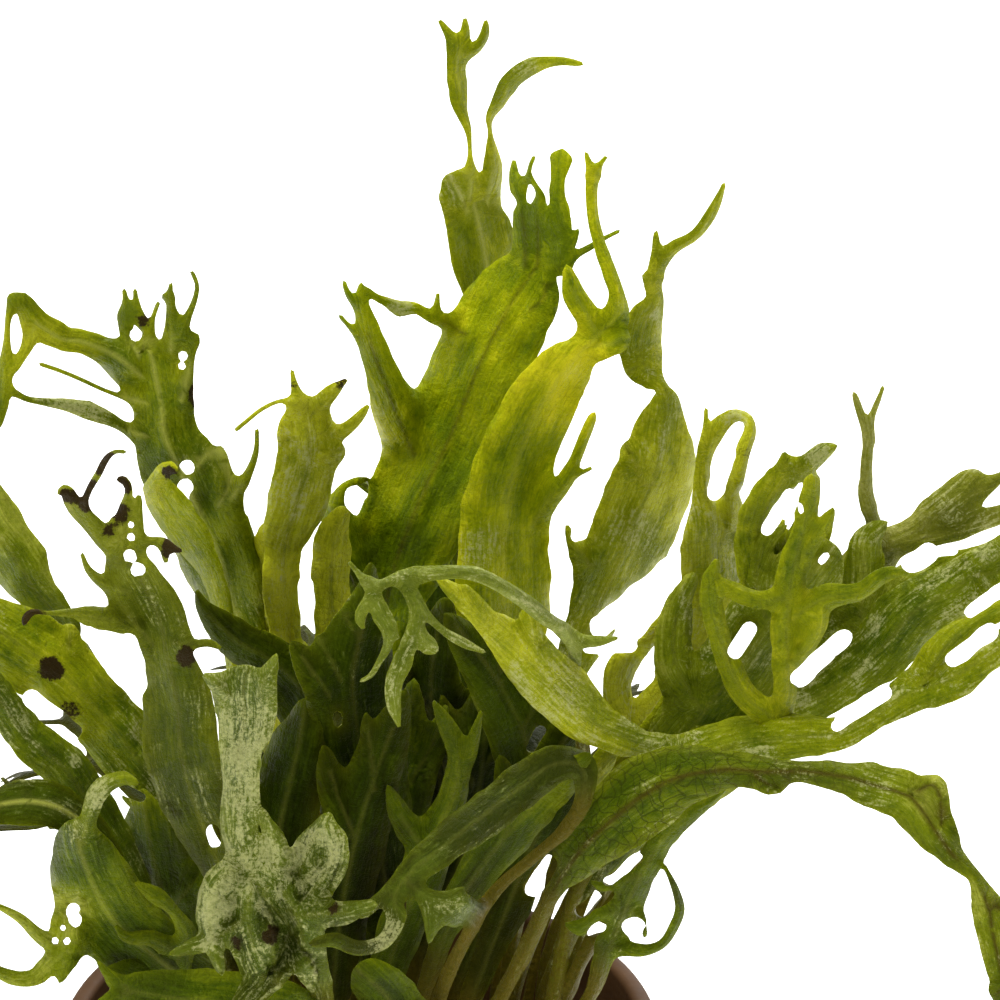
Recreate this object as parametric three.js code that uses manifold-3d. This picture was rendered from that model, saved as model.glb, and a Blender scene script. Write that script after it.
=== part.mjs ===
import * as THREE from 'three';
import { mergeVertices } from 'three/addons/utils/BufferGeometryUtils.js';
import Module from 'manifold-3d';

const wasm = await Module();
wasm.setup();

// Pot, wool and rhizomes, in millimetres
const potHeight = 50;
const potRimRadius = 28.5;
const potBaseRadius = 20;
const rimLipWidth = 1.9;
const rimLipHeight = 3.2;
const potWall = 1.2;
const potFloor = 1.6;
const potFacets = 44;
const woolTop = 42;
const woolDome = 1.8;
const woolEdge = 2.4;
const gap = 0.3;
const rhizomeRadius = 1.75;
const rhizomeFacets = 6;
const rhizomeRows = {
  rear: { y: 11, from: -13.5, to: 20.5 },
  upper: { y: 4, from: -13.5, to: 19 },
  middle: { y: -4, from: -13.5, to: 19 },
  front: { y: -12, from: -14.8, to: 20 },
};
const rootHalfWidth = 0.35;
const rootThickness = 0.5;
const rootReach = 21.8;

// Stalks and blades, in millimetres
const stalkHalfWidth = 0.6;
const bladeThickness = 0.75;
const thinnest = 0.3;
const holeFacets = 5;
const smallestStep = 0.05;

// The fronds are drawn on an upright sight board of 100 by 100 mm that stands square to the line of
// sight. Each point is [mm across, mm down, place in depth, half width], and its place in depth says
// how far behind the pot's centre the sight line is left.
const eye = new THREE.Vector3(13.4, -413.4, 285.2);
const boardDistance = 495;
const boardCentre = 50;
const eyePitch = THREE.MathUtils.degToRad(23.6);
const boardUp = new THREE.Vector3(0, Math.sin(eyePitch), Math.cos(eyePitch));
const boardAhead = new THREE.Vector3(0, Math.cos(eyePitch), -Math.sin(eyePitch));

const drawnFronds = [
  {
    name: 'tall', foot: ['rear', 9.5], tilt: [0.8, 0], colour: 'fresh',
    rib: [
      [48.8, 90, 13, 0.7], [50.6, 70, 14, 0.9], [50.5, 50, 15, 1.6], [49.8, 38, 16, 2.2],
      [49.3, 30.5, 16.6, 2.3], [48.7, 27.5, 16.8, 2.8], [48.2, 24.5, 17, 3.3], [47.3, 20.4, 17.3, 2.9],
    ],
    lobes: [
      [[46.9, 20, 0, 2.2], [47, 17.4, 0.3, 0.8], [47, 15.3, 0.6, 0.17], [46.8, 13, 1, 0.35],
        [46, 10.8, 1.5, 0.7], [45.7, 8.5, 2, 0.95], [45.6, 6.5, 2.5, 1], [45.9, 4.8, 2.8, 1],
        [46.5, 3.2, 3, 0.5], [46.5, 1.9, 3.2, 0.25]],
      [[45.8, 5, 2.8, 0.8], [44.9, 3.4, 3, 0.5], [44, 2.1, 3.2, 0.18]],
      [[46.2, 5.4, 2.8, 0.8], [47.7, 4.7, 2.8, 0.55], [48.5, 3.3, 3, 0.45], [48.6, 2.1, 3.2, 0.25]],
      [[48.6, 20, 0, 1.6], [49.3, 16.5, -0.3, 0.95], [49.1, 14.5, -0.6, 0.5], [49, 13.1, -0.8, 0.17],
        [48.9, 12, -1, 0.35], [49.7, 10.4, -1.5, 0.65], [50.8, 8.4, -2.5, 0.85],
        [52.2, 7.1, -3.5, 0.85], [54, 6.4, -4.5, 0.7], [56, 6.1, -5.5, 0.45], [58.2, 6.4, -6.5, 0.3]],
      [[46.6, 21, 0, 2.2], [45.6, 18.8, 0.3, 1.8], [44.9, 17.8, 0.4, 1.2]],
    ],
  },
  {
    name: 'big', foot: ['upper', 1.8], tilt: [-0.55, -0.2], colour: 'bright',
    rib: [
      [38.6, 96, 5, 0.7], [38.6, 80, 6, 0.9], [38.3, 68, 6.5, 1.6], [38.8, 60, 7, 3.6],
      [40.3, 54.5, 7.5, 5], [42.8, 48.5, 8, 5.4], [45.4, 43, 8.5, 5], [47.6, 37.5, 9, 4.8],
      [50, 32.5, 9.5, 4.6], [52.2, 28.8, 10, 3.8], [53.8, 26.6, 10.3, 2.4],
    ],
    lobes: [
      [[52.6, 26.6, 0, 1.4], [52.6, 23.5, 0, 1.3], [52.3, 21.6, 0.2, 1.1], [52.2, 20.2, 0.3, 0.45],
        [51.8, 18.9, 0.6, 0.8], [51.4, 17.4, 1, 0.5], [51.4, 16.1, 1.4, 0.2]],
      [[52, 18.8, 0.5, 0.6], [52.6, 17.9, 0.7, 0.25]],
      [[53, 31, 0, 2.2], [54.2, 30.2, 0, 1.7], [54.8, 28.4, 0, 1.3]],
      [[53.9, 26, 0, 1.5], [53.9, 23, -0.3, 1.1], [53.8, 21, -0.6, 0.9], [54, 19.4, -0.9, 0.4],
        [53.4, 18.3, -1.2, 0.18], [52.9, 17.2, -1.5, 0.2], [53.4, 15.7, -2, 0.14]],
      [[56, 26.6, 0, 1], [56.3, 23.6, 0.3, 0.8], [55.9, 21.2, 0.6, 0.9], [55.7, 18.6, 1, 0.7],
        [56, 16.6, 1.5, 0.8], [56.2, 15.2, 1.8, 1.1]],
      [[55.5, 21.4, 0.5, 0.8], [54.4, 21.9, 0, 0.7]],
      [[56.4, 26.4, 0, 0.7], [57.6, 25.5, 0.4, 0.4], [59.2, 24.6, 1, 0.33], [60.3, 23.9, 1.5, 0.25],
        [61.9, 23.1, 2, 0.12]],
      [[56.5, 25, 0.3, 0.5], [57.3, 24, 0.6, 0.45], [57.8, 23, 0.9, 0.14]],
      [[46.6, 33.4, 0, 1.2], [44.4, 32.1, -0.5, 0.8], [43, 31.6, -1, 0.6], [41.5, 30.8, -1.5, 0.55],
        [40, 30.9, -2, 0.8], [38.7, 30.2, -2.6, 0.5], [37.4, 29.6, -3.2, 0.33], [36.9, 29, -3.6, 0.25]],
      [[43.6, 31.6, -0.8, 0.5], [43.7, 30.3, -1, 0.3], [43.8, 29.4, -1.2, 0.14]],
      [[41.5, 45.5, 0, 3], [39.8, 41.5, -0.6, 2.4], [38.6, 38.3, -1.4, 1.8], [37.6, 35.6, -2, 1.4],
        [36.8, 32.8, -2.6, 1.1], [36.2, 30.3, -3.2, 0.7], [36.1, 28.4, -3.8, 0.3]],
      [[35.9, 30.6, -3, 0.5], [34.8, 29.4, -3.2, 0.3], [34.4, 28.2, -3.4, 0.18]],
      [[36, 33.6, -2.4, 0.5], [34.7, 32.4, -2.4, 0.2], [34, 31.6, -2.4, 0.12]],
      [[37.6, 62.5, 0, 3], [35.2, 57.6, 0.2, 3], [34, 52.8, 0.3, 2], [33.6, 50.6, 0.4, 1],
        [34.4, 48.6, 0.4, 0.35], [36.6, 47.9, 0.2, 0.5]],
    ],
    holes: [[36, 49.3, 0.75]],
  },
  {
    name: 'fan', foot: ['upper', 10], tilt: [0.5, -0.2], colour: 'bright',
    rib: [
      [47.6, 97, 3, 0.7], [49.2, 84, 2.6, 0.9], [49.8, 70, 2.6, 2], [50.3, 60.5, 2.8, 4.8],
      [50.3, 54.5, 3, 4.6], [50.6, 50, 3.2, 4.2], [52, 45, 3.5, 3.7], [54, 40.5, 4, 3.4],
      [56, 37.5, 4.4, 2.8], [58.2, 35, 4.8, 1.8], [60, 33.2, 5.2, 2], [61.4, 31.8, 5.5, 1.6],
      [61.7, 29.8, 5.8, 0.85], [61, 27.3, 6.3, 0.72], [60, 24.5, 7, 0.6], [59.3, 21.5, 7.8, 0.57],
      [59.15, 19, 8.4, 0.6], [59.3, 17.2, 8.8, 0.65],
    ],
    lobes: [
      [[59.2, 17.3, 0, 0.5], [58.8, 16, 0.2, 0.3], [58.6, 15.3, 0.4, 0.14]],
      [[59.5, 17.3, 0, 0.5], [60.1, 16.3, 0.2, 0.25], [60.6, 15.7, 0.4, 0.12]],
      [[59.4, 33.2, 0, 1.4], [58.6, 31.4, 0.2, 1.4], [57.5, 29.6, 0.3, 1.2], [57, 28, 0.6, 0.8],
        [56.7, 26.6, 0.8, 0.4]],
      [[59.6, 34.6, 0, 1.6], [61.2, 34.4, -0.3, 1.3], [62.6, 33.6, -0.6, 1.1]],
      [[53, 52.6, 0, 1.4], [55.1, 49.9, -0.3, 0.8], [56.5, 48.1, -0.6, 0.85], [57.5, 46, -1, 0.55],
        [58.3, 44, -1.4, 0.55], [59, 42.3, -1.7, 0.5], [59.4, 41.3, -1.9, 0.4]],
      [[57.2, 47.4, -0.7, 0.4], [58.3, 47.2, -0.9, 0.2], [59.1, 46.8, -1.1, 0.12]],
    ],
  },
  {
    name: 'broad', foot: ['upper', 13.5], tilt: [0.6, -0.1], colour: 'fresh',
    rib: [
      [50.8, 97, 5, 0.7], [53.2, 84, 6, 0.9], [56, 70, 7, 1.2], [59.2, 62, 7.4, 2.6],
      [61.9, 56, 7.6, 3.8], [64.2, 50.5, 7.8, 4.2], [65.8, 46, 8, 3.6], [66.2, 43, 8.2, 2.6],
      [66.6, 40.6, 8.4, 1.5], [66.3, 38.9, 8.6, 0.6], [64.6, 37, 8.8, 1.6], [64, 34.8, 9, 2],
      [64.3, 32.4, 9.2, 1.8], [65.4, 30, 9.6, 0.9], [65.4, 27.8, 10, 0.65], [65.6, 25.4, 10.4, 0.45],
      [65.6, 23.2, 10.8, 0.3],
    ],
    lobes: [
      [[65.4, 27.6, 0, 0.6], [66.4, 25.6, -0.3, 0.8], [67.7, 24.5, -0.6, 0.65],
        [69.1, 23.8, -0.9, 0.55], [70.2, 22.7, -1.3, 0.55], [71.3, 21, -1.8, 0.55],
        [72, 19.5, -2.2, 0.35], [72.4, 18.4, -2.6, 0.16]],
      [[64.9, 28.6, 0, 0.4], [64.4, 27.6, 0.1, 0.14]],
      [[64.6, 36.4, 0, 1.6], [62.9, 37, -0.3, 0.9]],
      [[64.4, 48.4, 0, 2.5], [62.6, 44.6, 0.3, 0.6]],
      [[58.8, 56.4, 0, 1.4], [57.2, 54, 0.3, 0.6], [56.7, 52.6, 0.5, 0.25]],
    ],
  },
  {
    name: 'fork', foot: ['upper', -3], tilt: [0.8, -0.2], colour: 'fresh',
    rib: [
      [33.2, 96, 3, 0.7], [32.2, 84, 2, 0.8], [30.2, 72, 1, 1], [28.9, 64, 0.4, 1.8], [28.2, 58.5, 0, 1.9],
      [28.4, 54.5, -0.2, 2], [29.5, 50.8, -0.5, 2.9], [30.4, 47.6, -0.8, 2.9], [30.8, 44.8, -1, 3],
      [30.5, 42.2, -1.3, 2.6],
      [30.6, 40.4, -1.6, 1.6],
    ],
    lobes: [
      [[30.3, 41, 0, 1.1], [29.5, 38.7, 0.3, 0.4], [29.2, 37.1, 0.6, 0.12]],
      [[31.3, 41.2, 0, 1.2], [33, 39.3, -0.2, 0.8], [34.6, 38, -0.5, 0.15]],
      [[30, 40.8, 0, 0.9], [28.8, 40.1, 0.4, 0.3], [26.2, 40.9, 1, 0.14], [24.8, 42, 1.6, 0.14],
        [23.6, 43, 2.2, 0.1]],
      [[31.8, 43.4, 0, 1.5], [34, 43.2, -0.6, 0.8], [35.4, 42.2, -1, 0.6], [36.8, 40.6, -1.5, 0.3]],
      [[32, 46, 0, 1.6], [34.3, 44.9, -0.5, 0.6]],
      [[29.6, 44, 0, 1.2], [28.2, 43.6, 0.2, 0.4]],
    ],
  },
  {
    name: 'stag', foot: ['upper', -8], tilt: [-0.5, -0.3], colour: 'fresh',
    rib: [
      [28.6, 97, 3, 0.7], [28.6, 87, 3, 0.8], [27.6, 76, 2.5, 1], [25.6, 66, 2, 1.6], [23.3, 60, 2, 3],
      [21.8, 55, 2, 4], [19.9, 51, 2, 4.2], [18.3, 47.5, 2.2, 4.1], [16.6, 43.8, 2.5, 3.2],
      [16.1, 40, 2.8, 3], [15.5, 37, 3, 3.5], [15, 35, 3.2, 2.8],
    ],
    lobes: [
      [[13.8, 35.4, 0, 1.1], [12.6, 33, 0.3, 0.7], [12.6, 31.4, 0.6, 0.85], [12.6, 30.3, 0.9, 0.4],
        [12.4, 29, 1.2, 0.12]],
      [[14.4, 34.8, 0, 0.9], [14.3, 32.4, 0.2, 0.6], [13.7, 31, 0.4, 0.5], [13.6, 29.8, 0.7, 0.25],
        [13.5, 29, 0.9, 0.12]],
      [[14.8, 34, 0.2, 0.7], [15.3, 31.8, 0.5, 0.2], [15.8, 30.3, 0.8, 0.1]],
      [[17.2, 35, 0, 1.1], [17.3, 32.4, -0.4, 0.9], [17.1, 30.6, -0.8, 0.45], [17, 29.3, -1.2, 0.3],
        [17.1, 28.4, -1.6, 0.12]],
      [[17.1, 29.8, -1.1, 0.25], [16.4, 29.6, -1.2, 0.12]],
      [[17.8, 33.8, -0.2, 1], [18.8, 31.6, -0.6, 0.4], [19.4, 30.2, -1, 0.28], [19.7, 28.4, -1.5, 0.2],
        [19.2, 27.2, -2, 0.12]],
      [[18.2, 40, 0, 1], [18.9, 37, 0.2, 0.4], [19.3, 34.8, 0.3, 0.4], [19.7, 33.6, 0.3, 0.3]],
      [[19.3, 34.2, 0.3, 0.5], [18.2, 33.4, -0.1, 0.9]],
      [[14, 37.4, 0, 2.6], [12, 35.8, -0.3, 1.8], [10, 34.8, -0.8, 1.3], [8, 34.1, -1.4, 1.2],
        [6.3, 33.9, -2, 1.2], [5, 33.2, -2.6, 1.4], [3.6, 32.2, -3.2, 1.4], [2.8, 30.8, -3.8, 1],
        [1.6, 29.9, -4.4, 0.7]],
      [[1.5, 30, -4.4, 0.7], [0.9, 31.5, -4.7, 0.35], [0.7, 34, -5, 0.35], [0.6, 36.5, -5.3, 0.8],
        [0.3, 39, -5.6, 0.9], [-0.2, 41.5, -6, 0.7], [-0.8, 44, -6.5, 0.2]],
      [[3.5, 32.4, -3.2, 1], [2.9, 34.2, -4, 0.7], [2.2, 35.6, -4.7, 0.5], [1.1, 37, -5.2, 0.7]],
      [[14.6, 43.6, 0, 1.5], [12.6, 42.8, -0.4, 0.6], [10.6, 41.7, -1, 0.7], [8.7, 41, -1.8, 0.9],
        [6.6, 40.5, -2.6, 0.65], [4.5, 40.2, -3.4, 0.4], [2.4, 39.8, -4.4, 0.3], [1.1, 39, -5.2, 0.4]],
      [[14.5, 40.2, 0, 0.9], [12.6, 39.8, -0.3, 0.14], [10.4, 39, -0.8, 0.18], [8, 37.9, -1.4, 0.12],
        [5.8, 37, -2, 0.14], [4, 36.4, -2.6, 0.14]],
      [[22, 50.4, 0, 2], [22.9, 48.6, -0.3, 1], [22.9, 47, -0.5, 0.25], [22.5, 45.4, -0.8, 0.12]],
      [[23.4, 49.6, -0.3, 1], [24.8, 47.4, -0.6, 0.45], [25.6, 45.2, -0.9, 0.28],
        [25.7, 43, -1.2, 0.1]],
      [[19.8, 46.6, 0.2, 1], [20.9, 45.3, 0.3, 0.45], [22.1, 44.8, 0.5, 0.14]],
    ],
    holes: [[18.7, 46.7, 0.75], [18.5, 48.7, 0.85], [18.4, 50, 0.6], [13.6, 33.5, 0.65],
      [18.3, 35.6, 0.5], [18.2, 36.6, 0.4]],
  },
  {
    name: 'hook', foot: ['middle', -8], tilt: [-0.9, -0.2], colour: 'bright',
    rib: [
      [27.8, 101, -4, 0.7], [26.8, 88, -4.5, 0.8], [25, 75, -5, 0.9], [23, 64, -5, 0.9],
      [21.9, 59.6, -5.2, 1],
      [20.9, 56.6, -5.4, 1.25], [19.3, 53.9, -5.6, 1.7], [17.4, 51.4, -6, 1.95], [16.1, 49.3, -6.3, 1.8],
      [15.7, 48.2, -6.6, 1.3],
    ],
    lobes: [
      [[15.6, 48.8, 0, 1.2], [16.1, 47.3, -0.8, 0.7], [17, 46.8, -1.6, 0.6], [17.7, 47.2, -2.2, 0.3]],
    ],
  },
  {
    name: 'far_left', foot: ['upper', -12], tilt: [-0.5, -0.6], colour: 'green',
    rib: [
      [22.8, 97, 2, 0.7], [20.4, 90, -1, 0.8], [16, 80.5, -5, 0.9], [11, 71, -8, 1],
      [7.6, 64.5, -9, 1.2], [5.6, 61.4, -9.5, 1.6], [3.4, 58.8, -10, 2.2], [1.3, 55.4, -10.5, 3],
      [-1.1, 52.4, -11, 3.1], [-2.8, 49.3, -11.5, 2.6], [-4.6, 47, -12, 1.6],
    ],
    lobes: [
      [[-3, 49.6, 0, 1.8], [-5.2, 49.8, -0.6, 0.9], [-7.2, 49.2, -1.2, 0.3]],
      [[-4.4, 47.2, 0, 1.2], [-5.4, 44.4, 0.6, 0.6], [-5.2, 42.4, 1.2, 0.2]],
      [[-4.8, 46.8, 0, 0.9], [-6.6, 46, -0.2, 0.4], [-7.6, 44.6, -0.4, 0.15]],
      [[-1.2, 51.4, 0, 1.8], [-3.6, 53.8, -0.8, 0.9], [-5.6, 55, -1.5, 0.25]],
    ],
  },
  {
    name: 'bronze', foot: ['front', -5.5], tilt: [-0.6, -0.4], colour: 'bronze',
    rib: [
      [29, 104.6, -15, 0.7], [25.6, 96, -19, 0.9], [22.2, 87, -22, 1.8], [19.6, 80.5, -24, 3.1],
      [18.2, 75, -25.5, 3.7], [17.8, 70, -26.3, 3.5], [16.9, 66, -26.8, 2.5], [16.1, 62, -27.2, 2.4],
      [14.7, 58.9, -27.6, 2.2], [13.4, 56.8, -28, 1.7], [12.2, 55.4, -28.2, 1.2],
    ],
    lobes: [
      [[11.8, 55.4, 0, 0.8], [10.5, 53.1, -0.4, 0.5], [9.5, 52.2, -0.8, 0.6], [8.7, 51.2, -1.2, 0.35],
        [8.55, 50, -1.6, 0.3], [9.1, 48.6, -2, 0.33], [9.9, 47.3, -2.6, 0.35], [10.6, 45.9, -3.2, 0.33],
        [11.5, 45.15, -4, 0.2], [12.5, 45.2, -4.6, 0.12]],
      [[11, 55, 0, 0.6], [9.9, 54, -0.2, 0.5], [8.9, 52.6, -0.2, 0.6], [7.9, 51.2, -0.4, 0.75],
        [7.1, 49.9, -0.8, 0.75], [6.5, 49, -1.4, 0.6], [5.9, 49.3, -2.2, 0.3]],
      [[12.3, 55.2, 0, 0.9], [12.3, 53, 0.3, 0.75], [12.4, 51.4, 0.5, 0.8], [12.7, 50, 0.7, 0.45],
        [12.9, 49, 0.9, 0.35], [12.4, 48, 1.2, 0.4], [11.8, 47.9, 1.6, 0.35]],
      [[12.1, 52.4, 0.4, 0.5], [11.3, 52, 0.2, 0.25], [10.9, 53.3, 0, 0.3]],
      [[13.6, 56.4, 0, 1.1], [13.7, 53.6, 0.2, 0.7], [13.7, 51.4, 0.5, 0.55], [13.9, 49.6, 0.8, 0.35]],
      [[13.9, 54.2, 0.2, 0.6], [15, 54.1, 0, 0.4], [16.1, 54.2, -0.3, 0.5], [17.1, 54.8, -0.8, 0.5],
        [18.1, 55.1, -1.4, 0.14]],
      [[16.4, 54.6, -0.4, 0.4], [16.5, 55.6, -0.6, 0.3], [16.6, 56.2, -0.8, 0.25]],
      [[12.6, 59, 0, 1.2], [9.8, 57.9, -0.3, 0.55], [8.8, 56.9, -0.6, 0.35], [8.2, 55.4, -1, 0.14]],
      [[13.6, 62.6, 0.3, 1.6], [11.9, 59.8, 0.3, 1.2], [11.1, 57.6, 0.2, 0.7], [11.2, 55.8, 0, 0.6]],
      [[15.4, 64.4, 0, 1.4], [13.4, 62.6, -0.5, 0.8], [11.4, 62.1, -0.9, 1.05], [9.3, 61.7, -1.3, 1.1],
        [7.4, 61.3, -1.8, 0.5], [6.1, 61.3, -2.2, 0.35], [4.6, 61.3, -2.6, 0.2], [3.2, 61.2, -3, 0.3],
        [2.6, 61.8, -3.6, 0.4], [2.4, 62.4, -4.2, 0.2]],
      [[17.6, 64.2, 0, 1.6], [19.4, 64.4, 0.4, 0.5], [21, 64.3, 0.8, 0.4], [22, 64.8, 1, 0.25]],
    ],
    holes: [[13.1, 52.5, 0.35], [13.1, 53.7, 0.45], [13, 55.6, 0.7], [13.8, 57, 0.75]],
  },
  {
    name: 'spotted', foot: ['middle', -11.5], tilt: [-0.3, -0.7], colour: 'olive',
    rib: [
      [23.8, 102.6, -8, 0.7], [22.8, 96, -11, 1], [21, 88.6, -13.5, 2], [18, 82, -15, 3],
      [15, 77.5, -15.6, 3.7],
      [11.8, 73.4, -16.2, 3.5], [8.7, 70, -17, 3.2], [6, 67.2, -17.5, 3.8], [3, 65.2, -18, 4.1],
      [0, 63.2, -18.5, 3.3],
      [-3, 61.4, -19, 2.4], [-5.4, 60, -19.5, 1.4],
    ],
    lobes: [
      [[6.8, 65, 0.2, 1.8], [7.1, 62.6, 0.4, 0.6]],
      [[-2.5, 62.5, 0, 1.6], [-4, 64.6, -0.4, 0.9], [-5.8, 66.2, -0.8, 0.25]],
      [[-5, 60.4, 0, 1.2], [-6.8, 60.4, -0.4, 0.6], [-8.4, 59.8, -0.8, 0.2]],
      [[-4.6, 60.2, 0, 1], [-6, 57.8, 0.2, 0.5], [-6.6, 56.2, 0.4, 0.15]],
    ],
  },
  {
    name: 'low_left', foot: ['front', -13], tilt: [0.2, -0.7], colour: 'green',
    rib: [
      [20.6, 106, -15, 0.7], [16.8, 98.4, -18, 0.8], [13.2, 88.4, -20, 1.8], [9.4, 81.4, -21, 2.4],
      [6.2, 76.6, -21.5, 2.4],
      [2.6, 73.6, -22, 2], [0.4, 70.6, -22.5, 1.9], [-1.8, 67.8, -23, 1.3],
    ],
    lobes: [
      [[-1.4, 68.2, 0, 1.1], [-3.2, 66.6, -0.3, 0.5], [-4.6, 66.2, -0.5, 0.15]],
      [[-1.6, 68.2, 0, 1], [-2.2, 65.8, 0.2, 0.45], [-1.8, 64, 0.4, 0.15]],
    ],
  },
  {
    name: 'dark_left', foot: ['front', -10.5], tilt: [0.2, -0.8], colour: 'deep',
    rib: [
      [22.6, 107.4, -17, 0.7], [18.8, 101, -21.5, 0.9], [14.2, 92.8, -24.6, 1.1], [10.5, 85.2, -26, 1.6],
      [6.2, 81, -27, 2.2],
      [2.4, 80.2, -27.6, 2.3], [-0.8, 80.8, -28, 1.8], [-3.4, 81.8, -28.4, 1.1],
    ],
    lobes: [
      [[-2.8, 81.6, 0, 1.2], [-5, 81.4, -0.3, 0.5], [-6.6, 80.6, -0.6, 0.15]],
      [[-2.8, 81.8, 0, 1.1], [-4.4, 83.8, -0.6, 0.5], [-5, 85.6, -1.2, 0.15]],
    ],
  },
  {
    name: 'strap', foot: ['front', -3], tilt: [-0.6, -0.2], colour: 'pale',
    rib: [
      [33, 105.2, -21, 0.8], [32, 98.4, -27.5, 1.2], [29.2, 92.8, -32, 2.6], [25.8, 88.6, -34.5, 2.6],
      [24.2, 84, -35.6, 1.9], [24.1, 79, -36.4, 1.9], [24.1, 75, -37, 2.2], [24.6, 71, -37.6, 3],
      [24.5, 69, -37.9, 3.3], [24.9, 67.4, -38.1, 2.6],
    ],
    lobes: [
      [[23.4, 69.6, 0.2, 1.6], [21.6, 68.2, 0.5, 0.9], [20.4, 67.5, 0.8, 0.3]],
      [[26, 69.6, 0, 1.5], [27, 67, -0.3, 0.8], [27.6, 65.5, -0.8, 0.2]],
      [[28.8, 91, 0, 1.8], [31.6, 88.8, -1.5, 1.8], [33.1, 86.2, -2.8, 1.6], [33.2, 83.8, -4, 1.3],
        [32.4, 82.2, -5, 0.7]],
      [[24.4, 86.4, 0, 1.4], [21.8, 88.2, -1, 1.5], [20.9, 91.4, -2, 1.2], [21.4, 94.6, -3, 0.9],
        [22.2, 97.4, -3.8, 0.4]],
      [[29.8, 87.6, 0, 1.4], [30.8, 85.2, -1.2, 1.6], [32, 83, -2.4, 1.1], [33, 81.4, -3, 0.4]],
      [[29.4, 91.6, 0, 1.6], [32.6, 91.4, -1, 1.4], [35.6, 91, -2, 1], [37.6, 90.4, -2.6, 0.5]],
      [[26, 90.6, 0, 2], [22.5, 93.2, -0.8, 1.6], [19.6, 94.6, -1.6, 0.8], [17, 95.4, -2.2, 0.3]],
      [[29, 93.4, 0, 2], [27, 97, -1.5, 1.8], [24.6, 100, -3, 1.2], [22.6, 102.5, -4.2, 0.4]],
    ],
  },
  {
    name: 'shade', foot: ['middle', -4], tilt: [-0.5, -0.4], colour: 'deep',
    rib: [
      [32.6, 101, -6, 0.7], [34, 90, -7, 1], [34, 80, -8, 2.2], [32.4, 73.5, -8.6, 3.2],
      [30, 68.6, -9, 3.3],
      [27, 65.8, -9.4, 2.2], [24, 64.2, -9.8, 2], [21.9, 62.4, -10.2, 1.5], [20.3, 60.6, -10.6, 0.8],
      [19.7, 59.1, -11, 0.2],
    ],
    lobes: [],
  },
  {
    name: 'heart', foot: ['middle', 1], tilt: [0.45, -0.4], colour: 'deep',
    rib: [
      [38.2, 101, -8, 0.8], [38.6, 93, -9.6, 2], [38.2, 87, -10.8, 3.2], [37.2, 81, -12.2, 3.9],
      [35.8, 74, -13.6, 4.6], [35.2, 67.5, -14.8, 4.2],
      [36.2, 62.5, -15.6, 2.6], [36.9, 58.8, -16.2, 1.2], [37.1, 56.4, -16.6, 0.4],
    ],
    lobes: [
      [[34, 68, 0, 2.4], [32.6, 65.2, 0.4, 1.4], [31.8, 63.7, 0.7, 0.4]],
      [[32.8, 69.4, 0, 2.2], [30.6, 66.4, 0.3, 1.4], [29.2, 64.2, 0.6, 0.4]],
      [[36, 64, 0, 2], [34.6, 61.6, 0.3, 0.6]],
    ],
  },
  {
    name: 'mid', foot: ['upper', 6], tilt: [-0.5, -0.2], colour: 'deep',
    rib: [
      [43.2, 97, 1, 0.7], [44.2, 88, 0, 1.2], [44.4, 80, -1.4, 3], [43.6, 74, -2.4, 3.6],
      [43.2, 68.5, -3, 3],
      [43.8, 63.5, -3.4, 2], [44.6, 60, -3.8, 0.8],
    ],
    lobes: [
      [[44, 74, 0, 2.4], [46.8, 70.6, -0.3, 1.4], [48.2, 68.4, -0.5, 0.4]],
      [[43.2, 71.4, 0, 2.4], [41, 67.6, -0.3, 1.3], [39.9, 65.2, -0.5, 0.4]],
    ],
  },
  {
    name: 'old', foot: ['middle', 5], tilt: [0.45, -0.3], colour: 'deep',
    rib: [
      [43.2, 100.4, -8, 0.6], [46.6, 94, -9.4, 0.6], [50, 88.9, -10.6, 0.65], [52.4, 85.4, -11.6, 1.1],
      [53.6, 81, -12.6, 3],
      [53, 75.5, -13.8, 3.6], [51, 70.5, -15, 3.4], [48.6, 66.5, -16, 2.6], [46.3, 63.6, -16.8, 1.6],
      [44.6, 61.4, -17.4, 0.4],
    ],
    lobes: [
      [[52.4, 72.4, 0, 2.2], [54.6, 68.6, -0.4, 1.2], [55.8, 66.4, -0.8, 0.4]],
      [[50.2, 69.4, 0, 2], [49.6, 65, -0.6, 1], [49, 62.6, -1, 0.3]],
      [[53.4, 77.4, 0, 2.2], [56.4, 74, -0.3, 1.6], [58.4, 71.2, -0.6, 0.5]],
    ],
  },
  {
    name: 'lattice', foot: ['front', -8], tilt: [-0.4, -0.4], colour: 'green',
    rib: [
      [26.4, 108, -17, 0.8], [24.6, 104.2, -21.5, 1.2], [20.6, 99.6, -25, 2.8], [15.5, 95.6, -27.6, 3.8],
      [11.4, 92, -29, 4.2],
      [9.2, 88, -30, 3.9], [8, 84.6, -30.6, 2.6], [7.6, 82.4, -31, 1.4],
    ],
    lobes: [
      [[8, 85, 0, 1.4], [8.8, 82, -0.3, 0.9], [9.5, 79.8, -0.7, 0.95], [10.8, 78.4, -1.2, 0.85],
        [12.4, 77.8, -1.8, 0.7],
        [13.8, 78.4, -2.4, 0.3]],
      [[8.8, 90, 0, 2.6], [7.2, 92.4, 0, 2.2], [6.4, 94, 0, 1.4]],
      [[7.4, 94.2, 0, 1.5], [5.6, 94.4, -0.3, 0.9], [4, 93.6, -0.7, 0.7], [2, 91.8, -1.3, 0.5],
        [0, 90.7, -2, 0.3],
        [-2, 89.8, -2.7, 0.15]],
      [[6.8, 95.2, 0, 1.3], [5, 96.4, -0.3, 1], [3.4, 97.8, -0.7, 0.8], [1, 97.7, -1.3, 0.7],
        [-1, 96.6, -2, 0.4],
        [-2.6, 95.4, -2.7, 0.15]],
      [[6.5, 96.2, 0, 1.1], [6, 98.2, -0.4, 0.3]],
    ],
    holes: [[7.3, 91, 0.75], [7.5, 92, 0.7], [6.3, 92.8, 0.3], [5.5, 94.1, 0.4], [6.7, 94.1, 0.42]],
  },
  {
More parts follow.
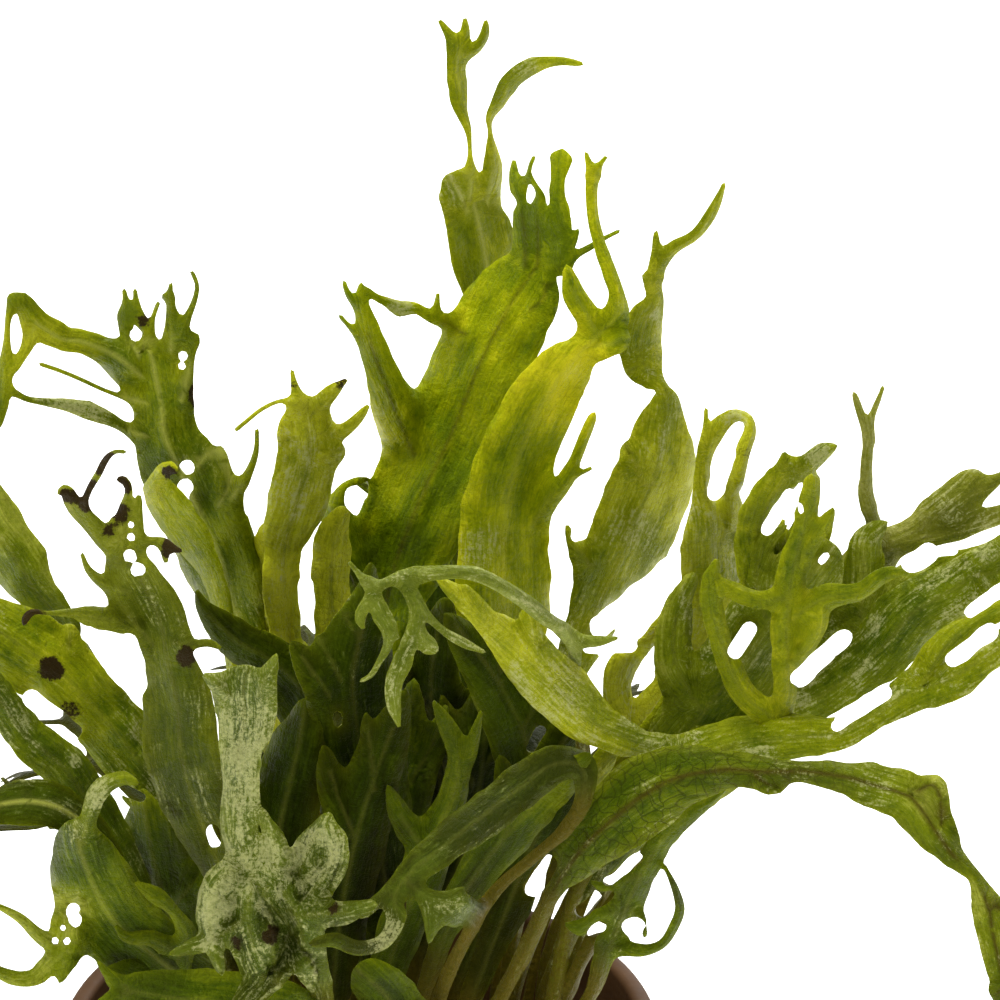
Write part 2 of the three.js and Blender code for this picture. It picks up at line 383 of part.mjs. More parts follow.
    name: 'skirt', foot: ['front', -0.5], tilt: [0.1, -0.5], colour: 'green',
    rib: [
      [35.6, 108.4, -19, 0.8], [33.4, 104.2, -25.4, 1.7], [28.6, 101.4, -30.2, 3.1],
      [23, 100.4, -32, 3.4], [17, 99.8, -33.6, 2.8],
      [12.6, 99, -34.6, 1.6],
    ],
    lobes: [
      [[13.4, 99.2, 0, 1.4], [11, 97.6, -0.2, 0.6], [9.8, 96.2, -0.3, 0.2]],
      [[13.4, 99.2, 0, 1.3], [10.8, 100, -0.8, 0.7], [8.8, 101.2, -1.5, 0.2]],
      [[29, 101.4, 0, 2.2], [27, 105, -2, 1.6], [25.6, 109, -4, 0.8], [25, 112, -5.5, 0.2]],
      [[22, 101.4, 0, 2], [19.4, 104.6, -2, 1.4], [17.4, 108, -4, 0.7], [16.6, 110.4, -5, 0.2]],
      [[17, 100, 0, 1.6], [14.2, 103, -1.6, 1], [12.4, 105.6, -3, 0.3]],
    ],
  },
  {
    name: 'bib', foot: ['front', 2], tilt: [0, 0], colour: 'bright',
    rib: [
      [38.8, 108.4, -18.6, 0.8], [40.4, 104.8, -21, 1.6], [39.8, 101.4, -22.8, 2.8], [37.8, 98.6, -24.2, 2.5],
      [35.8, 97, -25, 1.2],
    ],
    lobes: [
      [[42, 102, 0, 2.2], [44.2, 103.6, -2, 1.6], [45, 107, -4.6, 1], [44.6, 110, -6.6, 0.3]],
      [[40, 101.4, 0, 2], [37.8, 104.4, -2.4, 1.2], [36.4, 107, -4.6, 0.4]],
    ],
  },
  {
    name: 'curl', foot: ['front', 5], tilt: [0, -0.5], colour: 'pale',
    rib: [
      [42.4, 104.6, -18, 0.7], [44.2, 99, -20, 0.8], [46.8, 93.4, -22, 0.7], [49.8, 88.8, -23, 0.6],
      [53, 86, -23, 0.6], [56.4, 83, -23.2, 0.7], [58.4, 79.4, -23.1, 1], [58, 76.6, -23, 1.5],
      [55.6, 76.4, -24.6, 1.9], [52, 78.8, -27, 2.1], [48, 81.8, -30, 2.2], [44.4, 84.6, -32.4, 1.9],
      [41.4, 87, -34.2, 1.5], [39.5, 89.6, -34.8, 1.3], [39.7, 92, -35.4, 0.9],
      [38.2, 94.2, -36.4, 0.75], [35.8, 94.8, -38.2, 0.8], [33.4, 94, -39, 0.8], [31, 94.4, -39.6, 0.4],
    ],
    lobes: [
      [[40.8, 88.2, 0, 1.3], [42.6, 89.7, -0.4, 0.9], [44.8, 90.2, -0.8, 1.1], [46.8, 90.3, -1.2, 0.7],
        [47.9, 90.7, -1.6, 0.2]],
      [[42.8, 90.4, -0.5, 0.9], [43.2, 92.4, -0.9, 0.8], [42.9, 94.2, -1.3, 0.2]],
      [[44.6, 90.6, -0.8, 0.9], [45.4, 92.2, -0.6, 0.6], [46.6, 91.6, -0.4, 0.3]],
      [[45, 89.8, -0.8, 0.5], [46.3, 88.8, -0.6, 0.35]],
      [[39.6, 89.4, 0.2, 0.9], [37.6, 90.2, 0.4, 0.7], [36.2, 91.3, 0.6, 0.6], [34.6, 90.4, 0.9, 0.35]],
    ],
  },
  {
    name: 'feather', foot: ['front', 8], tilt: [0, -0.5], colour: 'pale',
    rib: [
      [49.4, 101, -15, 0.7], [53.2, 93.4, -16.4, 0.7], [56, 87.6, -17, 0.7], [58, 82.6, -17.2, 0.7],
      [58.6, 78, -17.4, 0.7],
      [58, 72.4, -18.8, 0.7], [57.4, 68, -20.5, 0.65], [57.4, 65, -22.4, 0.65],
      [56.6, 63.2, -25.6, 0.65], [54.8, 62, -29.6, 0.7],
      [52.8, 60.4, -32, 0.7], [50.2, 58.6, -34.5, 0.75], [47, 57.3, -35.5, 0.75],
      [44, 57.3, -36.3, 0.75], [41, 57.6, -37, 0.85],
      [39, 58.1, -37.6, 0.5], [37.6, 58.6, -38.1, 0.5], [36.6, 58.1, -38.5, 0.45],
      [35.8, 57.3, -38.8, 0.3], [35, 56.3, -39.1, 0.14],
    ],
    lobes: [
      [[56.4, 63.2, 0, 0.7], [58.4, 64.1, -0.3, 0.6], [60, 64.1, -0.7, 0.5], [61.7, 63.8, -1.1, 0.15]],
      [[36.9, 58.4, 0, 0.6], [37.6, 60, -0.6, 0.8], [38.2, 61.6, -1.2, 0.95], [38.9, 62.8, -1.8, 0.75],
        [39.7, 63.7, -2.3, 0.15]],
      [[37.3, 59.4, -0.3, 0.5], [36.4, 60.6, -0.5, 0.55], [36, 62, -0.7, 0.5], [36.3, 62.8, -0.9, 0.15]],
      [[38.8, 62.8, -1.7, 0.5], [38.8, 64.4, -1.2, 0.5], [37.9, 66.2, -0.8, 0.3], [37, 67.6, -0.5, 0.25],
        [36.1, 68.1, -0.3, 0.15]],
      [[40, 58, 0, 0.6], [41.4, 60, -0.8, 0.75], [41.6, 62, -1.6, 0.75], [41.1, 64, -2.2, 0.8],
        [40.1, 66.4, -2.8, 0.95],
        [39.3, 69, -3.3, 0.95], [39.5, 71, -3.6, 0.65], [39.9, 72.6, -3.8, 0.15]],
      [[41.4, 59.6, -0.8, 0.5], [42.8, 61.6, -0.5, 0.4], [44, 62.8, -0.3, 0.35], [46.4, 64.3, 0, 0.5],
        [48.4, 65.2, 0.3, 0.15]],
      [[41.6, 62.8, -1.8, 0.5], [42.8, 64.6, -1.8, 0.85], [43.7, 65, -1.8, 0.4]],
    ],
  },
  {
    name: 'veined', foot: ['front', 10.5], tilt: [0.1, -0.5], colour: 'olive',
    rib: [
      [50, 100, -17.4, 0.75], [53, 94, -19.4, 0.85], [55.6, 88.6, -21, 1.1], [58, 85.2, -22, 2.4],
      [61, 82.2, -23, 3.4], [64.6, 79.4, -24, 3.9], [68.4, 77.6, -25, 3], [72, 77, -26, 2.1],
      [76, 77.2, -27, 1.5], [80, 77.2, -28.2, 1.2], [83.8, 77.6, -29.4, 1.5], [87.4, 78.5, -30.5, 2.1],
      [91, 79.8, -32, 2.5], [93.4, 83, -33.5, 2.2], [95.3, 85.6, -34.6, 1.2], [97.4, 87.6, -35.4, 0.65],
      [98.7, 90.4, -36, 1.5], [99.4, 94, -36.4, 1.7], [100.2, 97.6, -36.6, 1.4],
      [100.8, 101, -36.8, 1.1], [102.2, 104, -37, 0.6], [103.6, 106.6, -37, 0.2],
    ],
    lobes: [
      [[91.4, 79.4, 0, 1.2], [93.4, 78.5, -0.5, 1], [94.2, 80.2, -1.4, 0.9], [94.2, 82.4, -2.4, 0.4]],
      [[98.9, 90.4, 0, 0.8], [99.9, 90.8, -0.3, 0.3]],
      [[75.6, 77.6, 0, 1.3], [77, 78.5, 0.2, 1], [78.4, 78.7, 0.3, 0.5]],
      [[100, 99, 0, 1.1], [101.6, 97.6, -0.8, 0.8], [103.4, 97.2, -1.6, 0.25]],
    ],
  },
  {
    name: 'holed', foot: ['front', 18], tilt: [0.4, -0.3], colour: 'bright',
    rib: [
      [56, 104, -14.4, 0.7], [59.3, 99, -16, 0.75], [60.4, 95.8, -17, 1.1], [61.8, 92.6, -18, 1.5],
      [63, 89.6, -18.8, 1.5], [64.6, 86.6, -19.4, 1.3], [66, 84.2, -20, 1.2], [68, 82.2, -20.6, 1.1],
      [70.2, 80.6, -21, 0.7], [72.4, 79, -21.4, 0.3],
    ],
    lobes: [
      [[61.9, 91, 0, 0.9], [60, 91.6, 0.3, 0.8], [58, 92.8, 0.6, 0.8], [56.6, 92.4, 0.8, 0.3]],
      [[63.6, 87.6, 0, 0.9], [61.6, 88.2, 0.3, 0.7], [60, 88.6, 0.5, 0.45], [59.2, 88.2, 0.6, 0.15]],
      [[61, 94.6, 0, 1.2], [62.8, 94.9, -0.4, 0.8], [64.6, 95, -0.8, 0.55], [66.2, 94.4, -1.2, 0.45],
        [67.3, 92.8, -1.6, 0.5], [68, 90.8, -2, 0.5], [67.7, 89.4, -2.4, 0.4], [67.1, 87.9, -2.8, 0.28],
        [66.5, 86.7, -3, 0.14]],
      [[62.8, 90.6, 0, 0.9], [64.2, 91.8, -0.2, 0.4], [64.5, 93.6, -0.5, 0.3]],
    ],
  },
  {
    name: 'sweep', foot: ['front', 15], tilt: [0.1, -0.6], colour: 'fresh',
    rib: [
      [55.4, 100, -13.4, 0.8], [56.4, 94, -13.4, 0.8], [58, 88, -14, 0.85], [61.6, 82, -15, 1.2],
      [67, 77.2, -16.2, 2.4],
      [73, 74.6, -17.2, 2.7], [79, 73.8, -18, 2.3], [84, 73.3, -18.6, 1.6], [87.6, 71.4, -19, 1.5],
      [91, 69.4, -19.4, 2],
      [95, 67.8, -19.8, 2.3], [98.6, 65.6, -20.2, 1.8], [102, 63.4, -20.8, 1.2],
    ],
    lobes: [
      [[68.4, 75.8, 0, 1.8], [63.6, 74.2, -2.8, 1.6], [59.6, 72.4, -6, 2.2], [56.4, 69.6, -8.6, 3],
        [53.4, 66.6, -10.4, 2.8],
        [50.4, 63.6, -12, 1.9], [47.6, 61.2, -13.4, 1], [45.4, 59.2, -14.4, 0.85],
        [43.8, 57.9, -15.2, 0.3]],
      [[48.5, 62.2, -12.8, 1], [47.4, 60.2, -13.4, 0.8], [46.5, 58.6, -14, 0.3]],
      [[53.8, 66, -10.2, 1.5], [53, 62.8, -10.8, 1.1], [52.4, 61, -11.2, 0.5]],
      [[92.2, 68.4, 0, 2], [95.2, 64, 0.6, 1.4], [97.6, 62.3, 1, 0.85], [100, 61, 1.4, 1],
        [102.4, 59.6, 1.8, 0.6],
        [104.2, 58.4, 2.2, 0.2]],
      [[101, 64, 0, 1.2], [103, 64.8, -0.6, 0.7], [104.8, 64.8, -1.2, 0.2]],
      [[101.4, 63.8, 0, 1], [103.2, 62.4, 0, 0.5], [104.8, 62, 0, 0.2]],
    ],
  },
  {
    name: 'reach', foot: ['middle', 17], tilt: [0.1, -0.6], colour: 'green',
    rib: [
      [55.4, 98, -7, 0.7], [58, 90, -8, 0.8], [62.5, 82, -9, 1], [68, 76, -10, 1.6],
      [73.6, 72.8, -10.6, 2.4],
      [79.4, 71, -11.2, 2.2], [84.8, 67.8, -11.8, 2.4], [88.4, 64.6, -12.2, 3.2],
      [91.4, 61.2, -12.6, 3.2], [95.2, 59, -13, 2.5],
      [98.8, 56.2, -13.4, 1.7], [101.4, 54.2, -13.8, 1],
    ],
    lobes: [
      [[97.4, 57.4, 0, 1.4], [101, 57.2, -0.6, 0.8], [103.6, 56.6, -1.2, 0.25]],
      [[100.8, 54.6, 0, 1], [103.2, 54, -0.3, 0.5], [104.8, 54, -0.5, 0.2]],
      [[100.8, 54.6, 0, 1], [102.6, 51.8, 0.2, 0.5], [103.4, 50.2, 0.4, 0.2]],
    ],
  },
  {
    name: 'high_right', foot: ['upper', 17], tilt: [0.4, -0.6], colour: 'olive',
    rib: [
      [54.8, 96, 3, 0.7], [58.2, 88, 2, 0.8], [64, 80, 1, 1], [69.6, 73.4, 0, 1.8], [75, 68.4, -1, 2.6],
      [79.6, 63.6, -2, 2.4], [83.8, 59.8, -2.8, 2.8], [86.8, 56.6, -3.4, 2.6], [88.2, 54.4, -3.8, 1.9],
    ],
    lobes: [
      [[87.8, 55.8, 0, 1.7], [87.4, 52.4, -0.3, 0.85], [86.7, 50, -0.6, 0.65], [86.6, 47, -0.9, 0.6],
        [86.9, 44, -1.2, 0.5], [87.2, 41.6, -1.5, 0.33], [87.9, 39.8, -1.8, 0.25],
        [88.3, 38.7, -2.1, 0.12]],
      [[86.9, 44, -1.2, 0.4], [86, 41.2, -1.5, 0.4], [85.4, 39.3, -1.8, 0.3]],
      [[86.9, 50.6, -0.6, 0.7], [86.2, 48.6, -0.7, 0.4]],
      [[88.6, 54.8, 0, 1.8], [91.6, 53, 0.2, 1.4], [94.4, 50.8, 0.5, 1.9], [96.8, 48.8, 0.8, 1.8],
        [97.8, 47.4, 1, 1.1]],
      [[96.4, 49.8, 0.8, 1.5], [98.6, 48.6, 1.1, 0.9], [100.8, 47.2, 1.4, 0.3]],
      [[90.2, 54.2, 0.2, 1.2], [93.8, 53.4, 0.6, 1.2], [97.2, 52.4, 1, 1.2], [100.6, 51.2, 1.5, 0.9],
        [103.6, 50, 2, 0.3]],
    ],
  },
  {
    name: 'olive', foot: ['middle', 13], tilt: [0.7, -0.3], colour: 'deep',
    rib: [
      [51.8, 98, -6, 0.7], [55.2, 89, -7, 0.8], [60.3, 80, -8, 0.9], [65.2, 73, -8.4, 1.2],
      [70.2, 67.6, -8.6, 1.8],
      [75, 63.4, -8.8, 1.5], [76.8, 59.8, -8.9, 2.2], [76.2, 56, -9, 2.6], [76, 52.2, -9.2, 2.4],
      [77.4, 49.2, -9.4, 1.8],
      [79.2, 46.9, -9.6, 1.35], [80.3, 46.5, -9.8, 0.8],
    ],
    lobes: [
      [[79.8, 47, 0, 0.9], [81.2, 46, -0.5, 1], [82.5, 45, -1, 0.8], [83.6, 44.6, -1.5, 0.3]],
      [[78.6, 47, 0, 0.8], [78.4, 45.3, 0.2, 0.15]],
      [[77, 57.6, 0, 1.6], [79.6, 53.6, 0.5, 0.8], [80.8, 51, 0.9, 0.85], [81.2, 48.8, 1.2, 0.9],
        [81.2, 47.5, 1.4, 0.85]],
      [[77.4, 60, 0, 1.7], [80.4, 57, 0.3, 1.4], [81.6, 54.6, 0.6, 1.1], [82.5, 52.4, 0.9, 0.75],
        [83.2, 51, 1.2, 0.4]],
    ],
  },
  {
    name: 'arch', foot: ['middle', 9], tilt: [0.6, -0.2], colour: 'fresh',
    rib: [
      [48.2, 98, -4.4, 0.7], [52.4, 89, -4.2, 0.8], [57.2, 80, -4, 0.9], [63, 73.5, -3.8, 1.6],
      [67.6, 68, -3.8, 2.3], [70.4, 63.4, -3.8, 2.6], [71.2, 58.4, -3.8, 3], [71.2, 54, -4, 3],
      [71, 51, -4, 2], [70.4, 48.8, -4.1, 0.95], [70.4, 46.2, -4.3, 0.75], [71, 44.1, -4.6, 0.85],
      [72.2, 42.4, -5, 0.8], [73.6, 41.5, -5.5, 0.65], [74.8, 41.9, -6.2, 0.5], [75, 43.2, -6.9, 0.65],
      [74.4, 44.8, -7.6, 0.75], [73.9, 46.8, -8.2, 0.8], [73.5, 49, -8.8, 0.7],
    ],
    lobes: [
      [[63.4, 73, 0, 1.4], [61.7, 69.6, 0, 1.5], [62.8, 65.4, 0, 1.4], [66, 62.4, 0, 1.2],
        [69, 60.6, 0, 0.8]],
      [[70.7, 44.8, 0, 0.5], [70.6, 42.4, 0.2, 0.28], [70.6, 40.9, 0.4, 0.15]],
      [[72, 54.4, 0, 2.2], [73.2, 50.8, 0, 1], [72.9, 47.4, 0, 0.25]],
    ],
  },
  {
    name: 'inner_left', foot: ['middle', -1.5], tilt: [-0.3, -0.3], colour: 'deep',
    rib: [
      [35.2, 101, -5.4, 0.7], [36.8, 92, -6, 1.8], [38.8, 84, -6.4, 3.4], [40.4, 77, -6.8, 3.2],
      [41, 71, -7, 1.6],
      [41.4, 68, -7.2, 0.4],
    ],
    lobes: [
      [[40, 79, 0, 2.4], [37.6, 73.4, 0.3, 1.3], [36.6, 70.4, 0.5, 0.3]],
      [[41, 78.4, 0, 2.2], [43.6, 73.6, 0.3, 1.2], [44.6, 70.6, 0.5, 0.3]],
    ],
  },
  {
    name: 'inner_mid', foot: ['middle', 3], tilt: [0.3, -0.3], colour: 'deep',
    rib: [
      [40.4, 101, -5.6, 0.7], [43, 93, -6, 1.4], [46, 86, -6.4, 3.4], [47.6, 80, -6.8, 3.8],
      [48.4, 74, -7, 3],
      [48.8, 69, -7.2, 1.6], [49, 66, -7.4, 0.3],
    ],
    lobes: [
      [[47.4, 79, 0, 2.4], [45.2, 73, 1.6, 1.2], [44.2, 69.6, 2.6, 0.3]],
      [[48.2, 77, 0, 2.4], [51.4, 72, -0.2, 1.3], [52.6, 69, -0.4, 0.3]],
    ],
  },
  {
    name: 'inner_right', foot: ['middle', 7], tilt: [0.3, -0.3], colour: 'deep',
    rib: [
      [44.8, 101, -6, 0.7], [47.6, 94, -7.2, 1.5], [49.8, 88.4, -8, 2], [51.6, 83, -8.6, 2.3],
      [52.8, 78, -9, 1.6],
      [53.4, 75, -9.2, 0.3],
    ],
    lobes: [
      [[52, 81, 0, 1.8], [54.8, 77.6, -0.2, 1.1], [56.4, 75.4, -0.4, 0.3]],
    ],
  },
];

// Fronds behind and between the drawn ones. Their outlines are flat, as [mm along the stalk, mm to
// one side, mm lifted off the blade, half width], and each one is laid over its own arch.
const outlines = {
  crested: {
    rib: [[14, 0, 0, 0.8], [23, 0, 0, 2.4], [32, 0.3, 0, 4.6], [41, 0, 0, 5.4], [48, -0.4, 0, 4.6],
    [53, 0, 0, 3]],
    lobes: [
      [[50, -3, 0, 2], [55, -6.5, 0.4, 1.6], [59, -8.6, 1, 1.1], [62, -9.2, 1.6, 0.3]],
      [[56.6, -7.4, 0.5, 0.9], [58.4, -11, 1, 0.7], [60.4, -13.2, 1.6, 0.2]],
      [[53, 0, 0, 2.2], [58.5, 0.5, -0.4, 1.6], [62.5, -0.6, -1, 1], [66, -1.6, -1.6, 0.25]],
      [[60, 0.2, -0.6, 0.9], [63, 2.6, -0.8, 0.7], [66, 3.6, -1.2, 0.2]],
      [[50, 3, 0, 2], [54, 7, 0.3, 1.5], [57, 10.2, 0.7, 1.1], [58, 13.4, 1.3, 0.3]],
      [[55.4, 8.4, 0.4, 0.9], [59, 8.8, 0.8, 0.8], [62.4, 9.8, 1.4, 0.2]],
    ],
  },
  forked: {
    rib: [[14, 0, 0, 0.8], [24, 0.2, 0, 2], [34, 0, 0, 3.8], [44, -0.3, 0, 4.3], [51, 0, 0, 3.4]],
    lobes: [
      [[49, -1.6, 0, 2.2], [55, -4.4, 0.6, 1.8], [61, -6.4, 1.4, 1.5], [65, -9, 2.2, 0.3]],
      [[60, -6.2, 1.2, 1], [65, -4.6, 1.6, 0.8], [69, -4.8, 2, 0.2]],
      [[49, 1.6, 0, 2.2], [54.4, 4.8, -0.3, 1.7], [59, 8, -0.8, 1.3], [62, 11.6, -1.4, 0.3]],
      [[57.6, 7, -0.6, 1], [62, 6.4, -1, 0.8], [66, 7.6, -1.6, 0.2]],
    ],
  },
  slender: {
    rib: [[12, 0, 0, 0.8], [22, 0, 0, 1.8], [34, 0.4, 0, 2.8], [46, 0, 0, 2.8], [54, -0.6, 0, 2]],
    lobes: [
      [[53, -0.8, 0, 1.5], [59, -3.6, 0.5, 1], [63, -6.4, 1.2, 0.25]],
      [[53, 0, 0, 1.5], [60, 0.8, -0.4, 1.2], [66, -0.4, -1, 0.25]],
      [[58, 0.6, -0.3, 0.9], [61.6, 4, -0.6, 0.8], [65, 5.4, -1.2, 0.2]],
    ],
  },
};

const archedFronds = [
  { name: 'back_1', foot: ['rear', -12], heading: 168, rise: [78, -40],
    size: 0.58, wide: 1, roll: 8, outline: 'crested' },
  { name: 'back_2', foot: ['rear', -9.2], heading: 136, rise: [72, -44],
    size: 0.66, wide: 0.95, roll: -6, outline: 'forked' },
  { name: 'back_3', foot: ['rear', -6.2], heading: 122, rise: [80, -20],
    size: 0.56, wide: 0.9, roll: 10, outline: 'slender' },
  { name: 'back_4', foot: ['rear', -3], heading: 106, rise: [70, -36],
    size: 0.76, wide: 1, roll: -8, outline: 'crested' },
  { name: 'back_5', foot: ['rear', 0], heading: 94, rise: [84, -10],
    size: 0.66, wide: 0.85, roll: 4, outline: 'forked' },
  { name: 'back_6', foot: ['rear', 3.2], heading: 88, rise: [62, -34],
    size: 0.86, wide: 1, roll: -4, outline: 'forked' },
  { name: 'back_7', foot: ['rear', 6.4], heading: 84, rise: [84, 14],
    size: 0.9, wide: 0.85, roll: 6, outline: 'crested' },
  { name: 'back_8', foot: ['rear', 12.8], heading: 78, rise: [63, -44],
    size: 0.74, wide: 1, roll: -8, outline: 'crested' },
  { name: 'back_9', foot: ['rear', 16], heading: 64, rise: [72, -36],
    size: 0.68, wide: 0.9, roll: 8, outline: 'slender' },
  { name: 'back_10', foot: ['rear', 19], heading: 66, rise: [70, -44],
    size: 0.5, wide: 1, roll: -8, outline: 'forked' },
  { name: 'back_11', foot: ['upper', -0.6], heading: 112, rise: [88, 10],
    size: 0.62, wide: 0.9, roll: 10, outline: 'crested' },
  { name: 'back_12', foot: ['upper', 4], heading: 84, rise: [88, 30],
    size: 0.56, wide: 0.9, roll: -8, outline: 'slender' },
  { name: 'back_13', foot: ['upper', 8], heading: 96, rise: [89, 30],
    size: 0.74, wide: 0.9, roll: 4, outline: 'forked' },
  { name: 'back_14', foot: ['upper', -5.6], heading: 130, rise: [88, -6],
    size: 0.56, wide: 0.9, roll: -8, outline: 'crested' },
];

const colours = {
  pot: 0x5c4128,
  wool: 0x6b6238,
  rhizome: 0x3c4a17,
  bright: 0xaab014,
  fresh: 0x8f9c08,
  green: 0x6c8206,
  deep: 0x3e5404,
  pale: 0x8f9a5e,
  bronze: 0x5f5a18,
  olive: 0x7a7822,
};

function toSolid(geometry) {
  const bare = geometry.clone();
  bare.deleteAttribute('normal');
  bare.deleteAttribute('uv');
  const joined = mergeVertices(bare, 1e-4);
  return new wasm.Manifold(new wasm.Mesh({
    numProp: 3,
    vertProperties: new Float32Array(joined.getAttribute('position').array),
    triVerts: new Uint32Array(joined.getIndex().array),
  }));
}

function toGeometry(solid) {
  const mesh = solid.asOriginal().simplify(smallestStep).getMesh();
  const geometry = new THREE.BufferGeometry();
  geometry.setAttribute('position', new THREE.BufferAttribute(new Float32Array(mesh.vertProperties), 3));
  geometry.setIndex(new THREE.BufferAttribute(new Uint32Array(mesh.triVerts), 1));
  geometry.computeVertexNormals();
  return geometry;
}

function turned(points, facets) {
  const outline = points.map(([radius, height]) => new THREE.Vector2(radius, height));
  const geometry = new THREE.LatheGeometry(outline, facets);
  geometry.rotateX(Math.PI / 2);
  return geometry;
}

// A strip of triangular section: two edges and a ridge on its back, one ring for each point
function strip(rings) {
  const lastRing = rings.length - 1;
  const shape = new THREE.CylinderGeometry(1, 1, 1, 3, lastRing);
  const place = shape.getAttribute('position');
  for (let i = 0; i < place.count; i += 1) {
    const ring = rings[Math.round((0.5 - place.getY(i)) * lastRing)];
    const across = place.getX(i);
    const spot = ring.point.clone();
    if (Math.abs(across) > 0.5) {
      spot.addScaledVector(ring.side, Math.sign(across));
    } else if (place.getZ(i) > 0.5) {
      spot.add(ring.ridge);
    } else {
      spot.addScaledVector(ring.ridge, 1 / 3);
    }
    place.setXYZ(i, spot.x, spot.y, spot.z);
  }
  return toSolid(shape);
}

// The side of each ring is turned so that the strip's faces look outwards
function faceOut(rings) {
  rings.forEach((ring, i) => {
    const before = rings[Math.max(i - 1, 0)].point;
    const after = rings[Math.min(i + 1, rings.length - 1)].point;
    const forward = after.clone().sub(before);
    if (ring.side.clone().cross(forward).dot(ring.ridge) > 0) {
      ring.side.negate();
    }
  });
  return rings;
}

function woolHeight(x, y) {
  const share = Math.hypot(x, y) / potRimRadius;
  return woolTop - woolDome * share * share;
}

function rhizomeHeight(x, y) {
  return woolHeight(x, y) + gap + rhizomeRadius;
}

function makePot() {
  const neck = potHeight - rimLipHeight;
  const wallRadius = (height) => THREE.MathUtils.lerp(potBaseRadius, potRimRadius - 1, height / neck);
  return turned([
    [0, 0],
    [potBaseRadius, 0],
    [wallRadius(neck), neck],
    [potRimRadius, neck],
    [potRimRadius, potHeight - 0.5],
    [potRimRadius - 0.5, potHeight],
    [potRimRadius - rimLipWidth, potHeight],
    [wallRadius(neck) - potWall, neck - 1],
    [potBaseRadius - potWall, potFloor],
    [0, potFloor],
  ], potFacets);
}

function makeWool() {
  const neck = potHeight - rimLipHeight;
  const slope = (potRimRadius - 1 - potBaseRadius) / neck;
  const inner = (height) => potBaseRadius + slope * height - potWall - 2 * gap;
  const shoulder = woolTop - woolDome - woolEdge;
  return turned([
    [0, potFloor + gap],
    [inner(potFloor + gap) - 1, potFloor + gap],
    [inner(shoulder), shoulder],
    [inner(shoulder) - 1.2, woolHeight(inner(shoulder), 0) - 0.2],
    [inner(shoulder) * 0.6, woolHeight(inner(shoulder) * 0.6, 0)],
    [0, woolTop],
  ], potFacets / 2);
}

// Thickness of a strip from its half width
function depthOf(halfWidth) {
  return THREE.MathUtils.clamp(halfWidth * 1.4, thinnest, bladeThickness);
}

function rootRings(points) {
  const lift = new THREE.Vector3(0, 0, rootThickness);
  return faceOut(points.map((point, i) => {
    const before = points[Math.max(i - 1, 0)];
    const after = points[Math.min(i + 1, points.length - 1)];
    const forward = after.clone().sub(before);
    const side = new THREE.Vector3(-forward.y, forward.x, 0).setLength(rootHalfWidth);
    return { point, side, ridge: lift.clone() };
  }));
}

function makeRhizome(row, order) {
  const knots = 8;
  const body = new THREE.CylinderGeometry(1, 1, 1, rhizomeFacets, knots);
  const place = body.getAttribute('position');
  for (let i = 0; i < place.count; i += 1) {
    const share = 0.5 - place.getY(i);
    const x = THREE.MathUtils.lerp(row.from, row.to, share);
    const knot = Math.round(share * knots);
    const isEnd = knot === 0 || knot === knots;
    const radius = isEnd ? 0.5 * rhizomeRadius : rhizomeRadius * (1 - 0.12 * ((knot + order) % 2));
    const across = place.getX(i) * radius;
    const up = place.getZ(i) * radius;
    place.setXYZ(i, x, row.y + across, rhizomeHeight(x, row.y) + up);
  }
  let solid = toSolid(body);
  if (solid.volume() < 0) {
    throw new Error('a rhizome faces inwards');
  }
  const rootCount = 6;
  for (let i = 0; i < rootCount; i += 1) {
    const side = i % 2 === 0 ? 1 : -1;
    const isFree = (order === 3 && side < 0) || (order === 0 && side > 0);
    const along = i % 3 === 0 ? -1 : 1;
    const x = THREE.MathUtils.lerp(row.from + 2.5, row.to - 2.5, i / (rootCount - 1));
    const reach = isFree ? [0.6, 2.6, 5, 8] : [0.6, 2.3, 2.9, 2.7];
    const run = isFree ? [0, 0.4, 1.6, 4.6] : [0, 1, 3, 5.4];
    const points = reach.map((distance, j) => {
      const spot = new THREE.Vector2(x + along * run[j], row.y + side * distance).clampLength(0, rootReach);
      const lift = j === 0 ? 1.4 : 0.35 + 0.25 * ((i + j) % 2);
      return new THREE.Vector3(spot.x, spot.y, woolHeight(spot.x, spot.y) + gap + lift);
    });
    solid = solid.add(strip(rootRings(points)));
  }
  return toGeometry(solid);
}

function footOf(frond) {
  const [rowName, x] = frond.foot;
  const row = rhizomeRows[rowName];
  return new THREE.Vector3(x, row.y, rhizomeHeight(x, row.y) + rhizomeRadius + gap);
}

// From the sight board to the row's own millimetres
function fromBoard(across, down, depth) {
  const sight = new THREE.Vector3(across - boardCentre, 0, 0);
  sight.addScaledVector(boardUp, boardCentre - down);
  sight.addScaledVector(boardAhead, boardDistance);
  return eye.clone().addScaledVector(sight, (depth - eye.y) / sight.y);
}

function boardRings(points, tilt) {
  return points.map(([across, down, depth, halfWidth], i) => {
    const before = points[Math.max(i - 1, 0)];
    const after = points[Math.min(i + 1, points.length - 1)];
    const forward = new THREE.Vector2(after[0] - before[0], after[1] - before[1]).normalize();
    const sideAcross = -forward.y * halfWidth;
    const sideDown = forward.x * halfWidth;
    const sideDepth = tilt[0] * sideAcross + tilt[1] * sideDown;
    const point = fromBoard(across, down, depth);
    const edge = fromBoard(across + sideAcross, down + sideDown, depth + sideDepth);
    const ridge = point.clone().sub(eye).setLength(depthOf(halfWidth));
    return { point, side: edge.sub(point), ridge };
  });
}

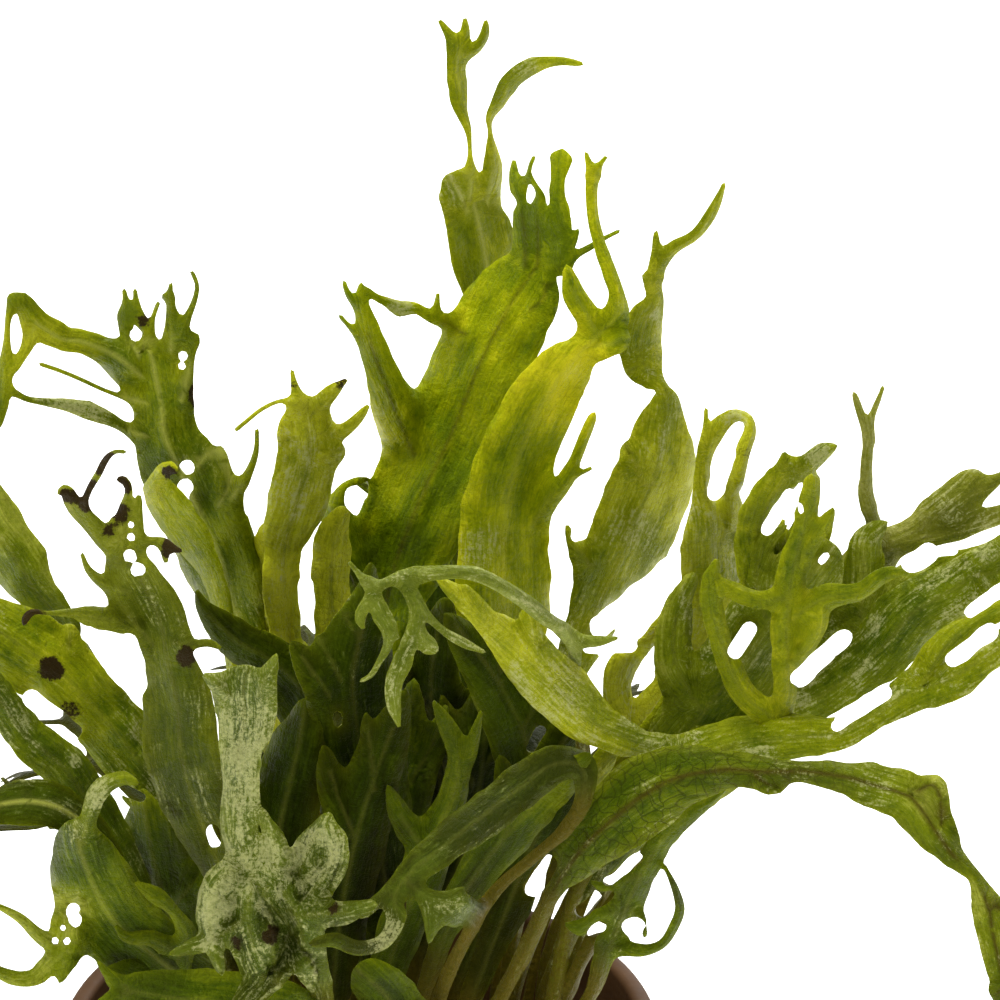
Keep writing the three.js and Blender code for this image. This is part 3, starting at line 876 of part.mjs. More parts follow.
// Depth of the blade at a spot on the sight board, from the nearest place on the strips drawn so far
function bladeDepth(across, down, drawn, tilt) {
  let nearest = { away: Infinity, depth: 0 };
  drawn.forEach((branch) => {
    for (let i = 1; i < branch.length; i += 1) {
      const [from, to] = [branch[i - 1], branch[i]];
      const run = [to[0] - from[0], to[1] - from[1]];
      const reached = (across - from[0]) * run[0] + (down - from[1]) * run[1];
      const share = THREE.MathUtils.clamp(reached / (run[0] ** 2 + run[1] ** 2), 0, 1);
      const offset = [across - from[0] - share * run[0], down - from[1] - share * run[1]];
      const away = Math.hypot(...offset);
      if (away < nearest.away) {
        const onStrip = THREE.MathUtils.lerp(from[2], to[2], share);
        nearest = { away, depth: onStrip + tilt[0] * offset[0] + tilt[1] * offset[1] };
      }
    }
  });
  return nearest.depth;
}

function makeDrawnFrond(frond) {
  const foot = footOf(frond);
  const stalk = {
    point: foot,
    side: new THREE.Vector3(stalkHalfWidth, 0, 0),
    ridge: new THREE.Vector3(0, 1, 0),
  };
  let solid = strip(faceOut([stalk, ...boardRings(frond.rib, frond.tilt)]));
  const drawn = [frond.rib];
  frond.lobes.forEach((lobe) => {
    const start = bladeDepth(lobe[0][0], lobe[0][1], drawn, frond.tilt) - lobe[0][2];
    const placed = lobe.map(([across, down, rise, halfWidth]) => [across, down, start + rise, halfWidth]);
    drawn.push(placed);
    solid = solid.add(strip(faceOut(boardRings(placed, frond.tilt))));
  });
  (frond.holes ?? []).forEach(([across, down, radius]) => {
    const depth = bladeDepth(across, down, drawn, frond.tilt);
    const centre = fromBoard(across, down, depth);
    const borer = new THREE.CylinderGeometry(radius, radius, 5, holeFacets);
    borer.applyQuaternion(new THREE.Quaternion().setFromUnitVectors(new THREE.Vector3(0, 1, 0), boardAhead));
    borer.translate(centre.x, centre.y, centre.z);
    solid = solid.subtract(toSolid(borer));
  });
  return toGeometry(solid);
}

// An arch that starts steeply at the foot and bends over towards its heading
function archPlacer(frond) {
  const foot = footOf(frond);
  const heading = THREE.MathUtils.degToRad(frond.heading);
  const ahead = new THREE.Vector3(Math.cos(heading), Math.sin(heading), 0);
  const outlineLength = 66;
  const step = 1;
  const steps = Math.ceil(outlineLength * frond.size / step) + 8;
  const spots = [foot.clone()];
  const slopes = [];
  for (let i = 0; i <= steps; i += 1) {
    const share = Math.min(i / steps, 1);
    const slope = THREE.MathUtils.degToRad(THREE.MathUtils.lerp(frond.rise[0], frond.rise[1], share));
    slopes.push(slope);
    const next = spots[i].clone().addScaledVector(ahead, Math.cos(slope) * step);
    next.z += Math.sin(slope) * step;
    spots.push(next);
  }
  const roll = THREE.MathUtils.degToRad(frond.roll);
  return (along, aside, lift) => {
    const index = THREE.MathUtils.clamp(along * frond.size / step, 0, steps);
    const low = Math.floor(index);
    const point = spots[low].clone().lerp(spots[low + 1], index - low);
    const slope = slopes[low];
    const up = ahead.clone().multiplyScalar(-Math.sin(slope));
    up.z = Math.cos(slope);
    const flat = new THREE.Vector3(-Math.sin(heading), Math.cos(heading), 0);
    const side = flat.multiplyScalar(Math.cos(roll)).addScaledVector(up, Math.sin(roll));
    point.addScaledVector(side, aside * frond.wide * frond.size);
    point.addScaledVector(up, lift);
    return { point, up };
  };
}

function archRings(points, place, scale) {
  const rings = points.map(([along, aside, lift, halfWidth], i) => {
    const before = points[Math.max(i - 1, 0)];
    const after = points[Math.min(i + 1, points.length - 1)];
    const forward = new THREE.Vector2(after[0] - before[0], after[1] - before[1]).normalize();
    const { point, up } = place(along, aside, lift);
    const edge = place(along - forward.y * halfWidth, aside + forward.x * halfWidth, lift).point;
    const side = edge.sub(point);
    const ridge = up.clone().multiplyScalar(-depthOf(halfWidth * scale));
    return { point, side, ridge };
  });
  return faceOut(rings);
}

function makeArchedFrond(frond) {
  const outline = outlines[frond.outline];
  const place = archPlacer(frond);
  const foot = [0, 0, 0, stalkHalfWidth / frond.size];
  let solid = strip(archRings([foot, ...outline.rib], place, frond.size));
  outline.lobes.forEach((lobe) => {
    solid = solid.add(strip(archRings(lobe, place, frond.size)));
  });
  return toGeometry(solid);
}

function addPart(group, name, geometry, colour, roughness) {
  const material = new THREE.MeshStandardMaterial({ color: colour, roughness, metalness: 0 });
  const mesh = new THREE.Mesh(geometry, material);
  mesh.name = name;
  group.add(mesh);
}

const plant = new THREE.Group();
plant.name = 'potted_fern';
addPart(plant, 'pot', makePot(), colours.pot, 0.5);
addPart(plant, 'wool_plug', makeWool(), colours.wool, 0.95);
Object.keys(rhizomeRows).forEach((rowName, order) => {
  addPart(plant, `rhizome_${rowName}`, makeRhizome(rhizomeRows[rowName], order), colours.rhizome, 0.7);
});
drawnFronds.forEach((frond) => {
  const colour = colours[frond.colour];
  addPart(plant, `frond_${frond.name}`, makeDrawnFrond(frond), colour, 0.4);
});
archedFronds.forEach((frond) => {
  addPart(plant, `frond_${frond.name}`, makeArchedFrond(frond), colours.deep, 0.45);
});

export default plant;
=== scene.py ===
import math

import bmesh
import bpy
import numpy as np
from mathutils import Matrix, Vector
from mathutils.geometry import delaunay_2d_cdt


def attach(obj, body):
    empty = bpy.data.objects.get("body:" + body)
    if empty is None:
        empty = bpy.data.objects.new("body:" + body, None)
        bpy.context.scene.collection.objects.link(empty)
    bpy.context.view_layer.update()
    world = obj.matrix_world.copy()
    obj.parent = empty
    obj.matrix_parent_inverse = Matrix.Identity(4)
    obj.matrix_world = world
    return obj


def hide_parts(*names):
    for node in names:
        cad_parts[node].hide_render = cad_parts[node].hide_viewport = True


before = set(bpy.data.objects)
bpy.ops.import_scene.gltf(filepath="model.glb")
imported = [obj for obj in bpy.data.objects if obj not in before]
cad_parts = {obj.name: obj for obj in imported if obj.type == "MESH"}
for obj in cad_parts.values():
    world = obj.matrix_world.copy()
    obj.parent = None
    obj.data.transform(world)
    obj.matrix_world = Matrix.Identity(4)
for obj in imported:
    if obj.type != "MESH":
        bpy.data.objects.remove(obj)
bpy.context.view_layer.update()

mm = 0.001

# Camera, floor and light
view = {
    "eye": (13.4, -413.4, 285.2),  # mm from the pot's centre at floor level
    "pitch": 23.6,                 # degrees below level
    "boardDistance": 495,          # mm from the eye to the sight board
    "boardSize": 100,              # mm across the picture on the sight board
    "sensor": 36, "near": 0.01, "far": 20,
}
studio = {
    "floorSize": 6.0,
    "floorColour": (246, 246, 244), "floorGlow": 0.55, "floorRoughness": 0.9, "floorGloss": 0.1,
    "world": 0.5,
    "lights": {  # place in metres, size, power
        "top": ((-0.12, 0.02, 0.85), 0.75, 9.0),
        "back": ((0.25, 0.75, 0.55), 0.6, 6.0),
        "fill": ((-0.55, -0.7, 0.45), 0.5, 1.6),
    },
    "target": (0.01, 0.0, 0.085),
}


def linearColour(red, green, blue):
    # an on-screen colour of 0 to 255, as the shaders want it
    steps = [value / 255 for value in (red, green, blue)]
    return tuple(v / 12.92 if v <= 0.04045 else ((v + 0.055) / 1.055) ** 2.4 for v in steps) + (1.0,)


def newMaterial(name):
    material = bpy.data.materials.new(name)
    material.use_nodes = True
    tree = material.node_tree
    shader = next(node for node in tree.nodes if node.type == "BSDF_PRINCIPLED")
    return material, tree, shader


def setInputs(tree, node, values):
    # an input goes by name or place, and takes a value or another node's output
    for label, value in values.items():
        if isinstance(value, bpy.types.NodeSocket):
            tree.links.new(value, node.inputs[label])
        else:
            node.inputs[label].default_value = value


def newPiece(name, mesh, material=None):
    piece = bpy.data.objects.new(name, mesh)
    bpy.context.scene.collection.objects.link(piece)
    if material:
        mesh.materials.append(material)
    return piece


def shadeSmooth(mesh):
    mesh.polygons.foreach_set("use_smooth", [True] * len(mesh.polygons))
    mesh.update()


def standFor(piece, node):
    # what a piece stands for in the construction model, and the body it rides on
    if node:
        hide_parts(node)
    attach(piece, "root")


def addCamera():
    data = bpy.data.cameras.new("sight_camera")
    data.sensor_width = view["sensor"]
    data.lens = data.sensor_width * view["boardDistance"] / view["boardSize"]
    data.clip_start = view["near"]
    data.clip_end = view["far"]
    camera = newPiece("sight_camera", data)
    camera.location = [value * mm for value in view["eye"]]
    camera.rotation_euler = (math.radians(90 - view["pitch"]), 0, 0)
    bpy.context.scene.camera = camera


def addFloor():
    half = studio["floorSize"] / 2
    corners = [(-half, -half, 0), (half, -half, 0), (half, half, 0), (-half, half, 0)]
    mesh = bpy.data.meshes.new("floor")
    mesh.from_pydata(corners, [], [(0, 1, 2, 3)])
    material, tree, shader = newMaterial("pale_floor")
    setInputs(tree, shader, {
        "Base Color": linearColour(*studio["floorColour"]), "Roughness": studio["floorRoughness"],
        "Specular IOR Level": studio["floorGloss"], "Emission Color": (1, 1, 1, 1),
        "Emission Strength": studio["floorGlow"],
    })
    newPiece("floor", mesh, material)


def addSoftLight(name, place, size, power):
    data = bpy.data.lights.new(name, "AREA")
    data.shape = "DISK"
    data.size = size
    data.energy = power
    lamp = newPiece(name, data)
    lamp.location = place
    lamp.rotation_euler = (Vector(studio["target"]) - Vector(place)).to_track_quat("-Z", "Y").to_euler()


def addStudio():
    scene = bpy.context.scene
    scene.view_settings.view_transform = "Standard"
    scene.view_settings.look = "None"
    scene.view_settings.exposure = 0
    world = bpy.data.worlds.new("pale_room")
    world.use_nodes = True
    tree = world.node_tree
    background = next(node for node in tree.nodes if node.type == "BACKGROUND")
    setInputs(tree, background, {"Color": (1, 1, 1, 1), "Strength": studio["world"]})
    scene.world = world
    addFloor()
    for name, (place, size, power) in studio["lights"].items():
        addSoftLight(f"{name}_light", place, size, power)


# The fronds as they're drawn on the sight board. A point is its place across and down in board mm, its
# depth in mm and half the blade's width; points end in a comma and branches in a semicolon. The midrib
# comes first, and a lobe's depths count from the blade that it starts on.
# name: row of the rhizome, place along it, how the blade tilts, kind, branches
drawnFronds = {
    "tall": ("rear", 9.5, (0.8, 0), "fresh", """
    48.8 90 13 .7, 50.6 70 14 .9, 50.5 50 15 1.6, 49.8 38 16 2.2, 49.3 30.5 16.6 2.3, 48.7 27.5 16.8 2.8,
      48.2 24.5 17 3.3, 47.3 20.4 17.3 2.9;
    46.9 20 0 2.2, 47 17.4 .3 .8, 47 15.3 .6 .17, 46.8 13 1 .35, 46 10.8 1.5 .7, 45.7 8.5 2 .95,
      45.6 6.5 2.5 1, 45.9 4.8 2.8 1, 46.5 3.2 3 .5, 46.5 1.9 3.2 .25;
    45.8 5 2.8 .8, 44.9 3.4 3 .5, 44 2.1 3.2 .18;
    46.2 5.4 2.8 .8, 47.7 4.7 2.8 .55, 48.5 3.3 3 .45, 48.6 2.1 3.2 .25;
    48.6 20 0 1.6, 49.3 16.5 -.3 .95, 49.1 14.5 -.6 .5, 49 13.1 -.8 .17, 48.9 12 -1 .35,
      49.7 10.4 -1.5 .65, 50.8 8.4 -2.5 .85, 52.2 7.1 -3.5 .85, 54 6.4 -4.5 .7, 56 6.1 -5.5 .45,
      58.2 6.4 -6.5 .3;
    46.6 21 0 2.2, 45.6 18.8 .3 1.8, 44.9 17.8 .4 1.2"""),
    "big": ("upper", 1.8, (-0.55, -0.2), "bright", """
    38.6 96 5 .7, 38.6 80 6 .9, 38.3 68 6.5 1.6, 38.8 60 7 3.6, 40.3 54.5 7.5 5, 42.8 48.5 8 5.4,
      45.4 43 8.5 5, 47.6 37.5 9 4.8, 50 32.5 9.5 4.6, 52.2 28.8 10 3.8, 53.8 26.6 10.3 2.4;
    52.6 26.6 0 1.4, 52.6 23.5 0 1.3, 52.3 21.6 .2 1.1, 52.2 20.2 .3 .45, 51.8 18.9 .6 .8, 51.4 17.4 1 .5,
      51.4 16.1 1.4 .2;
    52 18.8 .5 .6, 52.6 17.9 .7 .25;
    53 31 0 2.2, 54.2 30.2 0 1.7, 54.8 28.4 0 1.3;
    53.9 26 0 1.5, 53.9 23 -.3 1.1, 53.8 21 -.6 .9, 54 19.4 -.9 .4, 53.4 18.3 -1.2 .18, 52.9 17.2 -1.5 .2,
      53.4 15.7 -2 .14;
    56 26.6 0 1, 56.3 23.6 .3 .8, 55.9 21.2 .6 .9, 55.7 18.6 1 .7, 56 16.6 1.5 .8, 56.2 15.2 1.8 1.1;
    55.5 21.4 .5 .8, 54.4 21.9 0 .7;
    56.4 26.4 0 .7, 57.6 25.5 .4 .4, 59.2 24.6 1 .33, 60.3 23.9 1.5 .25, 61.9 23.1 2 .12;
    56.5 25 .3 .5, 57.3 24 .6 .45, 57.8 23 .9 .14;
    46.6 33.4 0 1.2, 44.4 32.1 -.5 .8, 43 31.6 -1 .6, 41.5 30.8 -1.5 .55, 40 30.9 -2 .8, 38.7 30.2 -2.6 .5,
      37.4 29.6 -3.2 .33, 36.9 29 -3.6 .25;
    43.6 31.6 -.8 .5, 43.7 30.3 -1 .3, 43.8 29.4 -1.2 .14;
    41.5 45.5 0 3, 39.8 41.5 -.6 2.4, 38.6 38.3 -1.4 1.8, 37.6 35.6 -2 1.4, 36.8 32.8 -2.6 1.1,
      36.2 30.3 -3.2 .7, 36.1 28.4 -3.8 .3;
    35.9 30.6 -3 .5, 34.8 29.4 -3.2 .3, 34.4 28.2 -3.4 .18;
    36 33.6 -2.4 .5, 34.7 32.4 -2.4 .2, 34 31.6 -2.4 .12;
    37.6 62.5 0 3, 35.2 57.6 .2 3, 34 52.8 .3 2, 33.6 50.6 .4 1, 34.4 48.6 .4 .35, 36.6 47.9 .2 .5"""),
    "fan": ("upper", 10, (0.5, -0.2), "bright", """
    47.6 97 3 .7, 49.2 84 2.6 .9, 49.8 70 2.6 2, 50.3 60.5 2.8 4.8, 50.3 54.5 3 4.6, 50.6 50 3.2 4.2,
      52 45 3.5 3.7, 54 40.5 4 3.4, 56 37.5 4.4 2.8, 58.2 35 4.8 1.8, 60 33.2 5.2 2, 61.4 31.8 5.5 1.6,
      61.7 29.8 5.8 .85, 61 27.3 6.3 .72, 60 24.5 7 .6, 59.3 21.5 7.8 .57, 59.15 19 8.4 .6,
      59.3 17.2 8.8 .65;
    59.2 17.3 0 .5, 58.8 16 .2 .3, 58.6 15.3 .4 .14;
    59.5 17.3 0 .5, 60.1 16.3 .2 .25, 60.6 15.7 .4 .12;
    59.4 33.2 0 1.4, 58.6 31.4 .2 1.4, 57.5 29.6 .3 1.2, 57 28 .6 .8, 56.7 26.6 .8 .4;
    59.6 34.6 0 1.6, 61.2 34.4 -.3 1.3, 62.6 33.6 -.6 1.1;
    53 52.6 0 1.4, 55.1 49.9 -.3 .8, 56.5 48.1 -.6 .85, 57.5 46 -1 .55, 58.3 44 -1.4 .55, 59 42.3 -1.7 .5,
      59.4 41.3 -1.9 .4;
    57.2 47.4 -.7 .4, 58.3 47.2 -.9 .2, 59.1 46.8 -1.1 .12"""),
    "broad": ("upper", 13.5, (0.6, -0.1), "fresh", """
    50.8 97 5 .7, 53.2 84 6 .9, 56 70 7 1.2, 59.2 62 7.4 2.6, 61.9 56 7.6 3.8, 64.2 50.5 7.8 4.2,
      65.8 46 8 3.6, 66.2 43 8.2 2.6, 66.6 40.6 8.4 1.5, 66.3 38.9 8.6 .6, 64.6 37 8.8 1.6, 64 34.8 9 2,
      64.3 32.4 9.2 1.8, 65.4 30 9.6 .9, 65.4 27.8 10 .65, 65.6 25.4 10.4 .45, 65.6 23.2 10.8 .3;
    65.4 27.6 0 .6, 66.4 25.6 -.3 .8, 67.7 24.5 -.6 .65, 69.1 23.8 -.9 .55, 70.2 22.7 -1.3 .55,
      71.3 21 -1.8 .55, 72 19.5 -2.2 .35, 72.4 18.4 -2.6 .16;
    64.9 28.6 0 .4, 64.4 27.6 .1 .14;
    64.6 36.4 0 1.6, 62.9 37 -.3 .9;
    64.4 48.4 0 2.5, 62.6 44.6 .3 .6;
    58.8 56.4 0 1.4, 57.2 54 .3 .6, 56.7 52.6 .5 .25"""),
    "fork": ("upper", -3, (0.8, -0.2), "fresh", """
    33.2 96 3 .7, 32.2 84 2 .8, 30.2 72 1 1, 28.9 64 .4 1.8, 28.2 58.5 0 1.9, 28.4 54.5 -.2 2,
      29.5 50.8 -.5 2.9, 30.4 47.6 -.8 2.9, 30.8 44.8 -1 3, 30.5 42.2 -1.3 2.6, 30.6 40.4 -1.6 1.6;
    30.3 41 0 1.1, 29.5 38.7 .3 .4, 29.2 37.1 .6 .12;
    31.3 41.2 0 1.2, 33 39.3 -.2 .8, 34.6 38 -.5 .15;
    30 40.8 0 .9, 28.8 40.1 .4 .3, 26.2 40.9 1 .14, 24.8 42 1.6 .14, 23.6 43 2.2 .1;
    31.8 43.4 0 1.5, 34 43.2 -.6 .8, 35.4 42.2 -1 .6, 36.8 40.6 -1.5 .3;
    32 46 0 1.6, 34.3 44.9 -.5 .6;
    29.6 44 0 1.2, 28.2 43.6 .2 .4"""),
    "stag": ("upper", -8, (-0.5, -0.3), "fresh", """
    28.6 97 3 .7, 28.6 87 3 .8, 27.6 76 2.5 1, 25.6 66 2 1.6, 23.3 60 2 3, 21.8 55 2 4, 19.9 51 2 4.2,
      18.3 47.5 2.2 4.1, 16.6 43.8 2.5 3.2, 16.1 40 2.8 3, 15.5 37 3 3.5, 15 35 3.2 2.8;
    13.8 35.4 0 1.1, 12.6 33 .3 .7, 12.6 31.4 .6 .85, 12.6 30.3 .9 .4, 12.4 29 1.2 .12;
    14.4 34.8 0 .9, 14.3 32.4 .2 .6, 13.7 31 .4 .5, 13.6 29.8 .7 .25, 13.5 29 .9 .12;
    14.8 34 .2 .7, 15.3 31.8 .5 .2, 15.8 30.3 .8 .1;
    17.2 35 0 1.1, 17.3 32.4 -.4 .9, 17.1 30.6 -.8 .45, 17 29.3 -1.2 .3, 17.1 28.4 -1.6 .12;
    17.1 29.8 -1.1 .25, 16.4 29.6 -1.2 .12;
    17.8 33.8 -.2 1, 18.8 31.6 -.6 .4, 19.4 30.2 -1 .28, 19.7 28.4 -1.5 .2, 19.2 27.2 -2 .12;
    18.2 40 0 1, 18.9 37 .2 .4, 19.3 34.8 .3 .4, 19.7 33.6 .3 .3;
    19.3 34.2 .3 .5, 18.2 33.4 -.1 .9;
    14 37.4 0 2.6, 12 35.8 -.3 1.8, 10 34.8 -.8 1.3, 8 34.1 -1.4 1.2, 6.3 33.9 -2 1.2, 5 33.2 -2.6 1.4,
      3.6 32.2 -3.2 1.4, 2.8 30.8 -3.8 1, 1.6 29.9 -4.4 .7;
    1.5 30 -4.4 .7, .9 31.5 -4.7 .35, .7 34 -5 .35, .6 36.5 -5.3 .8, .3 39 -5.6 .9, -.2 41.5 -6 .7,
      -.8 44 -6.5 .2;
    3.5 32.4 -3.2 1, 2.9 34.2 -4 .7, 2.2 35.6 -4.7 .5, 1.1 37 -5.2 .7;
    14.6 43.6 0 1.5, 12.6 42.8 -.4 .6, 10.6 41.7 -1 .7, 8.7 41 -1.8 .9, 6.6 40.5 -2.6 .65,
      4.5 40.2 -3.4 .4, 2.4 39.8 -4.4 .3, 1.1 39 -5.2 .4;
    14.5 40.2 0 .9, 12.6 39.8 -.3 .14, 10.4 39 -.8 .18, 8 37.9 -1.4 .12, 5.8 37 -2 .14, 4 36.4 -2.6 .14;
    22 50.4 0 2, 22.9 48.6 -.3 1, 22.9 47 -.5 .25, 22.5 45.4 -.8 .12;
    23.4 49.6 -.3 1, 24.8 47.4 -.6 .45, 25.6 45.2 -.9 .28, 25.7 43 -1.2 .1;
    19.8 46.6 .2 1, 20.9 45.3 .3 .45, 22.1 44.8 .5 .14"""),
    "hook": ("middle", -8, (-0.9, -0.2), "bright", """
    27.8 101 -4 .7, 26.8 88 -4.5 .8, 25 75 -5 .9, 23 64 -5 .9, 21.9 59.6 -5.2 1, 20.9 56.6 -5.4 1.25,
      19.3 53.9 -5.6 1.7, 17.4 51.4 -6 1.95, 16.1 49.3 -6.3 1.8, 15.7 48.2 -6.6 1.3;
    15.6 48.8 0 1.2, 16.1 47.3 -.8 .7, 17 46.8 -1.6 .6, 17.7 47.2 -2.2 .3"""),
    "far_left": ("upper", -12, (-0.5, -0.6), "green", """
    22.8 97 2 .7, 20.4 90 -1 .8, 16 80.5 -5 .9, 11 71 -8 1, 7.6 64.5 -9 1.2, 5.6 61.4 -9.5 1.6,
      3.4 58.8 -10 2.2, 1.3 55.4 -10.5 3, -1.1 52.4 -11 3.1, -2.8 49.3 -11.5 2.6, -4.6 47 -12 1.6;
    -3 49.6 0 1.8, -5.2 49.8 -.6 .9, -7.2 49.2 -1.2 .3;
    -4.4 47.2 0 1.2, -5.4 44.4 .6 .6, -5.2 42.4 1.2 .2;
    -4.8 46.8 0 .9, -6.6 46 -.2 .4, -7.6 44.6 -.4 .15;
    -1.2 51.4 0 1.8, -3.6 53.8 -.8 .9, -5.6 55 -1.5 .25"""),
    "bronze": ("front", -5.5, (-0.6, -0.4), "bronze", """
    29 104.6 -15 .7, 25.6 96 -19 .9, 22.2 87 -22 1.8, 19.6 80.5 -24 3.1, 18.2 75 -25.5 3.7,
      17.8 70 -26.3 3.5, 16.9 66 -26.8 2.5, 16.1 62 -27.2 2.4, 14.7 58.9 -27.6 2.2, 13.4 56.8 -28 1.7,
      12.2 55.4 -28.2 1.2;
    11.8 55.4 0 .8, 10.5 53.1 -.4 .5, 9.5 52.2 -.8 .6, 8.7 51.2 -1.2 .35, 8.55 50 -1.6 .3, 9.1 48.6 -2 .33,
      9.9 47.3 -2.6 .35, 10.6 45.9 -3.2 .33, 11.5 45.15 -4 .2, 12.5 45.2 -4.6 .12;
    11 55 0 .6, 9.9 54 -.2 .5, 8.9 52.6 -.2 .6, 7.9 51.2 -.4 .75, 7.1 49.9 -.8 .75, 6.5 49 -1.4 .6,
      5.9 49.3 -2.2 .3;
    12.3 55.2 0 .9, 12.3 53 .3 .75, 12.4 51.4 .5 .8, 12.7 50 .7 .45, 12.9 49 .9 .35, 12.4 48 1.2 .4,
      11.8 47.9 1.6 .35;
    12.1 52.4 .4 .5, 11.3 52 .2 .25, 10.9 53.3 0 .3;
    13.6 56.4 0 1.1, 13.7 53.6 .2 .7, 13.7 51.4 .5 .55, 13.9 49.6 .8 .35;
    13.9 54.2 .2 .6, 15 54.1 0 .4, 16.1 54.2 -.3 .5, 17.1 54.8 -.8 .5, 18.1 55.1 -1.4 .14;
    16.4 54.6 -.4 .4, 16.5 55.6 -.6 .3, 16.6 56.2 -.8 .25;
    12.6 59 0 1.2, 9.8 57.9 -.3 .55, 8.8 56.9 -.6 .35, 8.2 55.4 -1 .14;
    13.6 62.6 .3 1.6, 11.9 59.8 .3 1.2, 11.1 57.6 .2 .7, 11.2 55.8 0 .6;
    15.4 64.4 0 1.4, 13.4 62.6 -.5 .8, 11.4 62.1 -.9 1.05, 9.3 61.7 -1.3 1.1, 7.4 61.3 -1.8 .5,
      6.1 61.3 -2.2 .35, 4.6 61.3 -2.6 .2, 3.2 61.2 -3 .3, 2.6 61.8 -3.6 .4, 2.4 62.4 -4.2 .2;
    17.6 64.2 0 1.6, 19.4 64.4 .4 .5, 21 64.3 .8 .4, 22 64.8 1 .25"""),
    "spotted": ("middle", -11.5, (-0.3, -0.7), "olive", """
    23.8 102.6 -8 .7, 22.8 96 -11 1, 21 88.6 -13.5 2, 18 82 -15 3, 15 77.5 -15.6 3.7, 11.8 73.4 -16.2 3.5,
      8.7 70 -17 3.2, 6 67.2 -17.5 3.8, 3 65.2 -18 4.1, 0 63.2 -18.5 3.3, -3 61.4 -19 2.4,
      -5.4 60 -19.5 1.4;
    6.8 65 .2 1.8, 7.1 62.6 .4 .6;
    -2.5 62.5 0 1.6, -4 64.6 -.4 .9, -5.8 66.2 -.8 .25;
    -5 60.4 0 1.2, -6.8 60.4 -.4 .6, -8.4 59.8 -.8 .2;
    -4.6 60.2 0 1, -6 57.8 .2 .5, -6.6 56.2 .4 .15"""),
    "low_left": ("front", -13, (0.2, -0.7), "green", """
    20.6 106 -15 .7, 16.8 98.4 -18 .8, 13.2 88.4 -20 1.8, 9.4 81.4 -21 2.4, 6.2 76.6 -21.5 2.4,
      2.6 73.6 -22 2, .4 70.6 -22.5 1.9, -1.8 67.8 -23 1.3;
    -1.4 68.2 0 1.1, -3.2 66.6 -.3 .5, -4.6 66.2 -.5 .15;
    -1.6 68.2 0 1, -2.2 65.8 .2 .45, -1.8 64 .4 .15"""),
    "dark_left": ("front", -10.5, (0.2, -0.8), "deep", """
    22.6 107.4 -17 .7, 18.8 101 -21.5 .9, 14.2 92.8 -24.6 1.1, 10.5 85.2 -26 1.6, 6.2 81 -27 2.2,
      2.4 80.2 -27.6 2.3, -.8 80.8 -28 1.8, -3.4 81.8 -28.4 1.1;
    -2.8 81.6 0 1.2, -5 81.4 -.3 .5, -6.6 80.6 -.6 .15;
    -2.8 81.8 0 1.1, -4.4 83.8 -.6 .5, -5 85.6 -1.2 .15"""),
    "strap": ("front", -3, (-0.6, -0.2), "pale", """
    33 105.2 -21 .8, 32 98.4 -27.5 1.2, 29.2 92.8 -32 2.6, 25.8 88.6 -34.5 2.6, 24.2 84 -35.6 1.9,
      24.1 79 -36.4 1.9, 24.1 75 -37 2.2, 24.6 71 -37.6 3, 24.5 69 -37.9 3.3, 24.9 67.4 -38.1 2.6;
    23.4 69.6 .2 1.6, 21.6 68.2 .5 .9, 20.4 67.5 .8 .3;
    26 69.6 0 1.5, 27 67 -.3 .8, 27.6 65.5 -.8 .2;
    28.8 91 0 1.8, 31.6 88.8 -1.5 1.8, 33.1 86.2 -2.8 1.6, 33.2 83.8 -4 1.3, 32.4 82.2 -5 .7;
    24.4 86.4 0 1.4, 21.8 88.2 -1 1.5, 20.9 91.4 -2 1.2, 21.4 94.6 -3 .9, 22.2 97.4 -3.8 .4;
    26.6 88.4 0 2, 26.8 92 -1.6 1.7, 27.2 95.6 -3 1.2, 28 98.6 -4 .5;
    27.4 87 0 1.4, 27.6 84.6 -.5 1.3, 26.8 82.6 -.8 .7, 26.3 81 -1 .25;
    29.8 87.6 0 1.4, 30.8 85.2 -1.2 1.6, 32 83 -2.4 1.1, 33 81.4 -3 .4;
    25.6 87 0 2.4, 24.8 91 -.5 2.7, 25.4 94.8 -1 2.4, 26.4 98 -1.8 1.4;
    28.4 89 0 2, 30.2 92.6 -.6 2.3, 30.8 96 -1.2 1.8, 32.4 98.6 -2 .6;
    29.4 91.6 0 1.6, 32.6 91.4 -1 1.4, 35.6 91 -2 1, 37.6 90.4 -2.6 .5;
    26 90.6 0 2, 22.5 93.2 -.8 1.6, 19.6 94.6 -1.6 .8, 17 95.4 -2.2 .3;
    29 93.4 0 2, 27 97 -1.5 1.8, 24.6 100 -3 1.2, 22.6 102.5 -4.2 .4"""),
    "shade": ("middle", -4, (-0.5, -0.4), "deep", """
    32.6 101 -6 .7, 34 90 -7 1, 34 80 -8 2.2, 32.4 73.5 -8.6 3.2, 30 68.6 -9 3.3, 27 65.8 -9.4 2.2,
      24 64.2 -9.8 2, 21.9 62.4 -10.2 1.5, 20.3 60.6 -10.6 .8, 19.7 59.1 -11 .2"""),
    "heart": ("middle", 1, (0.45, -0.4), "deep", """
    38.2 101 -8 .8, 38.6 93 -9.6 2, 38.2 87 -10.8 3.2, 37.2 81 -12.2 3.9, 35.8 74 -13.6 4.6,
      35.2 67.5 -14.8 4.2, 36.2 62.5 -15.6 2.6, 36.9 58.8 -16.2 1.2, 37.1 56.4 -16.6 .4;
    34 68 0 2.4, 32.6 65.2 .4 1.4, 31.8 63.7 .7 .4;
    32.8 69.4 0 2.2, 30.6 66.4 .3 1.4, 29.2 64.2 .6 .4;
    36 64 0 2, 34.6 61.6 .3 .6"""),
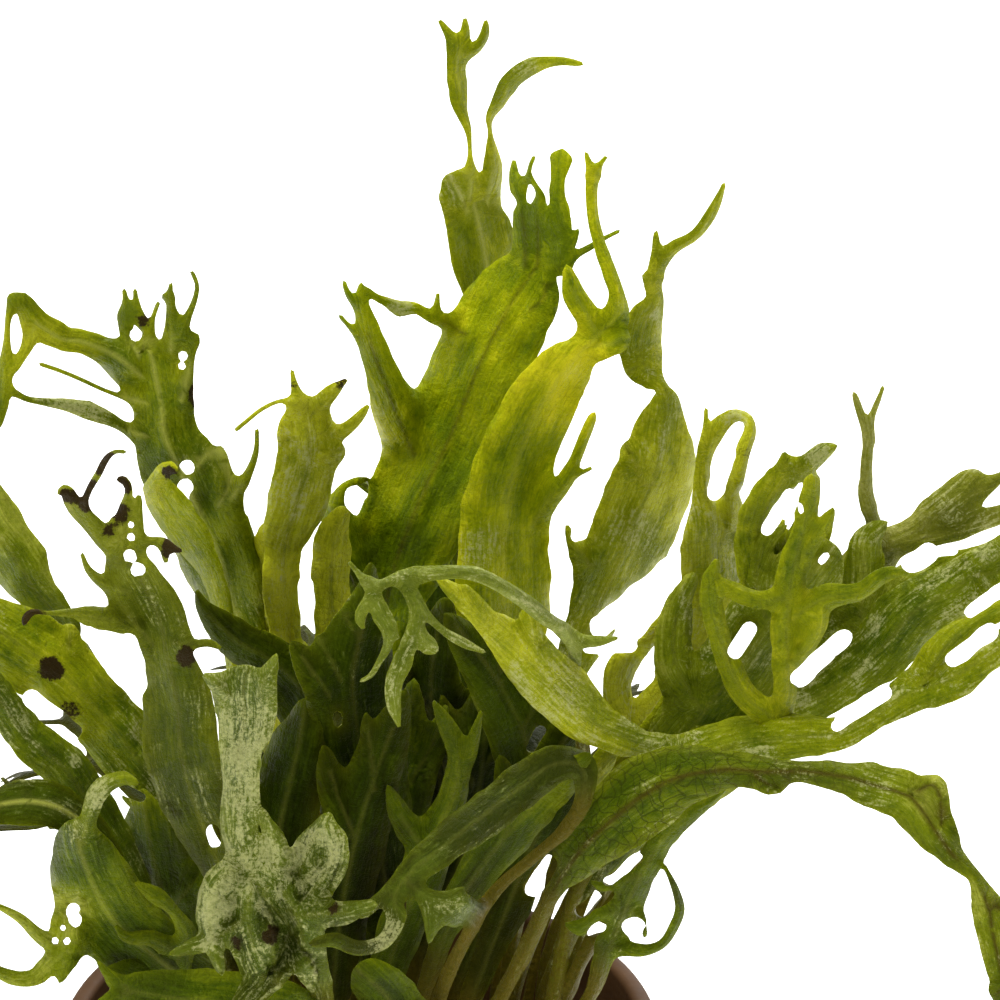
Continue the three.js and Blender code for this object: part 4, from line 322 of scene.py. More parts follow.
    "mid": ("upper", 6, (-0.5, -0.2), "deep", """
    43.2 97 1 .7, 44.2 88 0 1.2, 44.4 80 -1.4 3, 43.6 74 -2.4 3.6, 43.2 68.5 -3 3, 43.8 63.5 -3.4 2,
      44.6 60 -3.8 .8;
    44 74 0 2.4, 46.8 70.6 -.3 1.4, 48.2 68.4 -.5 .4;
    43.2 71.4 0 2.4, 41 67.6 -.3 1.3, 39.9 65.2 -.5 .4"""),
    "old": ("middle", 5, (0.45, -0.3), "deep", """
    43.2 100.4 -8 .6, 46.6 94 -9.4 .6, 50 88.9 -10.6 .65, 52.4 85.4 -11.6 1.1, 53.6 81 -12.6 3,
      53 75.5 -13.8 3.6, 51 70.5 -15 3.4, 48.6 66.5 -16 2.6, 46.3 63.6 -16.8 1.6, 44.6 61.4 -17.4 .4;
    52.4 72.4 0 2.2, 54.6 68.6 -.4 1.2, 55.8 66.4 -.8 .4;
    50.2 69.4 0 2, 49.6 65 -.6 1, 49 62.6 -1 .3;
    53.4 77.4 0 2.2, 56.4 74 -.3 1.6, 58.4 71.2 -.6 .5"""),
    "lattice": ("front", -8, (-0.4, -0.4), "green", """
    26.4 108 -17 .8, 24.6 104.2 -21.5 1.2, 20.6 99.6 -25 2.8, 15.5 95.6 -27.6 3.8, 11.4 92 -29 4.2,
      9.2 88 -30 3.9, 8 84.6 -30.6 2.6, 7.6 82.4 -31 1.4;
    8 85 0 1.4, 8.8 82 -.3 .9, 9.5 79.8 -.7 .95, 10.8 78.4 -1.2 .85, 12.4 77.8 -1.8 .7, 13.8 78.4 -2.4 .3;
    8.8 90 0 2.6, 7.2 92.4 0 2.2, 6.4 94 0 1.4;
    7.4 94.2 0 1.5, 5.6 94.4 -.3 .9, 4 93.6 -.7 .7, 2 91.8 -1.3 .5, 0 90.7 -2 .3, -2 89.8 -2.7 .15;
    6.8 95.2 0 1.3, 5 96.4 -.3 1, 3.4 97.8 -.7 .8, 1 97.7 -1.3 .7, -1 96.6 -2 .4, -2.6 95.4 -2.7 .15;
    6.5 96.2 0 1.1, 6 98.2 -.4 .3"""),
    "skirt": ("front", -0.5, (0.1, -0.5), "green", """
    35.6 108.4 -19 .8, 33.4 104.2 -25.4 1.7, 28.6 101.4 -30.2 3.1, 23 100.4 -32 3.4, 17 99.8 -33.6 2.8,
      12.6 99 -34.6 1.6;
    13.4 99.2 0 1.4, 11 97.6 -.2 .6, 9.8 96.2 -.3 .2;
    13.4 99.2 0 1.3, 10.8 100 -.8 .7, 8.8 101.2 -1.5 .2;
    29 101.4 0 2.2, 27 105 -2 1.6, 25.6 109 -4 .8, 25 112 -5.5 .2;
    22 101.4 0 2, 19.4 104.6 -2 1.4, 17.4 108 -4 .7, 16.6 110.4 -5 .2;
    17 100 0 1.6, 14.2 103 -1.6 1, 12.4 105.6 -3 .3"""),
    "bib": ("front", 2, (0, 0), "bright", """
    38.8 108.4 -18.6 .8, 40.4 104.8 -21 1.6, 39.8 101.4 -22.8 2.8, 37.8 98.6 -24.2 2.5, 35.8 97 -25 1.2;
    42 102 0 2.2, 44.2 103.6 -2 1.6, 45 107 -4.6 1, 44.6 110 -6.6 .3;
    40 101.4 0 2, 37.8 104.4 -2.4 1.2, 36.4 107 -4.6 .4"""),
    "curl": ("front", 5, (0, -0.5), "pale", """
    42.4 104.6 -18 .7, 44.2 99 -20 .8, 46.8 93.4 -22 .7, 49.8 88.8 -23 .6, 53 86 -23 .6, 56.4 83 -23.2 .7,
      58.4 79.4 -23.1 1, 58 76.6 -23 1.5, 55.6 76.4 -24.6 1.9, 52 78.8 -27 2.1, 48 81.8 -30 2.2,
      44.4 84.6 -32.4 1.9, 41.4 87 -34.2 1.5, 39.5 89.6 -34.8 1.3, 39.7 92 -35.4 .9, 38.2 94.2 -36.4 .75,
      35.8 94.8 -38.2 .8, 33.4 94 -39 .8, 31 94.4 -39.6 .4;
    40.8 88.2 0 1.3, 42.6 89.7 -.4 .9, 44.8 90.2 -.8 1.1, 46.8 90.3 -1.2 .7, 47.9 90.7 -1.6 .2;
    42.8 90.4 -.5 .9, 43.2 92.4 -.9 .8, 42.9 94.2 -1.3 .2;
    44.6 90.6 -.8 .9, 45.4 92.2 -.6 .6, 46.6 91.6 -.4 .3;
    45 89.8 -.8 .5, 46.3 88.8 -.6 .35;
    39.6 89.4 .2 .9, 37.6 90.2 .4 .7, 36.2 91.3 .6 .6, 34.6 90.4 .9 .35"""),
    "feather": ("front", 8, (0, -0.5), "pale", """
    49.4 101 -15 .7, 53.2 93.4 -16.4 .7, 56 87.6 -17 .7, 58 82.6 -17.2 .7, 58.6 78 -17.4 .7,
      58 72.4 -18.8 .7, 57.4 68 -20.5 .65, 57.4 65 -22.4 .65, 56.6 63.2 -25.6 .65, 54.8 62 -29.6 .7,
      52.8 60.4 -32 .7, 50.2 58.6 -34.5 .75, 47 57.3 -35.5 .75, 44 57.3 -36.3 .75, 41 57.6 -37 .85,
      39 58.1 -37.6 .5, 37.6 58.6 -38.1 .5, 36.6 58.1 -38.5 .45, 35.8 57.3 -38.8 .3, 35 56.3 -39.1 .14;
    56.4 63.2 0 .7, 58.4 64.1 -.3 .6, 60 64.1 -.7 .5, 61.7 63.8 -1.1 .15;
    36.9 58.4 0 .6, 37.6 60 -.6 .8, 38.2 61.6 -1.2 .95, 38.9 62.8 -1.8 .75, 39.7 63.7 -2.3 .15;
    37.3 59.4 -.3 .5, 36.4 60.6 -.5 .55, 36 62 -.7 .5, 36.3 62.8 -.9 .15;
    38.8 62.8 -1.7 .5, 38.8 64.4 -1.2 .5, 37.9 66.2 -.8 .3, 37 67.6 -.5 .25, 36.1 68.1 -.3 .15;
    40 58 0 .6, 41.4 60 -.8 .75, 41.6 62 -1.6 .75, 41.1 64 -2.2 .8, 40.1 66.4 -2.8 .95, 39.3 69 -3.3 .95,
      39.5 71 -3.6 .65, 39.9 72.6 -3.8 .15;
    41.4 59.6 -.8 .5, 42.8 61.6 -.5 .4, 44 62.8 -.3 .35, 46.4 64.3 0 .5, 48.4 65.2 .3 .15;
    41.6 62.8 -1.8 .5, 42.8 64.6 -1.8 .85, 43.7 65 -1.8 .4"""),
    "veined": ("front", 10.5, (0.1, -0.5), "olive", """
    50 100 -17.4 .75, 53 94 -19.4 .85, 55.6 88.6 -21 1.1, 58 85.2 -22 2.4, 61 82.2 -23 3.4,
      64.6 79.4 -24 3.9, 68.4 77.6 -25 3, 72 77 -26 2.1, 76 77.2 -27 1.5, 80 77.2 -28.2 1.2,
      83.8 77.6 -29.4 1.5, 87.4 78.5 -30.5 2.1, 91 79.8 -32 2.5, 93.4 83 -33.5 2.2, 95.3 85.6 -34.6 1.2,
      97.4 87.6 -35.4 .65, 98.7 90.4 -36 1.5, 99.4 94 -36.4 1.7, 100.2 97.6 -36.6 1.4, 100.8 101 -36.8 1.1,
      102.2 104 -37 .6, 103.6 106.6 -37 .2;
    91.4 79.4 0 1.2, 93.4 78.5 -.5 1, 94.2 80.2 -1.4 .9, 94.2 82.4 -2.4 .4;
    98.9 90.4 0 .8, 99.9 90.8 -.3 .3;
    75.6 77.6 0 1.3, 77 78.5 .2 1, 78.4 78.7 .3 .5;
    100 99 0 1.1, 101.6 97.6 -.8 .8, 103.4 97.2 -1.6 .25"""),
    "holed": ("front", 18, (0.4, -0.3), "bright", """
    56 104 -14.4 .7, 59.3 99 -16 .75, 60.4 95.8 -17 1.1, 61.8 92.6 -18 1.5, 63 89.6 -18.8 1.5,
      64.6 86.6 -19.4 1.3, 66 84.2 -20 1.2, 68 82.2 -20.6 1.1, 70.2 80.6 -21 .7, 72.4 79 -21.4 .3;
    61.9 91 0 .9, 60 91.6 .3 .8, 58 92.8 .6 .8, 56.6 92.4 .8 .3;
    63.6 87.6 0 .9, 61.6 88.2 .3 .7, 60 88.6 .5 .45, 59.2 88.2 .6 .15;
    61 94.6 0 1.2, 62.8 94.9 -.4 .8, 64.6 95 -.8 .55, 66.2 94.4 -1.2 .45, 67.3 92.8 -1.6 .5, 68 90.8 -2 .5,
      67.7 89.4 -2.4 .4, 67.1 87.9 -2.8 .28, 66.5 86.7 -3 .14;
    62.8 90.6 0 .9, 64.2 91.8 -.2 .4, 64.5 93.6 -.5 .3"""),
    "sweep": ("front", 15, (0.1, -0.6), "fresh", """
    55.4 100 -13.4 .8, 56.4 94 -13.4 .8, 58 88 -14 .85, 61.6 82 -15 1.2, 67 77.2 -16.2 2.4,
      73 74.6 -17.2 2.7, 79 73.8 -18 2.3, 84 73.3 -18.6 1.6, 87.6 71.4 -19 1.5, 91 69.4 -19.4 2,
      95 67.8 -19.8 2.3, 98.6 65.6 -20.2 1.8, 102 63.4 -20.8 1.2;
    68.4 75.8 0 1.8, 63.6 74.2 -2.8 1.6, 59.6 72.4 -6 2.2, 56.4 69.6 -8.6 3, 53.4 66.6 -10.4 2.8,
      50.4 63.6 -12 1.9, 47.6 61.2 -13.4 1, 45.4 59.2 -14.4 .85, 43.8 57.9 -15.2 .3;
    48.5 62.2 -12.8 1, 47.4 60.2 -13.4 .8, 46.5 58.6 -14 .3;
    53.8 66 -10.2 1.5, 53 62.8 -10.8 1.1, 52.4 61 -11.2 .5;
    92.2 68.4 0 2, 95.2 64 .6 1.4, 97.6 62.3 1 .85, 100 61 1.4 1, 102.4 59.6 1.8 .6, 104.2 58.4 2.2 .2;
    101 64 0 1.2, 103 64.8 -.6 .7, 104.8 64.8 -1.2 .2;
    101.4 63.8 0 1, 103.2 62.4 0 .5, 104.8 62 0 .2"""),
    "reach": ("middle", 17, (0.1, -0.6), "green", """
    55.4 98 -7 .7, 58 90 -8 .8, 62.5 82 -9 1, 68 76 -10 1.6, 73.6 72.8 -10.6 2.4, 79.4 71 -11.2 2.2,
      84.8 67.8 -11.8 2.4, 88.4 64.6 -12.2 3.2, 91.4 61.2 -12.6 3.2, 95.2 59 -13 2.5, 98.8 56.2 -13.4 1.7,
      101.4 54.2 -13.8 1;
    97.4 57.4 0 1.4, 101 57.2 -.6 .8, 103.6 56.6 -1.2 .25;
    100.8 54.6 0 1, 103.2 54 -.3 .5, 104.8 54 -.5 .2;
    100.8 54.6 0 1, 102.6 51.8 .2 .5, 103.4 50.2 .4 .2"""),
    "high_right": ("upper", 17, (0.4, -0.6), "olive", """
    54.8 96 3 .7, 58.2 88 2 .8, 64 80 1 1, 69.6 73.4 0 1.8, 75 68.4 -1 2.6, 79.6 63.6 -2 2.4,
      83.8 59.8 -2.8 2.8, 86.8 56.6 -3.4 2.6, 88.2 54.4 -3.8 1.9;
    87.8 55.8 0 1.7, 87.4 52.4 -.3 .85, 86.7 50 -.6 .65, 86.6 47 -.9 .6, 86.9 44 -1.2 .5,
      87.2 41.6 -1.5 .33, 87.9 39.8 -1.8 .25, 88.3 38.7 -2.1 .12;
    86.9 44 -1.2 .4, 86 41.2 -1.5 .4, 85.4 39.3 -1.8 .3;
    86.9 50.6 -.6 .7, 86.2 48.6 -.7 .4;
    88.6 54.8 0 1.8, 91.6 53 .2 1.4, 94.4 50.8 .5 1.9, 96.8 48.8 .8 1.8, 97.8 47.4 1 1.1;
    96.4 49.8 .8 1.5, 98.6 48.6 1.1 .9, 100.8 47.2 1.4 .3;
    90.2 54.2 .2 1.2, 93.8 53.4 .6 1.2, 97.2 52.4 1 1.2, 100.6 51.2 1.5 .9, 103.6 50 2 .3"""),
    "olive": ("middle", 13, (0.7, -0.3), "deep", """
    51.8 98 -6 .7, 55.2 89 -7 .8, 60.3 80 -8 .9, 65.2 73 -8.4 1.2, 70.2 67.6 -8.6 1.8, 75 63.4 -8.8 1.5,
      76.8 59.8 -8.9 2.2, 76.2 56 -9 2.6, 76 52.2 -9.2 2.4, 77.4 49.2 -9.4 1.8, 79.2 46.9 -9.6 1.35,
      80.3 46.5 -9.8 .8;
    79.8 47 0 .9, 81.2 46 -.5 1, 82.5 45 -1 .8, 83.6 44.6 -1.5 .3;
    78.6 47 0 .8, 78.4 45.3 .2 .15;
    77 57.6 0 1.6, 79.6 53.6 .5 .8, 80.8 51 .9 .85, 81.2 48.8 1.2 .9, 81.2 47.5 1.4 .85;
    77.4 60 0 1.7, 80.4 57 .3 1.4, 81.6 54.6 .6 1.1, 82.5 52.4 .9 .75, 83.2 51 1.2 .4"""),
    "arch": ("middle", 9, (0.6, -0.2), "fresh", """
    48.2 98 -4.4 .7, 52.4 89 -4.2 .8, 57.2 80 -4 .9, 63 73.5 -3.8 1.6, 67.6 68 -3.8 2.3,
      70.4 63.4 -3.8 2.6, 71.2 58.4 -3.8 3, 71.2 54 -4 3, 71 51 -4 2, 70.4 48.8 -4.1 .95,
      70.4 46.2 -4.3 .75, 71 44.1 -4.6 .85, 72.2 42.4 -5 .8, 73.6 41.5 -5.5 .65, 74.8 41.9 -6.2 .5,
      75 43.2 -6.9 .65, 74.4 44.8 -7.6 .75, 73.9 46.8 -8.2 .8, 73.5 49 -8.8 .7;
    63.4 73 0 1.4, 61.7 69.6 0 1.5, 62.8 65.4 0 1.4, 66 62.4 0 1.2, 69 60.6 0 .8;
    70.7 44.8 0 .5, 70.6 42.4 .2 .28, 70.6 40.9 .4 .15;
    72 54.4 0 2.2, 73.2 50.8 0 1, 72.9 47.4 0 .25"""),
    "inner_left": ("middle", -1.5, (-0.3, -0.3), "deep", """
    35.2 101 -5.4 .7, 36.8 92 -6 1.8, 38.8 84 -6.4 3.4, 40.4 77 -6.8 3.2, 41 71 -7 1.6, 41.4 68 -7.2 .4;
    40 79 0 2.4, 37.6 73.4 .3 1.3, 36.6 70.4 .5 .3;
    41 78.4 0 2.2, 43.6 73.6 .3 1.2, 44.6 70.6 .5 .3"""),
    "inner_mid": ("middle", 3, (0.3, -0.3), "deep", """
    40.4 101 -5.6 .7, 43 93 -6 1.4, 46 86 -6.4 3.4, 47.6 80 -6.8 3.8, 48.4 74 -7 3, 48.8 69 -7.2 1.6,
      49 66 -7.4 .3;
    47.4 79 0 2.4, 45.2 73 1.6 1.2, 44.2 69.6 2.6 .3;
    48.2 77 0 2.4, 51.4 72 -.2 1.3, 52.6 69 -.4 .3"""),
    "inner_right": ("middle", 7, (0.3, -0.3), "deep", """
    44.8 101 -6 .7, 47.6 94 -7.2 1.5, 49.8 88.4 -8 2, 51.6 83 -8.6 2.3, 52.8 78 -9 1.6, 53.4 75 -9.2 .3;
    52 81 0 1.8, 54.8 77.6 -.2 1.1, 56.4 75.4 -.4 .3"""),
    "young_1": ("front", -12, (-0.3, -0.4), "green", """
    21.5 104 -14 .8, 19 97 -16 2.2, 16.4 90 -17.5 3.4, 15.2 85 -18 3.2, 14.6 81.5 -18.4 1.8,
      14.2 79 -18.6 .4;
    16 88.6 0 2, 12.6 85.6 .3 1.7, 10.4 83 .6 .4;
    17 91 0 2, 19.8 87.4 .3 1.3, 20.6 85.4 .5 .3"""),
    "young_2": ("front", -7, (-0.3, -0.3), "deep", """
    27.5 104 -14 .8, 26.4 96 -15 2.2, 27 88 -15.5 3.2, 28.6 80 -15.6 3.4, 30 74 -15.6 2.6,
      30.6 70 -15.6 .5;
    27.4 86 0 2.4, 24.4 81 .4 1.8, 23.4 77 .8 .5"""),
    "young_3": ("front", -2, (0.3, -0.3), "deep", """
    33 104 -15 .8, 33.4 96 -16 2.4, 34.6 88 -17 3.2, 36.6 80 -18 3, 39 73.4 -18.6 2, 40.6 69 -19 .4;
    35.6 84 0 2.2, 33.4 78.6 .3 1.6, 32.4 74.6 .6 .4;
    37.4 79 0 2, 37 74.6 .3 1.3, 36.6 71.4 .6 .3"""),
    "young_4": ("front", 1, (0.3, -0.3), "green", """
    37 104 -15 .8, 39 96 -16.5 2, 41.5 89 -17.4 2.4, 43.6 83.4 -18 2.1, 45.4 79 -18.6 1.3,
      45.7 75.6 -19 .95, 44.5 72.2 -19.4 .85, 43.4 70.2 -19.8 .25;
    45.8 77 0 .9, 47 75 -.3 .75, 47.6 73 -.5 .5, 48.1 71.2 -.8 .15;
    42.8 85.4 0 1.8, 40 81.4 .3 1.2, 38.8 78.6 .5 .3"""),
    "young_5": ("front", 6, (0.3, -0.3), "green", """
    41.5 103 -15 .7, 43.5 96 -17 1, 46 90 -19 1.6, 49 85.4 -20.5 2.2, 52.4 81.6 -21.6 2.3, 56 78 -22.4 1.8,
      59 75.4 -23 .5;
    50 84.4 0 1.6, 51.4 80.6 .3 1.3, 52.8 77 .6 .3"""),
    "young_6": ("front", 8, (0.3, -0.3), "deep", """
    46 103 -14 .7, 48.6 96 -15 1.4, 51 90 -16 2.2, 53.2 84.4 -16.8 2.8, 55.6 79.4 -17.4 2.4,
      57.6 75.4 -18 .5;
    53.4 84 0 2.2, 51 79.4 .3 1.8, 50 75.6 .5 .4"""),
    "young_7": ("front", -9, (0.1, -0.5), "green", """
    24 107 -18 .8, 19.5 102 -24 2.2, 15 98.8 -28 2.6, 12 97.6 -30 1.6, 10.6 97.4 -30.6 .5;
    18 100.6 0 2, 17.6 96.6 -1.2 1.6, 18.6 93.4 -2.4 1.1, 17.6 91.4 -3.4 .6, 15.4 89.4 -4 .8,
      13.6 88.3 -4.4 .25;
    17.8 95.4 -2 1.2, 15.2 93.8 -3.4 .9, 12.4 93.6 -4.4 .5, 11.6 92.6 -4.8 .2"""),
    "young_8": ("middle", 15, (0.3, -0.4), "green", """
    55 98 -8 .8, 59 89 -9 1.2, 64 80 -9.6 2.6, 69 73 -9.8 3.6, 73.6 67 -10 4.2, 78 61 -10 4.4,
      81.4 57 -10 3, 83 54.6 -10 1.2;
    70 71 0 3, 67.4 66 .4 2, 67.6 61.6 .8 1.6, 69.4 57.4 1.2 .6;
    77 63 0 3, 75.6 57.6 .4 1.6, 76.8 53.8 .8 .9, 78.6 52.6 1 .3"""),
    "young_9": ("upper", 19, (0.3, -0.5), "green", """
    57 97 2 .8, 62 86 0 1, 69 76.4 -3 2.2, 76 71 -5 3.2, 82 67 -6 3.6, 88 62.6 -6.6 4.2, 93 58.8 -7 3.2,
      96.6 56.6 -7.4 1.8, 100 54.8 -7.8 .8;
    86 64 0 3, 86.4 58 .4 2.4, 87 53.6 .8 1.2, 88.6 52.2 1 .4;
    90 61.4 0 3, 94 62.6 -.4 1.8, 97 61.8 -.8 .6"""),
    "young_10": ("front", 17, (0.5, -0.3), "fresh", """
    56 101 -13 .7, 60.4 92 -13.6 .8, 66 84 -14.2 1, 72 78.4 -14.8 1.2, 76.8 74.6 -15.2 1.3,
      78.6 68 -15.4 1.2, 78.6 62 -15.6 1.6, 79.2 57 -15.8 1.5, 80.2 53 -16 1.1, 81 49.8 -16.2 1,
      81.2 47.6 -16.4 .8;
    79.8 56.4 0 1.1, 81.2 54 0 .95, 82.6 52.2 0 .8, 83.3 50.9 0 .25;
    79 59.6 0 1.2, 76 60 -.4 .95, 73 58.9 -.8 .8, 70.6 57.6 -1.2 .4;
    77.4 71.8 0 1.5, 74.8 70 -.4 1.4, 72.8 66.4 -.8 1.2, 71.6 62.4 -1.2 1.1, 71 58.6 -1.6 .9,
      71.6 56 -1.8 .3;
    78.8 66.4 0 1.3, 80.6 64.6 -.3 1.1, 82 61.8 -.6 .8, 82.2 60 -.8 .5;
    79.2 61.8 0 1.5, 82.4 59.8 -.3 1.2, 86 59.2 -.6 .9, 88.6 57.4 -.9 .7, 91 57.2 -1 .25"""),
    "young_11": ("upper", -4, (-0.3, -0.2), "fresh", """
    31 97 3 .7, 30 84 2 1, 28.2 72 1.6 1.7, 27.2 64 1.4 2.2, 26.8 58.6 1.2 2.2, 26.5 54.6 1 1.4,
      26.4 52.4 .9 .3"""),
    "young_12": ("upper", 0, (0.3, -0.2), "fresh", """
    35.6 97 3 .7, 35 84 2.4 1, 34.2 72 2 1.8, 33.4 64 1.8 2, 33 58 1.6 2, 33.4 53.4 1.5 1.6,
      34.4 50.8 1.4 .6"""),
}
# Round holes in a frond: across, down and radius in board mm
frondHoles = {
    "big": [(36, 49.3, 0.75)],
    "stag": [(18.7, 46.7, 0.75), (18.5, 48.7, 0.85), (18.4, 50, 0.6), (13.6, 33.5, 0.65), (18.3, 35.6, 0.5),
        (18.2, 36.6, 0.4)],
    "bronze": [(13.1, 52.5, 0.35), (13.1, 53.7, 0.45), (13, 55.6, 0.7), (13.8, 57, 0.75)],
    "lattice": [(7.3, 91, 0.75), (7.5, 92, 0.7), (6.3, 92.8, 0.3), (5.5, 94.1, 0.4), (6.7, 94.1, 0.42)],
}
# Openings through which the light shows: from and to, and half the width, in board mm
openings = [
    (73.4, 65.2, 75, 62.9, 0.7), (79.9, 67.8, 84.3, 63.9, 0.95), (83.7, 72.6, 88.5, 69.3, 0.65),
    (91.1, 56.4, 92.9, 55.3, 1), (93, 55.4, 95.4, 55.2, 0.35), (97, 61.3, 100.4, 58.7, 0.6),
    (95.3, 65.9, 99, 63.2, 0.85), (76.7, 52.9, 79.1, 49.6, 0.75), (80, 50.6, 80.1, 51.2, 0.35),
    (82.1, 56.1, 82.6, 55.5, 0.3), (71.4, 49.2, 72.8, 45.6, 0.85), (63.9, 68.6, 64.9, 67.5, 0.7),
    (60, 62.7, 67, 56.9, 1.15), (63, 62.6, 64.6, 60.6, 1.5), (58.8, 64.7, 63, 64.6, 0.7),
    (53.1, 74.7, 54.1, 73.1, 0.55), (53.3, 88.7, 54.8, 86.5, 1), (58.2, 91.1, 59.6, 89.6, 0.7),
    (60.8, 88.1, 63.8, 85.8, 0.55), (59.2, 93.2, 60, 92.7, 0.6), (63.1, 92.7, 63.5, 92.6, 0.85),
    (65.6, 89.8, 65.5, 92.6, 0.75), (57.6, 53.6, 58.6, 52.3, 0.6), (3.2, 69.8, 7.2, 73.2, 0.95),
    (8.8, 63.4, 12.6, 66, 0.9), (12.8, 64.6, 13.6, 68.4, 1.2), (12.3, 78.9, 14.1, 79.7, 0.5),
    (21.2, 83, 21.4, 84.1, 0.7), (30.6, 58.4, 30.8, 63.6, 0.75), (36, 49.2, 36, 49.4, 0.6),
    (33.8, 71.6, 33.8, 72.3, 0.45), (25, 49.4, 25.1, 51, 0.6),
]
neverCut = ("feather", "big", "hook", "curl", "strap", "lattice")

# Outlines of the arched fronds, with a place along and across the blade instead
outlines = {
    "crested": """
    14 0 0 .8, 23 0 0 2.4, 32 .3 0 4.6, 41 0 0 5.4, 48 -.4 0 4.6, 53 0 0 3;
    50 -3 0 2, 55 -6.5 .4 1.6, 59 -8.6 1 1.1, 62 -9.2 1.6 .3;
    56.6 -7.4 .5 .9, 58.4 -11 1 .7, 60.4 -13.2 1.6 .2;
    53 0 0 2.2, 58.5 .5 -.4 1.6, 62.5 -.6 -1 1, 66 -1.6 -1.6 .25;
    60 .2 -.6 .9, 63 2.6 -.8 .7, 66 3.6 -1.2 .2;
    50 3 0 2, 54 7 .3 1.5, 57 10.2 .7 1.1, 58 13.4 1.3 .3;
    55.4 8.4 .4 .9, 59 8.8 .8 .8, 62.4 9.8 1.4 .2""",
    "forked": """
    14 0 0 .8, 24 .2 0 2, 34 0 0 3.8, 44 -.3 0 4.3, 51 0 0 3.4;
    49 -1.6 0 2.2, 55 -4.4 .6 1.8, 61 -6.4 1.4 1.5, 65 -9 2.2 .3;
    60 -6.2 1.2 1, 65 -4.6 1.6 .8, 69 -4.8 2 .2;
    49 1.6 0 2.2, 54.4 4.8 -.3 1.7, 59 8 -.8 1.3, 62 11.6 -1.4 .3;
    57.6 7 -.6 1, 62 6.4 -1 .8, 66 7.6 -1.6 .2""",
    "slender": """
    12 0 0 .8, 22 0 0 1.8, 34 .4 0 2.8, 46 0 0 2.8, 54 -.6 0 2;
    53 -.8 0 1.5, 59 -3.6 .5 1, 63 -6.4 1.2 .25;
    53 0 0 1.5, 60 .8 -.4 1.2, 66 -.4 -1 .25;
    58 .6 -.3 .9, 61.6 4 -.6 .8, 65 5.4 -1.2 .2""",
}
# name: row, place along it, heading in degrees, slope at the foot and tip, size, breadth, roll, outline
archedFronds = {
    "back_1": ("rear", -12, 168, (78, -40), 0.58, 1, 8, "crested"),
    "back_2": ("rear", -9.2, 136, (72, -44), 0.66, 0.95, -6, "forked"),
    "back_3": ("rear", -6.2, 122, (80, -20), 0.56, 0.9, 10, "slender"),
    "back_4": ("rear", -3, 106, (70, -36), 0.76, 1, -8, "crested"),
    "back_5": ("rear", 0, 94, (84, -10), 0.66, 0.85, 4, "forked"),
    "back_6": ("rear", 3.2, 88, (62, -34), 0.86, 1, -4, "forked"),
    "back_7": ("rear", 6.4, 84, (84, 14), 0.9, 0.85, 6, "crested"),
    "back_8": ("rear", 12.8, 78, (63, -44), 0.74, 1, -8, "crested"),
    "back_9": ("rear", 16, 64, (72, -36), 0.68, 0.9, 8, "slender"),
    "back_10": ("rear", 19, 66, (70, -44), 0.5, 1, -8, "forked"),
    "back_11": ("upper", -0.6, 112, (88, 10), 0.62, 0.9, 10, "crested"),
    "back_12": ("upper", 4, 84, (88, 30), 0.56, 0.9, -8, "slender"),
    "back_13": ("upper", 8, 96, (89, 30), 0.74, 0.9, 4, "forked"),
    "back_14": ("upper", -5.6, 130, (88, -6), 0.56, 0.9, -8, "crested"),
}


# Where the fronds stand: rows of rhizome on top of the wool, in millimetres
bed = {
    "woolTop": 42, "woolDome": 1.8, "rimRadius": 28.5, "gap": 0.3, "rhizomeRadius": 1.75,
    "rows": {"rear": 11, "upper": 4, "middle": -4, "front": -12},
}
# How a frond is built, in mm
leaf = {
    "stalkHalfWidth": 0.6,
    "branchStep": 0.8,     # between the places where a branch is worked out
    "narrowest": 0.2,      # half the width of the finest tip
    "blunt": 0.35,         # how round a lobe ends, as a share of half its width
    "gridStep": 0.22,      # the grid on which the outline is found
    "far": 1.2,            # outside the outline, where the grid stops caring
    "crotch": 0.7,         # rounding between lobes
    "marginStep": 0.42,    # between points of the outline
    "innerStep": 0.95,     # between points inside it
    "besideRib": 0.34,     # place of two rows of points beside each branch's middle
    "rowReach": 1.1,       # half the width that those rows take into account
    "rowClearance": 0.12, "spreadClearance": 0.42,   # between the outline and the points inside
    "pointCell": 0.3, "pointGap": 0.28,
    "smallestLoop": 0.12,  # square mm
    "blend": 0.45,         # over which branches run into each other
    "raggedness": 0.2, "raggedSizes": (2.3, 0.9), "raggedFrom": 0.3, "raggedTo": 1.2,
    "holeRaggedness": 0.12, "openingRaggedness": 0.15, "openingSize": 1.4,
    "rimThickness": 0.035, "bladeThickness": 0.15, "bladeEdge": 0.8,
    "marginWidth": 0.9,
}

eye = np.array(view["eye"])
pitch = math.radians(view["pitch"])
boardUp = np.array((0, math.sin(pitch), math.cos(pitch)))
boardAhead = np.array((0, math.cos(pitch), -math.sin(pitch)))
boardCentre = view["boardSize"] / 2


def woolHeight(x, y):
    return bed["woolTop"] - bed["woolDome"] * (x * x + y * y) / bed["rimRadius"] ** 2


def footOf(rowName, x):
    y = bed["rows"][rowName]
    return np.array((x, y, woolHeight(x, y) + 2 * bed["gap"] + 2 * bed["rhizomeRadius"]))


def fromBoard(across, down, depth):
    # from the sight board to the plant's own millimetres
    sight = (across - boardCentre)[:, None] * np.array((1.0, 0, 0))
    sight = sight + (boardCentre - down)[:, None] * boardUp + view["boardDistance"] * boardAhead
    return eye + sight * ((depth - eye[1]) / sight[:, 1])[:, None]


def toBoard(spot):
    sight = spot - eye
    ahead = sight @ boardAhead
    return (boardCentre + view["boardDistance"] * sight[0] / ahead,
            boardCentre - view["boardDistance"] * (sight @ boardUp) / ahead, spot[1])


